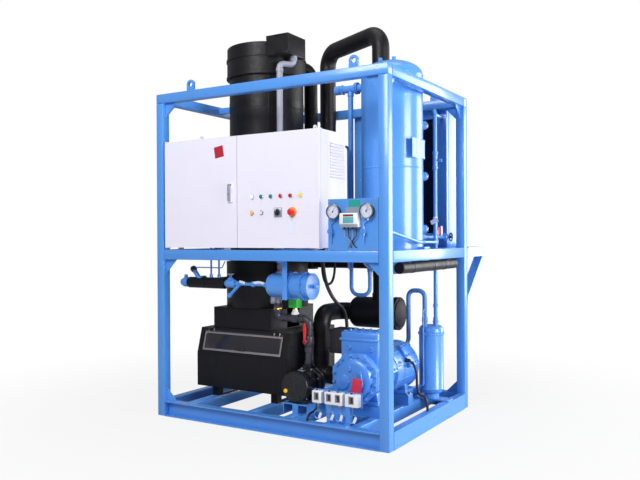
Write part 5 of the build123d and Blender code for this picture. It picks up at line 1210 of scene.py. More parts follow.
    def small_valves(self) -> None:
        """Build the two needle valves and the pipes to the gauges."""
        valves = Shape("needle_valves", FINISH.blue, slot="blue_paint")
        for x, gauge in zip(self.valves, self.gauge_xs):
            y = self.front - 13
            valves.use(FINISH.blue).box((x - 9, x + 9), (self.front - 22, self.front),
                                        (self.valve_z - 13, self.valve_z + 13), 2)
            valves.rod((x, y, self.valve_z - 24), Axis.Z, 6.5, 12, 1, 6)
            valves.rod((x, y, self.valve_z + 12), Axis.Z, 6.5, 12, 1, 6)
            # the valve knob takes the darker copy of the blue: painted shade
            valves.use(FINISH.shaded_blue).turned((x, self.front - 21, self.valve_z), Axis.FRONT, [
                (0, 0), (0, 5), (3, 6), (4, 15.4), (8, 16), (9, 14.5), (9, 0)], 24)
            valves.use(FINISH.blue)
            valves.pipe([(x, y, self.valve_z + 20), (x, y, self.valve_z + 46),
                         (gauge, y, self.valve_z + 60), (gauge, y, self.gauge_z - 36)], 3.2, 10, 12)
            valves.rod((gauge, y, self.gauge_z - 52), Axis.Z, 7, 16, 1, 6)
            valves.pipe([(x, y, self.valve_z - 20), (x, y, self.valve_z - 58),
                         (x, self.front + 2, self.valve_z - 70)], 3.2, 10, 12)
        stand_for(valves.done(30), "gauge_valves")

    def labels(self) -> None:
        """Add the blank green label, the pale strip and the panel bolts."""
        label = Shape("green_panel_label", FINISH.label_green)
        label.box((598, 669), (self.front - 0.6, self.front), (1330, 1367), 0.2, 1)
        label.use(FINISH.grey).box((575, 690), (self.front - 0.5, self.front), (1300, 1327), 0.2, 1)
        label.done()
        bolts = Shape("panel_bolts", FINISH.zinc, slot="zinc_plate")
        for x, z in ((497, 1096), (737, 1096), (475, 1365), (770, 1365)):
            bolts.bolt((x, self.front, z), Axis.FRONT, 9)
        bolts.done()


@dataclass
class IceColumn:
    """The insulated evaporator, its head and the water box."""

    centre: Plan = (-372, -25)
    foot: Span = (694, 1000)
    head: Span = (2240, 2450)

    def build(self) -> None:
        """Build the column with its wraps, seams and bands."""
        self.body()
        self.cap()
        self.box()

    def body(self) -> None:
        """Build the wrapped body with its lug, tie, nozzle and entry."""
        x, y = self.centre
        wrap = Shape("evaporator_wrap", FINISH.foam, slot="insulation")
        low, foot_top = self.foot
        wrap.turned((x, y, 0), Axis.Z, [(low, 0), (low, 278), (low + 3, 280), (foot_top - 4, 280),
                                        (foot_top, 276), (foot_top, 254.6), (2240, 254.6),
                                        (2240, 0)], 96)
        wrap.use(FINISH.blue).box((-810, -50), (y - 45, y + 45), (1087, 1101), 2)
        wrap.box((-780, x), (y - 20, y + 20), (2050, 2090), 2)
        wrap.use(FINISH.foam)
        wrap.rod((-560, y, 868), Axis.FRONT, 30, y + 413.7, 3)
        wrap.rod((x, y, 1850), Axis.Y, 62, 269, 3)
        stand_for(wrap.done(), "evaporator_body")
        seams = Shape("evaporator_seams", FINISH.tape)
        for z in (1180, 1790, 2030):
            seams.band((x, y, z), Axis.Z, 256.2, 254, 48, 0.6, 96)
        for angle in (-52, 68, 172):
            cx, cy = around(self.centre, 254.4, angle)
            seams.turned((cx, cy, 1002), Axis.Z, [(0, 0), (2, 3.0), (1236, 3.0), (1238, 0)], 8)
        seams.band((x, y, 976), Axis.Z, 281.4, 279, 24, 0.6, 96)
        seams.done()
        ties = Shape("frame_tie_clamp", FINISH.dark)
        ties.box((-668, -612), (y - 32, y + 32), (2036, 2102), 4)
        ties.use(FINISH.zinc)
        for side in (-24, 24):
            ties.bolt((-640, y + side, 2102), Axis.Z, 14)
        ties.done()

    def cap(self) -> None:
        """Build the head with two raised bands and the side outlet."""
        x, y = self.centre
        low, high = self.head
        cap = Shape("evaporator_head", FINISH.foam, slot="insulation")
        cap.turned((x, y, 0), Axis.Z, [(low, 0), (low, 273), (low + 2, 275), (low + 14, 275),
                                       (low + 16, 270), (low + 116, 270), (low + 117, 275),
                                       (low + 131, 275), (low + 132, 269), (high - 6, 269),
                                       (high - 1, 264), (high, 256), (high, 0)], 96)
        way = Vector((-215 - x, 300 - y)).normalized()
        start = (x + way.x * 250, y + way.y * 250, 2360)
        cap.rod(start, (way.x, way.y, 0), 51, 28, 2)
        stand_for(cap.done(), "evaporator_cap")
        lid = Shape("head_lid_seam", FINISH.tape)
        lid.ring((x, y, high - 3.4), Axis.Z, 262, 2.4, 96, 8)
        for angle in range(15, 375, 30):
            cx, cy = around(self.centre, 240, angle)
            if not (angle > 300 or angle < 60):
                lid.rod((cx, cy, high - 1.2), Axis.Z, 9, 1.1, 0.5, 20)
        lid.done()

    def box(self) -> None:
        """Dress the water box, and tape its lower and upper edges."""
        dress(FINISH.foam, "water_distribution_box")
        trim = Shape("water_box_trim", FINISH.tape)
        for z in (2348, 2466):
            trim.box((-46, -44.6), (-249, -41), (z, z + 12), 0.6)
            trim.box((-150, -46), (-251.2, -249), (z, z + 12), 0.6)
        trim.done()


@dataclass
class WaterTank:
    """The water tank, cutter housing, clear cover and ice cutter."""

    left: float = -726
    right: float = 0
    front: float = -350
    back: float = 250
    low: float = 164
    shoulder: float = 392
    high: float = 552
    slope: float = 45
    cover_size: tuple[float, float] = (634.0, 134.2)
    hinge_reach: float = 267

    def build(self) -> None:
        """Dress the tank group and add its cover, edges and plug."""
        dress(FINISH.foam, "water_tank", "cutter_housing")
        dress(FINISH.steel, "ice_cutter")
        self.cover()
        self.edges()

    def on_slope(self, along: float, lift: float) -> tuple[float, float]:
        """Return the (y, z) of a point on the sloping front.

        Args:
            along: Distance up the slope.
            lift: Height above its face.

        Returns:
            The point in the side view.
        """
        rise = self.high - self.shoulder
        length = math.hypot(rise, self.slope)
        up = (self.slope / length, rise / length)
        return (self.front + up[0] * along - up[1] * lift, self.shoulder + up[1] * along
                + up[0] * lift)

    def slab(self, start: float, end: float, low: float, high: float) -> Outline:
        """Outline a slab that lies on the slope.

        Args:
            start: Distance of its first edge up the slope.
            end: Distance of its last edge.
            low: Height of its lower face above the slope.
            high: Height of its upper face.

        Returns:
            Its four corners in the side view.
        """
        return [self.on_slope(start, low), self.on_slope(end, low), self.on_slope(end, high),
                self.on_slope(start, high)]

    def cover(self) -> None:
        """Build the clear cover with its grey rim, knob and hinges."""
        middle = (self.left + self.right) / 2
        width, height = self.cover_size
        length = math.hypot(self.high - self.shoulder, self.slope)
        start = length / 2 - height / 2
        clear = Shape("cover_sheet", FINISH.cover, "inspection_cover", "clear_cover")
        clear.prism(self.slab(start, start + height, 0.3, 6.2), Axis.X,
                    (middle - width / 2, middle + width / 2), 0.8)
        stand_for(clear.done(), "inspection_cover")
        rim = Shape("cover_rim", FINISH.rim, "inspection_cover", "clear_cover")
        for low, high in ((start - 2, start + 12), (start + height - 22, start + height - 10)):
            rim.prism(self.slab(low, high, 5.9, 8.2), Axis.X,
                      (middle - width / 2, middle + width / 2), 0.8)
        for low in (middle - width / 2, middle + width / 2 - 12):
            rim.prism(self.slab(start + 10, start + height - 20, 5.9, 8.1), Axis.X, (low, low + 12),
                      0.8)
        knob = [self.on_slope(start + 14, 8), self.on_slope(start + 24, 8),
                self.on_slope(start + 23, 23), self.on_slope(start + 15, 23)]
        rim.use(FINISH.dark).prism(knob, Axis.X, (middle - 30, middle + 30), 2)
        for side in (-1, 1):
            spot = self.on_slope(length - 10, 5)
            x = middle + side * self.hinge_reach
            rim.use(FINISH.zinc).rod((x - 20, *spot), Axis.X, 3, 40, 0.4, 16)
            for end in (-1, 1):
                rim.prism(self.slab(length - 24, length - 6, 1, 8), Axis.X,
                          (x + end * 21 - 3.5, x + end * 21 + 3.5), 1)
        rim.done()

    def edges(self) -> None:
        """Add the taped edges and the drain plug."""
        tape = Shape("tank_edge_tape", FINISH.tape)
        for x in (self.left + 1.5, self.right - 1.5):
            for start, end in (((self.front + 1, self.low), (self.front + 1, self.shoulder)),
                               ((self.back - 1, self.low), (self.back - 1, self.high))):
                tape.pipe([(x, *start), (x, *end)], 3.2, 0, 8)
        tape.pipe([(self.left + 2, self.front + 1.4, self.shoulder),
                   (self.right - 2, self.front + 1.4, self.shoulder)], 3.0, 0, 8)
        for z in (556, 688):
            for x in (-630.5, -159.5):
                tape.pipe([(x, -288, z), (x, 228, z)], 2.6, 0, 8)
            tape.pipe([(-628, -290.5, z), (-162, -290.5, z)], 2.6, 0, 8)
            tape.pipe([(-628, 230.5, z), (-162, 230.5, z)], 2.6, 0, 8)
        tape.done()
        plug = Shape("tank_drain_plug", FINISH.brass)
        plug.rod((12, self.front + 22, self.low + 24), Axis.X, 15, 5, 1, 32)
        plug.rod((16, self.front + 22, self.low + 24), Axis.X, 10, 8, 1, 6)
        plug.done()


@dataclass
class WaterCircuit:
    """The pump, its valve, the green coil and the pipes up to the water box."""

    x: float = 150
    axis_z: float = 265
    front: float = -492
    pipe_y: float = -323
    pipe_level: float = 655
    outlet_x: float = -80
    joint_z: float = 745
    valve_z: float = 520
    coil_x: float = 50
    riser_low: Plan = (-130, -220)
    riser_top: Plan = (-67, -150)

    def build(self) -> None:
        """Build and dress every piece of the water circuit."""
        dress(FINISH.blue, "pump_base")
        self.motor()
        self.pipes()
        self.handle()
        self.coil()
        self.riser()

    def motor(self) -> None:
        """Build the motor with cowl grille, fins, terminal box, volute and feet."""
        x, z, front = self.x, self.axis_z, self.front
        motor = Shape("pump_and_motor", FINISH.black, slot="black_paint")
        motor.turned((x, front, z), Axis.Y, [(2, 0), (2, 84), (0, 86), (1, 90), (4, 92), (42, 92),
                                             (43, 84), (138, 84), (140, 80), (140, 0)], 64)
        for radius in (24, 42, 60, 76):
            motor.ring((x, front + 1.4, z), Axis.Y, radius, 1.6, 48, 8)
        for end in circle((x, z), 84, 6):
            motor.pipe([(x, front + 1.6, z), (end[0], front + 1.6, end[1])], 1.6, 0, 8)
        motor.rod((x, front - 0.2, z), Axis.Y, 14, 4, 1)
        for index in range(36):
            angle = math.radians(index * 10 + 5)
            if 60 < index * 10 + 5 < 120:
                continue
            cx, cz = x + 83 * math.cos(angle), z + 83 * math.sin(angle)
            tip = (x + 91.6 * math.cos(angle), z + 91.6 * math.sin(angle))
            side = (-1.2 * math.sin(angle), 1.2 * math.cos(angle))
            motor.prism([(cx - side[0], cz - side[1]), (tip[0] - side[0], tip[1] - side[1]),
                         (tip[0] + side[0], tip[1] + side[1]), (cx + side[0], cz + side[1])],
                        Axis.Y, (front + 44, front + 130))
        motor.turned((x, front + 138, z), Axis.Y, [(0, 0), (0, 96), (4, 100), (18, 100), (20, 94),
                                                   (44, 94), (46, 100), (58, 100), (62, 96),
                                                   (62, 0)], 64)
        motor.rod((x, self.pipe_y, z), Axis.Z, 30, 116, 2)
        motor.rod((x, self.pipe_y, z + 98), Axis.Z, 38, 10, 2, 8)
        for low, high in ((front + 30, front + 70), (front + 142, front + 196)):
            motor.box((x - 62, x + 62), (low, high), (160, 187), 3)
            motor.box((x - 40, x + 40), (low + 6, high - 6), (180, 215), 3)
        motor.box((x + 40, x + 84), (front + 56, front + 112), (z + 44, z + 84), 4)
        motor.use(FINISH.zinc)
        for cx, cz in circle((x, z), 91, 8, 22):
            motor.bolt((cx, front + 138.5, cz), Axis.FRONT, 11)
        for side in (-1, 1):
            for y in (front + 50, front + 168):
                motor.bolt((x + side * 52, y, 187), Axis.Z, 13)
        stand_for(motor.done(), "pump_motor")
        # the yellow cap on the pump glows faintly: painted glow
        cap = Shape("pump_yellow_cap", FINISH.yellow)
        cap.turned((x - 62, front + 0.5, z - 30), Axis.FRONT, [(0, 0), (0, 13), (2, 13), (4, 11),
                                                               (4.5, 0)], 32)
        cap.done()
        plate = Shape("pump_blank_plate", FINISH.grey)
        plate.box((x - 26, x + 22), (front + 60, front + 100), (z + 84.2, z + 85.4), 0.3, 1)
        plate.done()

    def pipes(self) -> None:
        """Build the dark pipe with sockets, valve body and gauge, and the suction pipe."""
        x, y, level, out = self.x, self.pipe_y, self.pipe_level, self.outlet_x
        pipe = Shape("water_pipe", FINISH.pvc_dark, slot="dark_pipe")
        pipe.pipe([(x, y, 381), (x, y, level), (out, y, level), (out, y, self.joint_z)], 22, 34, 32,
                  12)
        for start, axis, length in (((x, y, 381), Axis.Z, 18), ((x, y, 452), Axis.Z, 30),
                                    ((x, y, 556), Axis.Z, 30), ((x, y, 596), Axis.Z, 22),
                                    ((94, y, level), Axis.X, 20), ((-44, y, level), Axis.X, 20),
                                    ((20, y, level), Axis.X, 60), ((out, y, 690), Axis.Z, 24)):
            pipe.rod(start, axis, 26.5, length, 1.5, 40)
        pipe.turned((x, y, 488), Axis.Z, [(0, 0), (0, 27), (6, 31), (20, 32), (44, 32), (58, 31),
                                          (64, 27), (64, 0)], 40)
        pipe.rod((x, y, self.valve_z), Axis.FRONT, 14, 42, 1)
        pipe.use(FINISH.dark).rod((x, y, self.valve_z), Axis.FRONT, 5.9, 58, 0.8, 24)
        pipe.use(FINISH.brass).rod((self.coil_x, y, level + 15), Axis.Z, 14, 24, 1)
        pipe.use(FINISH.pvc_dark).rod((self.coil_x, y, level - 24), Axis.Z, 26, 46, 2, 32)
        pipe.use(FINISH.brass).rod((out, y, 705), Axis.Z, 30, 12, 1, 6)
        pipe.use(FINISH.pvc_dark).rod((out, y, 716), Axis.Z, 28, 29, 2)
        way = (-1 / math.sqrt(2), -1 / math.sqrt(2), 0)
        pipe.use(FINISH.grey).turned((out, y - 18, level + 112), way, [
            (0, 0), (0, 10), (10, 10), (12, 24), (14, 26), (30, 26), (34, 24), (34, 22), (31, 21),
            (31, 0)], 40)
        pipe.use(FINISH.pvc_dark)
        pipe.pipe([(x, -292, self.axis_z), (x, -215, self.axis_z), (10, -215, self.axis_z)], 26, 36,
                  32, 10)
        pipe.rod((12, -215, self.axis_z), Axis.X, 31, 16, 2, 40)
        stand_for(pipe.done(), "pump_pipe")

    def handle(self) -> None:
        """Build the red lever, a long oval with a rounded rim."""
        x, z = self.x, self.valve_z
        front = self.pipe_y - 42.3
        lever = Shape("valve_lever", FINISH.red, "valve_handle", "red_plastic")
        lever.rod((x, front, z), Axis.FRONT, 13, 10, 1.5)
        outline = []
        for index in range(24):
            angle = math.tau * index / 24
            width = 11.5 if math.cos(angle) > 0 else 10
            outline.append((x + width * math.sin(angle), z + 59 + 58 * math.cos(angle)))
        lever.prism(outline, Axis.Y, (front - 10, front - 4), 1.6)
        lever.use(FINISH.zinc).bolt((x, front - 10, z), Axis.FRONT, 11)
        stand_for(lever.done(), "ball_valve_handle")

    def coil(self) -> None:
        """Build the solenoid coil with its stem, nut and plug."""
        x, y, base = self.coil_x, self.pipe_y, self.joint_z
        coil = Shape("solenoid_coil", FINISH.green, slot="green_plastic")
        coil.box((x - 31, x + 31), (y - 31, y + 31), (base - 24, base + 55), 5, 3)
        coil.use(FINISH.brass).rod((x, y, base - 34), Axis.Z, 14, 12, 1, 6)
        coil.use(FINISH.ivory).turned((x, y, base - 66), Axis.Z, [(0, 0), (0, 24), (9, 25),
                                                                   (20, 18), (32, 16), (32, 0)], 32)
        coil.use(FINISH.copper).rod((x, y, base - 24), Axis.Z, 11, 22, 0.6)
        coil.use(FINISH.zinc).rod((x, y, base + 54.5), Axis.Z, 9, 0.4, 0.1, 6)
        stand_for(coil.done(), "solenoid_valve")

    def riser(self) -> None:
        """Build the light pipe with its sockets."""
        y, out, joint = self.pipe_y, self.outlet_x, self.joint_z
        low, top = self.riser_low, self.riser_top
        pipe = Shape("riser_pipe", FINISH.pvc_light, slot="light_pipe")
        pipe.pipe([(out, y, joint), (out, y, 930), (*low, 930), (*low, 2293), (*top, 2293),
                   (*top, 2348)], 20, 26, 32, 10)
        for start, length in (((out, y, joint), 26), ((out, y, 880), 22), ((*low, 960), 22),
                              ((*low, 1560), 34), ((*low, 2240), 24), ((*top, 2318), 28)):
            pipe.rod(start, Axis.Z, 24, length, 1.5)
        stand_for(pipe.done(), "water_riser_pipe")


@dataclass
class InsulatedPipes:
    """The big insulated pipes and the suction filter."""

    arch_radius: float = 58
    arch_right: Plan = (400, 190)
    arch_left: Plan = (-185, 492)
    arch_level: float = 2515
    entry_level: float = 1850
    side_line: Plan = (-215, 300)
    side_radius: float = 48
    low_level: float = 980
    low_radius: float = 35
    suction: Plan = (75, -40)
    suction_level: float = 260
    filter_level: float = 660
    rail_x: float = 800
    rail_level: float = 985
    rail_radius: float = 33

    def build(self) -> None:
        """Build the pipes with taped joints between the lengths of foam."""
        self.arch()
        self.lines()
        self.filter()

    def taped(self, shape: Shape, spots: Sequence[tuple[Point, Axis, float]],
              radius: float) -> None:
        """Wrap tape round a pipe.

        Args:
            shape: Shape that takes the tape.
            spots: Start, axis and length of each wrap.
            radius: Radius of the pipe.
        """
        shape.use(FINISH.tape)
        for start, axis, length in spots:
            shape.band(start, axis, radius + 1.6, radius - 1, length, 0.6, 40)

    def arch(self) -> None:
        """Build the pipe that arches over to the evaporator."""
        pipe = Shape("arch_pipe", FINISH.foam, slot="insulation")
        right, left, top, entry = self.arch_right, self.arch_left, self.arch_level, self.entry_level
        line = [Vector(p) for p in ((*right, 792), (*right, top), (*left, top), (*left, entry),
                                    (-372, left[1], entry), (-372, 244, entry))]
        upper = rounded_line(line[:4], 110, 14)
        lower = rounded_line(line[2:], 80, 12)
        pipe.pipe([tuple(p) for p in upper[:-1] + lower[1:]], self.arch_radius, 0, 40)
        self.taped(pipe, [((*right, z), Axis.Z, 46) for z in (900, 1300, 1700, 2110)],
                   self.arch_radius)
        self.taped(pipe, [((*left, z), Axis.Z, 44) for z in (2000, 2330)], self.arch_radius)
        way = Vector((left[0] - right[0], left[1] - right[1], 0)).normalized()
        middle = Vector((*right, top)) + way * 330
        pipe.band(tuple(middle), tuple(way), 57.9, 57, 46, 0.2, 40)
        stand_for(pipe.done(), "suction_arch_pipe")

    def lines(self) -> None:
        """Build the side line, the suction pipe and the line under the right beam."""
        pipes = Shape("insulated_lines", FINISH.foam, slot="insulation")
        way = Vector((157, 325)).normalized()
        entry = (-372 + way.x * 278, -25 + way.y * 278, 2360)
        pipes.pipe([entry, (*self.side_line, 2360), (*self.side_line, 935)], self.side_radius, 62,
                   40, 12)
        (x, y), low = self.side_line, self.low_level
        end = self.arch_right[0]
        pipes.pipe([(x, y, low), (end, y, low), (end, 248.3, low)], self.low_radius, 45, 32, 10)
        (sx, sy), level = self.suction, self.filter_level
        pipes.pipe([(190, 190, level), (sx, 190, level), (sx, sy, level),
                    (sx, sy, self.suction_level), (350, sy, self.suction_level)], self.arch_radius,
                   72, 40, 12)
        rail_x, rail_z = self.rail_x, self.rail_level
        pipes.rod((rail_x, -400, rail_z), Axis.Y, self.rail_radius, 850, 4, 40)
        self.taped(pipes, [((x, y, z), Axis.Z, 40) for z in (1150, 1600, 2050)], self.side_radius)
        self.taped(pipes, [((spot, y, low), Axis.X, 30) for spot in (-100, 240)], self.low_radius)
        self.taped(pipes, [((sx, sy, z), Axis.Z, 46) for z in (380, 540)], self.arch_radius)
        straps = [((rail_x, spot, rail_z), Axis.Y, 30) for spot in (-240, 60, 250)]
        self.taped(pipes, straps, self.rail_radius)
        pipes.use(FINISH.dark)
        for spot in (-280, 330):
            pipes.box((rail_x - 14, rail_x + 14), (spot - 12, spot + 12), (rail_z, 1022), 2)
        stand_for(pipes.done(), "insulated_pipes")

    def filter(self) -> None:
        """Build the suction filter with its flange, bolts and upper stub."""
        body = Shape("suction_filter_body", FINISH.foam, slot="insulation")
        body.turned((190, 190, 660), Axis.X, [(0, 0), (0, 70), (8, 90), (22, 100), (40, 102),
                                              (294, 102), (304, 104), (306, 108), (338, 108),
                                              (341, 105), (341, 90), (348, 88), (350, 84),
                                              (350, 0)], 64)
        body.rod((400, 190, 660), Axis.Z, 63, 132, 3, 48)
        body.use(FINISH.dark)
        for cy, cz in circle((190, 660), 97, 10, 18):
            body.rod((531, cy, cz), Axis.X, 6, 5, 0.6, 6)
        body.use(FINISH.black).rod((539, 190, 620), Axis.X, 12, 0.9, 0.2, 24)
        stand_for(body.done(), "suction_filter")


@dataclass
class Receiver:
    """The liquid receiver with its glasses, plate and liquid pipes."""

    centre: tuple[float, float] = (575, -10)
    radius: float = 192
    low: float = 1025
    high: float = 2165
    dish: float = 96
    glass_levels: tuple[float, ...] = (1209, 1540, 1858)
    glass_angle: float = 31.2
    line_level: float = 2118
    line_x: float = 281
    valve: Point = (715, 520, 1160)

    @property
    def valve_way(self) -> Point:
        """Direction from the vessel to the valve with the handwheel."""
        angle = math.atan2(self.valve[1] - self.centre[1], self.valve[0] - self.centre[0])
        return math.cos(angle), math.sin(angle), 0

    @property
    def glass_way(self) -> Point:
        """Direction in which the level glasses face."""
        angle = math.radians(self.glass_angle)
        return math.cos(angle), math.sin(angle), 0

    def build(self) -> None:
        """Build and dress the vessel and its pipes."""
        self.vessel()
        self.glasses()
        self.pipes()
        self.wheel()

    def vessel(self) -> None:
        """Build the shell with weld rings, lugs, nozzles, bosses and the blank plate."""
        x, y = self.centre
        shell = Shape("receiver_shell", FINISH.blue, slot="blue_paint")
        bend = [math.radians(5 + 8.5 * i) for i in range(11)]
        profile = [(self.low - self.dish, 0)]
        profile += [(self.low - self.dish * math.sin(a), self.radius * math.cos(a))
                    for a in bend[::-1] if a < math.pi / 2]
        for seam in (self.low + 4, self.low + 560, self.high - 4):
            profile += [(seam - 5, self.radius), (seam - 3, self.radius + 1.8),
                        (seam, self.radius + 2.4), (seam + 3, self.radius + 1.8),
                        (seam + 5, self.radius)]
        profile += [(self.high + self.dish * math.sin(a), self.radius * math.cos(a)) for a in bend
                    if a < math.pi / 2]
        profile += [(self.high + self.dish, 0)]
        shell.turned((x, y, 0), Axis.Z, profile, 96)
        for low, high in ((-150, -110), (85, 120)):
            shell.box((190, 475), (low, high), (1087, 1101), 2)
        shell.box((725, 810), (-55, 35), (1087, 1101), 2)
        shell.rod((403, y, self.line_level), Axis.LEFT, 30, 38, 2)
        shell.rod((415, y, 940), Axis.Z, 17.5, 80, 1)
        way, out = self.valve_way, self.glass_way
        shell.rod((x + 182 * way[0], y + 182 * way[1], self.valve[2]), way, 18, 24, 1)
        for level in self.glass_levels:
            shell.rod((x + 186 * out[0], y + 186 * out[1], level), out, 27, 26, 1.5)
        shell.box((725, 767), (-75, -15), (1670, 1730), 1)
        shell.box((766, 770), (-140, 50), (1640, 1760), 1)
        shell.use(FINISH.label_plate).box((769.5, 770.8), (-84, 42), (1646, 1754), 0.3, 1)
        shell.use(FINISH.zinc)
        for py in (-132, 45):
            for pz in (1650, 1750):
                shell.rod((770, py, pz), Axis.X, 3, 1, 0.3, 12)
        stand_for(shell.done(32), "receiver_vessel")
        fittings = Shape("receiver_top_valves", FINISH.blue)
        for dx, dy, height in ((-60, -40, 40), (46, -66, 30), (30, 70, 34)):
            base = (x + dx, y + dy, self.high + 74)
            fittings.rod(base, Axis.Z, 14, height, 1, 6)
            fittings.rod((base[0], base[1], base[2] + 10), Axis.Y, 8, 34, 1, 6)
        fittings.done()

    def glasses(self) -> None:
        """Build the level glasses with nut, rim and glass."""
        x, y = self.centre
        out = self.glass_way
        glass = Shape("level_glasses", FINISH.chrome, slot="lamp_lens")
        for level in self.glass_levels:
            start = (x + 202 * out[0], y + 202 * out[1], level)
            glass.use(FINISH.chrome).turned(start, out, [(8, 0), (8, 21), (14, 21), (15, 19),
                                                         (19, 18.4), (20, 17.4), (20, 14.5),
                                                         (16, 14), (16, 0)], 6 * 8)
            glass.use(FINISH.copper).rod((start[0] + 15 * out[0], start[1] + 15 * out[1], level),
                                         out, 14.2, 2.6, 0.6)
        stand_for(glass.done(30), "sight_glasses")

    def pipes(self) -> None:
        """Build the liquid pipes, with collars at their joints."""
        y, top, line = self.centre[1], self.line_level, self.line_x
        pipe = Shape("liquid_lines", FINISH.blue, slot="blue_paint")
        pipe.pipe([(365, y, top), (170, y, top)], 24, 0, 32)
        pipe.turned((341, y, top), Axis.LEFT, [(0, 0), (0, 30), (3, 38), (11, 38), (12, 33),
                                               (14, 33), (15, 38), (23, 38), (26, 30), (26, 0)], 40)
        pipe.rod((210, y, top), Axis.LEFT, 29, 40, 3)
        pipe.rod((232, y, top), Axis.LEFT, 33, 16, 2, 6)
        pipe.pipe([(line, y, 1000), (line, y, top)], 17, 0, 24)
        pipe.rod((line, y, 1000), Axis.Z, 20, 60, 2)
        pipe.rod((line, y, 2070), Axis.Z, 21, 26, 2)
        pipe.pipe([(line, y, 1001), (line, y, 790), (415, y, 790), (415, y, 940)], 12.5, 50, 24, 10)
        pipe.rod((415, y, 922), Axis.Z, 16, 20, 1, 6)
        pipe.pipe([(289, -305, 1737), (289, -60, 1737), (289, -60, 960), (line, y, 960)], 8, 22, 16,
                  8)
        valve_x, valve_y, level = self.valve
        way = Vector(self.valve_way)
        start = Vector((*self.centre, level)) + way * 206
        pipe.pipe([tuple(start), self.valve], 12, 0, 20)
        pipe.rod(tuple(start), tuple(way), 17, 16, 1, 6)
        pipe.turned((valve_x, valve_y, level - 24), Axis.Z,
                    [(0, 0), (0, 18), (6, 22), (42, 22), (48, 18), (48, 0)], 32)
        pipe.rod(self.valve, Axis.X, 12, 36, 1, 6)
        pipe.use(FINISH.steel).rod(self.valve, Axis.X, 3.9, 52, 0.4, 16)
        pipe.use(FINISH.label_white).band((650, 292.7, level), tuple(way), 14.5, 12, 26, 0.4, 24)
        stand_for(pipe.done(), "liquid_pipes")
        self.branch()

    def branch(self) -> None:
        """Build the sloping pipe from the front post, the service caps and the tag."""
        pipe = Shape("sloping_branch_pipe", FINISH.blue)
        pipe.pipe([(790, -595, 1208), (790, -105, 1131), (790, 170, 1128), (727, 320, 1128)], 9, 34,
                  20)
        pipe.rod((727, 320, 1112), Axis.Z, 19, 34, 2, 28)
        pipe.rod((790, -40, 1130.4), Axis.Y, 12.5, 22, 1, 6)
        pipe.done(30)
        caps = Shape("service_caps", FINISH.red)
        caps.turned((694, 440, 1168), Axis.Z, [(0, 0), (0, 9), (10, 9), (11, 13), (54, 13),
                                               (58, 10), (58, 0)], 28)
        caps.use(FINISH.label_white).turned((704.4, 480, 1168), Axis.Z, [
            (0, 0), (0, 7), (12, 7), (13, 10), (62, 10), (66, 7), (66, 0)], 28)
        caps.done(30)
        tag = Shape("rising_pipe_tag", FINISH.label_white)
        tag.turn = tilted((727, 0, 1262), -24)
        tag.box((700, 754), (304.2, 305.4), (1249, 1277), 0.3, 1)
        tag.done()

    def wheel(self) -> None:
        """Build the handwheel with a rounded rim and three spokes."""
        _, y, z = self.valve
        start = (751.3, y, z)
        wheel = Shape("valve_handwheel", FINISH.dark, "valve_wheel", "dark_plastic")
        wheel.ring((start[0] + 6, y, z), Axis.X, 27, 4, 40, 12)
        wheel.band(start, Axis.X, 9, 4.1, 12, 0.8, 24)
        hub = self.valve[1:]
        for near, end in zip(circle(hub, 7, 3, 90), circle(hub, 25, 3, 90)):
            wheel.pipe([(start[0] + 6, *near), (start[0] + 6, *end)], 2.6, 0, 10)
        stand_for(wheel.done(), "handwheel")


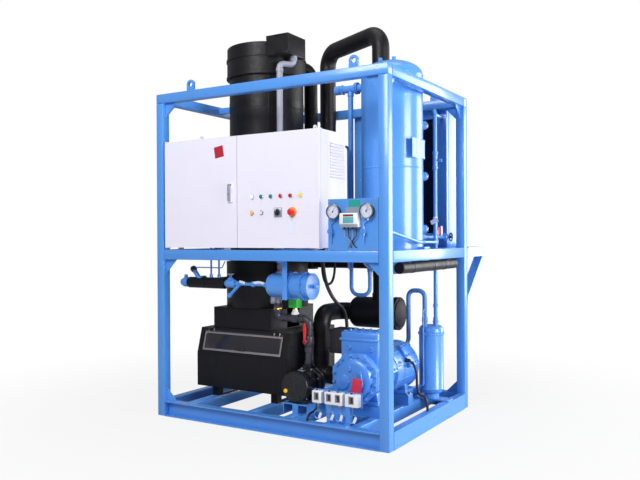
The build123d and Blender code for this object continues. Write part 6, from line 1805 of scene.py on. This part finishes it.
@dataclass
class LiquidTrain:
    """The filter drier under the cabinet, and the valves on its line."""

    y: float = -450
    z: float = 868
    start: float = -50
    end: float = 293

    def build(self) -> None:
        """Build the drier and its line."""
        self.drier()
        self.line()

    def drier(self) -> None:
        """Build the shell with its bolted flange, end cap, strap and hanger."""
        y, z, start, end = self.y, self.z, self.start, self.end
        drier = Shape("drier_shell", FINISH.blue, slot="blue_paint")
        drier.turned((start, y, z), Axis.X, [(0, 0), (0, 48), (4, 60), (12, 69), (26, 74),
                                             (243, 74), (245, 86), (252, 86), (253, 84), (255, 84),
                                             (256, 86), (263, 86), (265, 74), (298, 74), (299, 79),
                                             (311, 79), (312, 70), (312, 0)], 64)
        drier.box((end - 32, end), (y - 20, y + 20), (z - 12, z + 12), 4)
        drier.band((98, y, z), Axis.X, 86, 73, 34, 1.5, 64)
        drier.box((98, 132), (y - 92, y - 84), (z - 80, 1022), 1.5)
        drier.box((98, 132), (-600, y - 84), (1014, 1022), 1.5)
        for cy, cz in circle((y, z), 80, 12, 15):
            drier.bolt((end - 80, cy, cz), Axis.X, 13)
            drier.bolt((end - 98, cy, cz), Axis.LEFT, 13)
        drier.use(FINISH.ink).rod((end - 16, y - 20, z), Axis.FRONT, 5, 0.6, 0.1, 16)
        stand_for(drier.done(30), "filter_drier")

    def line(self) -> None:
        """Build the line with its nuts, valves, branch, foam sleeve and thin pipes."""
        y, z = self.y, self.z
        line = Shape("drier_line_fittings", FINISH.blue, slot="insulation")
        line.rod((self.start, y, z), Axis.LEFT, 11, 272, 0.5, 24)
        for x in (self.start - 20, self.start - 236):
            line.rod((x, y, z), Axis.LEFT, 17, 26, 2, 6)
        line.turned((-164, y, z), Axis.LEFT,
                    [(0, 0), (0, 12), (8, 18), (26, 18), (34, 12), (34, 0)], 32)
        line.turned((-318, y, z), Axis.LEFT, [(0, 0), (0, 18), (6, 26), (16, 28), (62, 28),
                                              (74, 24), (84, 17), (84, 0)], 40)
        line.turned((-360, y, z), Axis.Z, [(0, 0), (0, 20), (34, 20), (38, 14), (44, 9), (62, 9),
                                           (62, 0)], 24)
        line.use(FINISH.grey).turned((-360, y, z + 54), Axis.Z, [(0, 0), (0, 20), (2, 24), (8, 24),
                                                                 (10, 21), (10, 0)], 12)
        line.use(FINISH.foam).turned((-400, y, z), Axis.LEFT, [(0, 0), (0, 31), (4, 36),
                                                               (150, 36.2), (152, 33), (156, 33),
                                                               (158, 36), (300, 36), (306, 30),
                                                               (306, 0)], 40)
        line.use(FINISH.blue).turned((-705, y, z), Axis.LEFT, [
            (0, 0), (0, 22), (6, 22), (8, 30), (20, 32), (40, 32), (48, 26), (62, 22), (62, 0)], 40)
        line.turned((-736, y, z), Axis.Z, [(0, 0), (0, 14), (36, 14), (38, 11), (50, 11), (50, 0)],
                    24)
        tilt = (-0.622, 0, 0.783)
        line.rod((-600, y, z), tilt, 15, 130, 1, 24)
        line.use(FINISH.dark).rod((-661, y, z + 77), tilt, 21, 26, 2, 8)
        line.use(FINISH.blue)
        line.pipe([(-664, y, 948), (-640, y, 967), (-431, y, 967), (-405, y, 1010)], 3.5, 12, 12)
        branch = (-0.747, 0, -0.664)
        line.rod((-290, y, z - 7), branch, 11, 104, 1, 24)
        line.rod((-290 + 92 * branch[0], y, z - 7 + 92 * branch[2]), branch, 16, 24, 2, 6)
        line.box((-614, -586), (y - 34, y + 34), (z + 30, z + 44), 4)
        for x in (-520, -455):
            line.rod((x, y, z), Axis.Z, 6, 232, 0.4, 16)
            line.rod((x, y, z + 30), Axis.Z, 12, 26, 1.5, 6)
        stand_for(line.done(30), "drier_line")
        tags = Shape("line_tags", FINISH.label_white)
        for x, turn in ((-262, 12), (-150, -8), (-110, 10)):
            tags.turn = tilted((x, 0, z), turn)
            tags.box((x - 22, x + 22), (y - 13, y - 12), (z + 4, z + 20), 0.3, 1)
            tags.box((x - 2, x + 2), (y - 12.5, y + 11), (z + 10, z + 12), 0.3, 1)
        tags.done()


@dataclass
class Compressor:
    """The semi-hermetic compressor on its bearers."""

    x: float = 508
    z: float = 332
    front: float = -385
    back: float = 190
    feet: tuple[float, float] = (-300, 90)
    head_lean: float = 32

    def build(self) -> None:
        """Build and dress every piece of the compressor."""
        dress(FINISH.blue, "compressor_base")
        self.body()
        self.cover()
        self.terminals()

    def body(self) -> None:
        """Build the cast body with ribs, heads, bolts and feet."""
        x, z, front, back = self.x, self.z, self.front, self.back
        # the casting takes the darker copy of the blue: painted shade
        body = Shape("compressor_casting", FINISH.shaded_blue, slot="blue_paint")
        body.prism(self.octagon(158), Axis.Y, (front, front + 24), 2)
        body.turned((x, front, z), Axis.Y, [
            (0.5, 0), (0.5, 142), (24, 142), (27, 140), (254, 140), (257, 154),
            (260, 158), (278, 158), (281, 154), (284, 150), (548, 150), (551, 156), (554, 158),
            (571, 158), (575, 154), (575, 0)], 72)
        body.box((382, 630), (-330, -155), (z, 595), 9, 3)
        body.box((375, 637), (-337, -148), (543, 559), 4)
        body.box((392, 620), (-320, -165), (590, 596.5), 3)
        lean = tilted((0, 0, 0), -self.head_lean)
        body.turn = Matrix.Translation((x + 118, -240, z + 70)) @ lean
        body.box((-37, 37), (-75, 75), (-75, 75), 9, 3)
        for y in (-56, -20, 20, 56):
            for part in (-56, 56):
                body.bolt((36.5, y, part), Axis.X, 15)
        body.turn = Matrix.Translation((x + 114, 84, z + 70)) @ lean
        body.box((-48, 18), (-68, 66), (-70, 72), 7, 3)
        body.box((14, 33), (-70, 68), (-73, 75), 4, 2)
        for y in (-54, -18, 18, 54):
            for part in (-57, 0, 59):
                body.bolt((32.6, y, part), Axis.X, 16)
        body.turn = Matrix.Identity(4)
        for ox in (402, 456, 508, 560, 610):
            for oy in (-306, -242, -180):
                if ox in (402, 610) or oy in (-306, -180):
                    body.bolt((ox, oy, 596), Axis.Z, 15)
        for cx, cz in circle((x, z), 149, 14, 8):
            if cz < 520:
                body.bolt((cx, -104, cz), Axis.Y, 13)
                body.bolt((cx, back - 0.5, cz), Axis.Y, 13)
        for angle in (-20, 15, 50, 165, 200):
            body.turn = Matrix.Translation((x, 0, z)) @ tilted((0, 0, 0), -angle)
            body.box((146, 153.5), (-90, 155), (-3, 3), 1.5)
        body.turn = Matrix.Identity(4)
        body.rod((350, -40, 260), Axis.X, 63, 90, 3, 40)
        body.rod((538, 150, 197), Axis.X, 12, 52, 1, 24)
        for foot_y in self.feet:
            body.box((x - 118, x + 118), (foot_y - 26, foot_y + 26), (165, 190), 5)
            for side in (-1, 1):
                body.prism([(x + side * 116, 188), (x + side * 60, 188), (x + side * 70, 268),
                            (x + side * 104, 258)], Axis.Y, (foot_y - 22, foot_y + 22), 3)
            body.box((x - 70, x + 70), (foot_y - 20, foot_y + 20), (186, 230), 4)
        for sx, sz in ((x - 70, 505), (x + 78, 499)):
            body.turned((sx, -329, sz), Axis.FRONT, [(0, 0), (0, 17), (6, 17), (7, 14), (12, 14),
                                                     (12, 9), (9, 8), (9, 0)], 6 * 6)
        body.box((404, 612), (-331.6, -329), (566, 584), 0.6)
        body.use(FINISH.chrome).rod((x - 142, -170, 300), Axis.LEFT, 17, 12, 2, 32)
        body.use(FINISH.glass).rod((x - 154, -170, 300), Axis.LEFT, 11, 1, 0.3, 32)
        stand_for(body.done(30), "compressor_body")

    def octagon(self, radius: float) -> Outline:
        """Return the outline of the end flange, flat at its top.

        Args:
            radius: Radius through its corners.

        Returns:
            Its corners as (x, z).
        """
        return circle((self.x, self.z), radius, 8, 22.5)

    def cover(self) -> None:
        """Build the end cover with its flange, stepped dome, oil pump, bolts and pipe stubs."""
        x, z, front = self.x, self.z, self.front
        # the end cover takes the darker copy of the blue: painted shade
        cover = Shape("compressor_front_cover", FINISH.shaded_blue, slot="blue_paint")
        cover.prism(self.octagon(157), Axis.Y, (front - 13, front - 1), 2)
        cover.turned((x, front - 12, z), Axis.FRONT, [
            (0, 0), (0, 121), (2, 120), (8, 117), (18, 111), (24, 100), (26, 84), (26, 0)], 72)
        for index in range(16):
            flat = abs((index * 22.5 + 11.25 + 22.5) % 45 - 22.5)
            cx, cz = around((x, z), 136 if flat > 11 else 133, index * 22.5 + 11.25)
            cover.rod((cx, front - 11, cz), Axis.FRONT, 12.5, 6, 1.5, 20)
            cover.bolt((cx, front - 16.5, cz), Axis.FRONT, 17)
        for inner, outer in zip(circle((x, z), 84, 8, 10), circle((x, z), 118, 8, 10)):
            cover.pipe([(inner[0], front - 31, inner[1]), (outer[0], front - 18, outer[1])], 5, 0,
                       10)
        cover.turned((x - 60, front - 30, z - 20), Axis.FRONT, [
            (0, 0), (0, 46), (10, 46), (12, 43), (18, 40), (19.5, 30), (20, 0)], 48)
        for cx, cz in circle((x - 60, z - 20), 38, 6, 30):
            cover.bolt((cx, front - 44, cz), Axis.FRONT, 10)
        cover.turned((x - 18, front - 12, z + 62), Axis.FRONT, [
            (0, 0), (0, 20), (22, 18), (24, 14), (38, 14), (38, 0)], 6 * 5)
        cover.pipe([(x + 20, front - 30, z + 50), (x + 60, front - 44, z + 40),
                    (x + 70, front - 44, z - 30), (x + 40, front - 30, z - 60)], 7, 16, 16)
        cover.rod((x + 52, front - 30, z + 44), Axis.FRONT, 14, 18, 1.5, 6)
        cover.rod((x + 48, front - 30, z - 52), Axis.FRONT, 14, 18, 1.5, 6)
        cover.use(FINISH.chrome).rod((x + 4, front - 36, z - 74), Axis.FRONT, 18, 8, 1.6, 36)
        cover.use(FINISH.ink).rod((x + 4, front - 43.6, z - 74), Axis.FRONT, 13, 1, 0.2, 32)
        stand_for(cover.done(30), "compressor_end_cover")
        tag = Shape("red_compressor_tag", FINISH.tag_red)
        tag.turn = tilted((552, 0, 300), 12)
        tag.box((520, 584), (front - 66, front - 65), (255, 345), 0.3, 1)
        tag.use(FINISH.zinc).pipe([(552, front - 64, 340), (552, front - 40, 352)], 0.8, 0, 8)
        tag.done()

    def terminals(self) -> None:
        """Build the terminal box with its lid, screws and glands."""
        box = Shape("terminal_box_lid", FINISH.dark, slot="dark_plastic")
        box.box((240, 375), (-230, -90), (440, 580), 8, 3)
        box.box((238.5, 375), (-231.5, -88.5), (576, 590), 5, 2)
        for sx, sy in ((254, -216), (254, -104), (360, -216), (360, -104)):
            box.use(FINISH.zinc).rod((sx, sy, 590), Axis.Z, 5, 1.2, 0.3, 12)
        box.use(FINISH.dark)
        for sy in (-200, -160, -120):
            box.rod((240, sy, 470), Axis.LEFT, 15, 8, 1, 6)
            box.rod((233, sy, 470), Axis.LEFT, 11, 10, 2, 20)
        stand_for(box.done(30), "terminal_box")


@dataclass
class HotGasSide:
    """The oil separator and the discharge pipes."""

    centre: Plan = (695, 320)
    low: float = 139
    neck_x: float = 650
    rise_x: float = 727
    rise_level: float = 1990

    def build(self) -> None:
        """Build the separator and its pipes."""
        self.separator()
        self.pipes()

    def separator(self) -> None:
        """Build the shell with its rolled ends, band, necks and stand."""
        x, y = self.centre
        shell = Shape("separator_shell", FINISH.blue, slot="blue_paint")
        shell.turned((x, y, 0), Axis.Z, [(self.low, 0), (self.low, 54), (self.low + 6, 66),
                                         (self.low + 16, 76), (self.low + 30, 80),
                                         (self.low + 34, 82), (self.low + 38, 80), (520, 80),
                                         (521.5, 84), (524, 86), (536, 86), (538.5, 84), (540, 80),
                                         (560, 79), (572, 73), (580, 62), (584, 46), (584, 0)], 64)
        shell.rod((x, y, 105), Axis.Z, 50, 39, 2, 48)
        shell.box((590, 830), (y - 45, y + 45), (100, 108), 1.5)
        for neck in (self.neck_x, self.rise_x):
            shell.turned((neck, y, 572), Axis.Z, [(0, 0), (0, 20), (10, 20), (12, 17), (28, 17),
                                                  (30, 20), (38, 20), (38, 0)], 32)
        shell.rod((679, 262, 572), Axis.Z, 9, 28, 1, 24)
        for sx in (606, 814):
            for sy in (y - 32, y + 32):
                shell.bolt((sx, sy, 108), Axis.Z, 13)
        stand_for(shell.done(30), "oil_separator")

    def pipes(self) -> None:
        """Build the gooseneck and the rising pipe with its long valve."""
        y, neck, rise, top = self.centre[1], self.neck_x, self.rise_x, self.rise_level
        pipe = Shape("hot_gas_lines", FINISH.blue, slot="blue_paint")
        pipe.pipe([(533, 190, 450), (533, y, 450), (533, y, 805), (neck, y, 805), (neck, y, 610)],
                  15, 45, 28, 12)
        pipe.pipe([(rise, y, 610), (rise, y, top), (655, 450, top), (655, 618, top)], 13, 40, 28,
                  10)
        pipe.turned((rise, y, 1600), Axis.Z, [(0, 0), (0, 13), (4, 18), (20, 18), (22, 15),
                                              (96, 15), (98, 18), (116, 18), (120, 13), (120, 0)],
                    32)
        pipe.rod((rise, y, 1660), Axis.X, 8, 46, 1, 20)
        pipe.rod((rise + 30, y, 1660), Axis.X, 11, 16, 1.5, 6)
        for z in (612, 700, 1180):
            pipe.rod((rise, y, z), Axis.Z, 16.5, 22, 1, 28)
        pipe.rod((neck, y, 612), Axis.Z, 18.5, 20, 1, 28)
        pipe.use(FINISH.label_white).band((rise, y, 1262), Axis.Z, 15, 13, 30, 0.4, 24)
        pipe.use(FINISH.blue).pipe([(679, 262, 600.3), (679, 262, 690), (679, 226, 690),
                                    (679, 226, 197), (640, 226, 197), (640, 150, 197),
                                    (590.3, 150, 197)], 6, 17, 16, 8)
        pipe.rod((679, 262, 600.3), Axis.Z, 9, 14, 1, 6)
        pipe.rod((592, 150, 197), Axis.X, 10, 16, 1, 6)
        stand_for(pipe.done(30), "hot_gas_pipes")


@dataclass
class SwitchRow:
    """The pressure switches with their coiled capillaries."""

    low: float = 215
    high: float = 285
    front: float = -600
    back: float = -558
    spans: tuple[Span, ...] = ((341, 402), (424, 540), (556, 640))
    coil_z: float = 146
    coil_radius: float = 24

    def build(self) -> None:
        """Build the boxes and coils, and paint the bracket."""
        dress(FINISH.blue, "switch_bracket")
        self.boxes()
        self.coils()

    def middles(self, span: Span) -> list[float]:
        """Return the X of each switch in a box; the second box holds two."""
        count = 2 if span is self.spans[1] else 1
        return [span[0] + (span[1] - span[0]) * (index + 0.5) / count for index in range(count)]

    def boxes(self) -> None:
        """Build the boxes with windows, scales, knobs and screws."""
        boxes = Shape("switch_boxes", FINISH.ivory, slot="white_plastic")
        for span in self.spans:
            boxes.use(FINISH.ivory).box(span, (self.front, self.back), (self.low, self.high), 5, 3)
            for x in self.middles(span):
                boxes.use(FINISH.grey).box((x - 17, x + 17), (self.front - 0.8, self.front + 1),
                                           (self.low + 16, self.high - 8), 0.6)
                boxes.use(FINISH.ink).box((x - 12, x + 12), (self.front - 1.2, self.front + 1),
                                          (self.low + 22, self.high - 14), 0.6)
                boxes.use(FINISH.label_red).box((x - 2, x + 1), (self.front - 1.6, self.front),
                                                (self.low + 30, self.low + 34), 0.1, 1)
                for step in range(6):
                    z = self.low + 26 + step * 4.6
                    boxes.use(FINISH.dial).box((x - 10, x - 4), (self.front - 1.5, self.front),
                                               (z, z + 0.9))
                boxes.use(FINISH.dark).rod((x - 8, self.front + 20, self.high - 0.5), Axis.Z, 7, 7,
                                           1, 20)
                boxes.use(FINISH.zinc).rod((x + 10, self.front + 20, self.high - 0.5), Axis.Z, 4, 4,
                                           0.5, 12)
                boxes.use(FINISH.brass).rod((x, -579, self.low), Axis.DOWN, 7, 12, 0.8, 6)
        stand_for(boxes.done(30), "pressure_switches")

    def coils(self) -> None:
        """Build each capillary as a coil of three turns with its two ends."""
        coils = Shape("capillary_coils", FINISH.blue, slot="blue_paint")
        y = (self.front + self.back) / 2
        tags = Shape("capillary_tags", FINISH.label_white)
        for span in self.spans:
            for index, x in enumerate(self.middles(span)):
                line = [(x, y, self.low - 4), (x, y - 3, self.coil_z + self.coil_radius + 8)]
                for step in range(73):
                    angle = math.tau * step / 24 + math.pi / 2
                    line.append((x + self.coil_radius * math.cos(angle), y - 5 + step * 0.12,
                                 self.coil_z + self.coil_radius * math.sin(angle)))
                coils.pipe(line, 1.9, 0, 8)
                coils.use(FINISH.dark).ring((x + 8, y, self.coil_z - self.coil_radius + 2), Axis.X,
                                            5, 1.2, 16, 6).use(FINISH.blue)
                tags.turn = tilted((x, 0, self.coil_z), 24 - 9 * index)
                tags.box((x + 8, x + 24), (y - 9, y - 8.2), (self.coil_z - 14, self.coil_z + 22),
                         0.3, 1)
        stand_for(coils.done(), "capillaries")
        tags.done()


@dataclass
class RearCasing:
    """The casing on the rear rails, with its fins in front, painted near-black as the shade in its
    recess.
    """

    x: Span = (-33, 690)
    y: Span = (618, 985)
    z: Span = (1087, 2085)
    border: float = 100
    recess: float = 42

    def build(self) -> None:
        """Build the casing with seams, fins and screws."""
        shell = Shape("casing_shell", FINISH.blue, slot="blue_paint")
        shell.box(self.x, (self.y[0] + self.recess, self.y[1]), self.z, 4)
        inner_x = (self.x[0] + self.border, self.x[1] - self.border)
        inner_z = (self.z[0] + self.border, self.z[1] - self.border)
        edge = (self.y[0], self.y[0] + self.recess + 8)
        shell.box((self.x[0], inner_x[0]), edge, self.z, 4)
        shell.box((inner_x[1], self.x[1]), edge, self.z, 4)
        shell.box(inner_x, edge, (self.z[0], inner_z[0]), 4)
        shell.box(inner_x, edge, (inner_z[1], self.z[1]), 4)
        # the fin sheet and the fins are near-black navy: painted shade of the recess
        shell.use(FINISH.fins).box(inner_x, (self.y[0] + 36, self.y[0] + 44), inner_z, 0)
        count = 90
        for index in range(count):
            x = inner_x[0] + (index + 0.5) * (inner_x[1] - inner_x[0]) / count
            shell.box((x - 0.9, x + 0.9), (self.y[0] + 30, self.y[0] + 38), inner_z)
        shell.use(FINISH.blue)
        for z in (1420, 1752):
            shell.box((self.x[0] - 0.6, self.x[1] + 0.6), (self.y[0] + 50, self.y[1] - 6),
                      (z - 1, z + 1), 0.4)
        shell.use(FINISH.zinc)
        for z in (1110, 1397, 1443, 1729, 1775, 2062):
            for y in (self.y[0] + 80, self.y[1] - 30):
                shell.rod((self.x[1], y, z), Axis.X, 5, 2, 0.5, 12)
                shell.rod((self.x[0], y, z), Axis.LEFT, 5, 2, 0.5, 12)
        for z in (1137, 1586, 2035):
            for x in (self.x[0] + 50, self.x[1] - 50):
                shell.rod((x, self.y[0] + 0.5, z), Axis.FRONT, 5, 1.8, 0.5, 12)
        stand_for(shell.done(), "rear_casing")


@dataclass
class Cable:
    """One free cable with its route, gland and length.

    Attributes:
        name: Name of the piece.
        points: Control points of its line, in millimetres.
        radius: Radius of the cable.
        length: Its real length in metres; not used.
        relief: Length of the strain relief where it leaves the housing.
    """

    name: str
    points: tuple[Point, ...]
    radius: float
    length: float
    relief: float = 32

    def build(self) -> None:
        curve = bpy.data.curves.new(self.name, "CURVE")
        curve.dimensions = "3D"
        curve.bevel_depth = self.radius * MM
        curve.bevel_resolution = 5
        curve.use_fill_caps = True
        line = curve.splines.new("NURBS")
        line.points.add(len(self.points) - 1)
        for spot, point in zip(line.points, self.points):
            spot.co = (point[0] * MM, point[1] * MM, point[2] * MM, 1.0)
        line.order_u = 3
        line.use_endpoint_u = True
        line.resolution_u = 12
        curve.materials.append(FINISH.cable.material())
        made = bpy.data.objects.new(self.name, curve)
        bpy.context.scene.collection.objects.link(made)
        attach(made, "frame")
        stand_for(made, "cables")
        self.strain_relief()

    def strain_relief(self) -> bpy.types.Object:
        """Build the tapered sleeve with three grooves at the start of the cable.

        Returns:
            The sleeve.
        """
        start, after = Vector(self.points[0]), Vector(self.points[1])
        wide, narrow = self.radius + 6, self.radius + 1.6
        profile = [(0, 0), (0, wide), (self.relief * 0.2, wide)]
        for share in (0.3, 0.5, 0.7):
            edge = wide + (narrow - wide) * share
            profile += [(self.relief * share, edge), (self.relief * (share + 0.05), edge - 1.2),
                        (self.relief * (share + 0.1), edge - 0.6)]
        profile += [(self.relief, narrow), (self.relief, 0)]
        sleeve = Shape(f"{self.name}_relief", FINISH.cable)
        sleeve.turned(tuple(start), tuple((after - start).normalized()), profile, 28)
        return sleeve.done()


@dataclass
class Wiring:
    """The cables between the cabinet, the pump, the compressor and the base."""

    def build(self) -> None:
        """Build every cable."""
        cables = (Cable("supply_cable", ((262, -340, 1100), (262, -340, 930), (335, -340, 780),
                                         (335, -170, 700), (335, -170, 590)), 11, 0.62),
                  Cable("pump_cable", ((242, -470, 265), (302, -470, 265), (302, -470, 140),
                                       (302, -585, 140), (302, -585, 100)), 7, 0.29, 22),
                  Cable("compressor_cable", ((663, -20, 400), (740, -20, 400), (740, -20, 190),
                                             (810, -20, 190), (810, -20, 100)), 8, 0.38),
                  Cable("spare_loop", ((228, -290, 1022), (228, -290, 868), (228, -130, 868),
                                       (228, -130, 1022)), 8, 0.40),)
        for cable in cables:
            cable.build()


# Studio


@dataclass
class Studio:
    """The pale floor, the soft lights and the camera at the photo's angle."""

    eye: Point = (2.53124, -4.11589, 1.16390)
    yaw: float = 31.204
    pitch: float = -0.243
    roll: float = -0.272
    lens: float = 40.66

    def build(self) -> None:
        """Set up the floor, the world, the lights and the camera."""
        self.floor()
        self.world()
        self.lamp("key_light", (5.9, -0.6, 1.7), (0.4, 0.0, 1.0), 2.4, 290)
        self.lamp("side_light", (4.4, 5.6, 1.8), (0.6, 0.2, 1.1), 4.2, 340)
        self.lamp("front_light", (0.2, -5.4, 4.4), (-0.1, 0, 1.3), 2.4, 250)
        self.lamp("top_light", (0.2, -0.6, 5.4), (0, 0, 1.0), 3.0, 60)
        self.camera()
        bpy.context.scene.view_settings.view_transform = "Standard"

    @staticmethod
    def pale(graph_tree: bpy.types.NodeTree) -> bpy.types.NodeSocket:
        """Return a value that is 1 where the camera sees a surface, straight or through glass.

        Args:
            graph_tree: Tree of the material or world.

        Returns:
            The value.
        """
        path = graph_tree.nodes.new("ShaderNodeLightPath")
        seen = graph_tree.nodes.new("ShaderNodeMath")
        seen.operation = "MAXIMUM"
        for index, ray in enumerate(("Is Camera Ray", "Is Transmission Ray")):
            graph_tree.links.new(path.outputs[ray], seen.inputs[index])
        return seen.outputs[0]

    def floor(self) -> None:
        """Build the floor, white with a soft shadow."""
        mesh = bpy.data.meshes.new("studio_floor")
        reach = 60.0
        mesh.from_pydata([(-reach, -reach, 0), (reach, -reach, 0), (reach, reach, 0),
                          (-reach, reach, 0)], [], [(0, 1, 2, 3)])
        floor = bpy.data.objects.new("studio_floor", mesh)
        floor.location.z = -0.0005
        bpy.context.scene.collection.objects.link(floor)
        material = bpy.data.materials.new("studio_floor")
        material.use_nodes = True
        graph = Graph(material)
        graph.set(Base_Color=(0.55, 0.55, 0.56, 1), Roughness=0.9, Specular_IOR_Level=0.0)
        distance = graph.node("ShaderNodeVectorMath", operation="LENGTH")
        far = graph.node("ShaderNodeMapRange", interpolation_type="SMOOTHSTEP",
                         Value=distance.outputs["Value"], From_Min=1.2, From_Max=3.4, To_Min=0.84,
                         To_Max=1.0)
        share = graph.node("ShaderNodeMath", operation="MULTIPLY")
        glow = graph.node("ShaderNodeEmission")
        mix = graph.node("ShaderNodeMixShader")
        tree = graph.tree
        for source, target in ((graph.place, distance.inputs[0]),
                               (self.pale(tree), share.inputs[0]),
                               (far.outputs["Result"], share.inputs[1]),
                               (share.outputs[0], mix.inputs[0]),
                               (graph.shader.outputs[0], mix.inputs[1]),
                               (glow.outputs[0], mix.inputs[2]), (mix.outputs[0],
                tree.nodes["Material Output"].inputs["Surface"])):
            tree.links.new(source, target)
        mesh.materials.append(material)

    def world(self) -> None:
        """Set a white background and a soft sky of light."""
        world = bpy.data.worlds.new("studio_world")
        bpy.context.scene.world = world
        world.use_nodes = True
        tree = world.node_tree
        light = tree.nodes["Background"]
        light.inputs["Color"].default_value = (1, 1, 1, 1)
        strength = tree.nodes.new("ShaderNodeMapRange")
        strength.inputs["To Min"].default_value = 0.30
        strength.inputs["To Max"].default_value = 1.0
        tree.links.new(self.pale(tree), strength.inputs["Value"])
        tree.links.new(strength.outputs["Result"], light.inputs["Strength"])

    @staticmethod
    def lamp(name: str, place: Point, target: Point, size: float, power: float) -> None:
        """Add one soft area light.

        Args:
            name: Name of the light.
            place: Where it hangs, in metres.
            target: The point that it faces.
            size: Side of its square in metres.
            power: Its power in watts.
        """
        data = bpy.data.lights.new(name, "AREA")
        data.shape, data.size, data.energy = "SQUARE", size, power
        made = bpy.data.objects.new(name, data)
        made.location = place
        way = Vector(target) - Vector(place)
        made.rotation_euler = way.to_track_quat("-Z", "Y").to_euler()
        bpy.context.scene.collection.objects.link(made)

    def camera(self) -> None:
        """Set the camera where the photo was taken from."""
        yaw, pitch, roll = (math.radians(a) for a in (self.yaw, self.pitch, self.roll))
        right = Vector((math.cos(yaw), math.sin(yaw), 0))
        ahead = Vector((-math.sin(yaw), math.cos(yaw), 0))
        up = Vector((0, 0, 1))
        look = ahead * math.cos(pitch) + up * math.sin(pitch)
        top = up * math.cos(pitch) - ahead * math.sin(pitch)
        side = right * math.cos(roll) + top * math.sin(roll)
        crown = top * math.cos(roll) - right * math.sin(roll)
        place = Matrix((side, crown, -look)).transposed().to_4x4()
        data = bpy.data.cameras.new("photo_camera")
        data.lens, data.sensor_width = self.lens, 36.0
        data.clip_end = 200
        made = bpy.data.objects.new("photo_camera", data)
        made.matrix_world = Matrix.Translation(self.eye) @ place
        bpy.context.scene.collection.objects.link(made)
        bpy.context.scene.camera = made


def main() -> None:
    """Build every sub-assembly and the studio."""
    logging.basicConfig(level=logging.INFO, format="%(message)s")
    Studio().build()
    for group in (SteelFrame(), ControlCabinet(), GaugePanel(), IceColumn(), WaterTank(),
                  WaterCircuit(), InsulatedPipes(), Receiver(), LiquidTrain(), Compressor(),
                  HotGasSide(), SwitchRow(), RearCasing(), Wiring()):
        group.build()
        LOG.info("built %s", type(group).__name__)


if __name__ == "__main__":
    main()
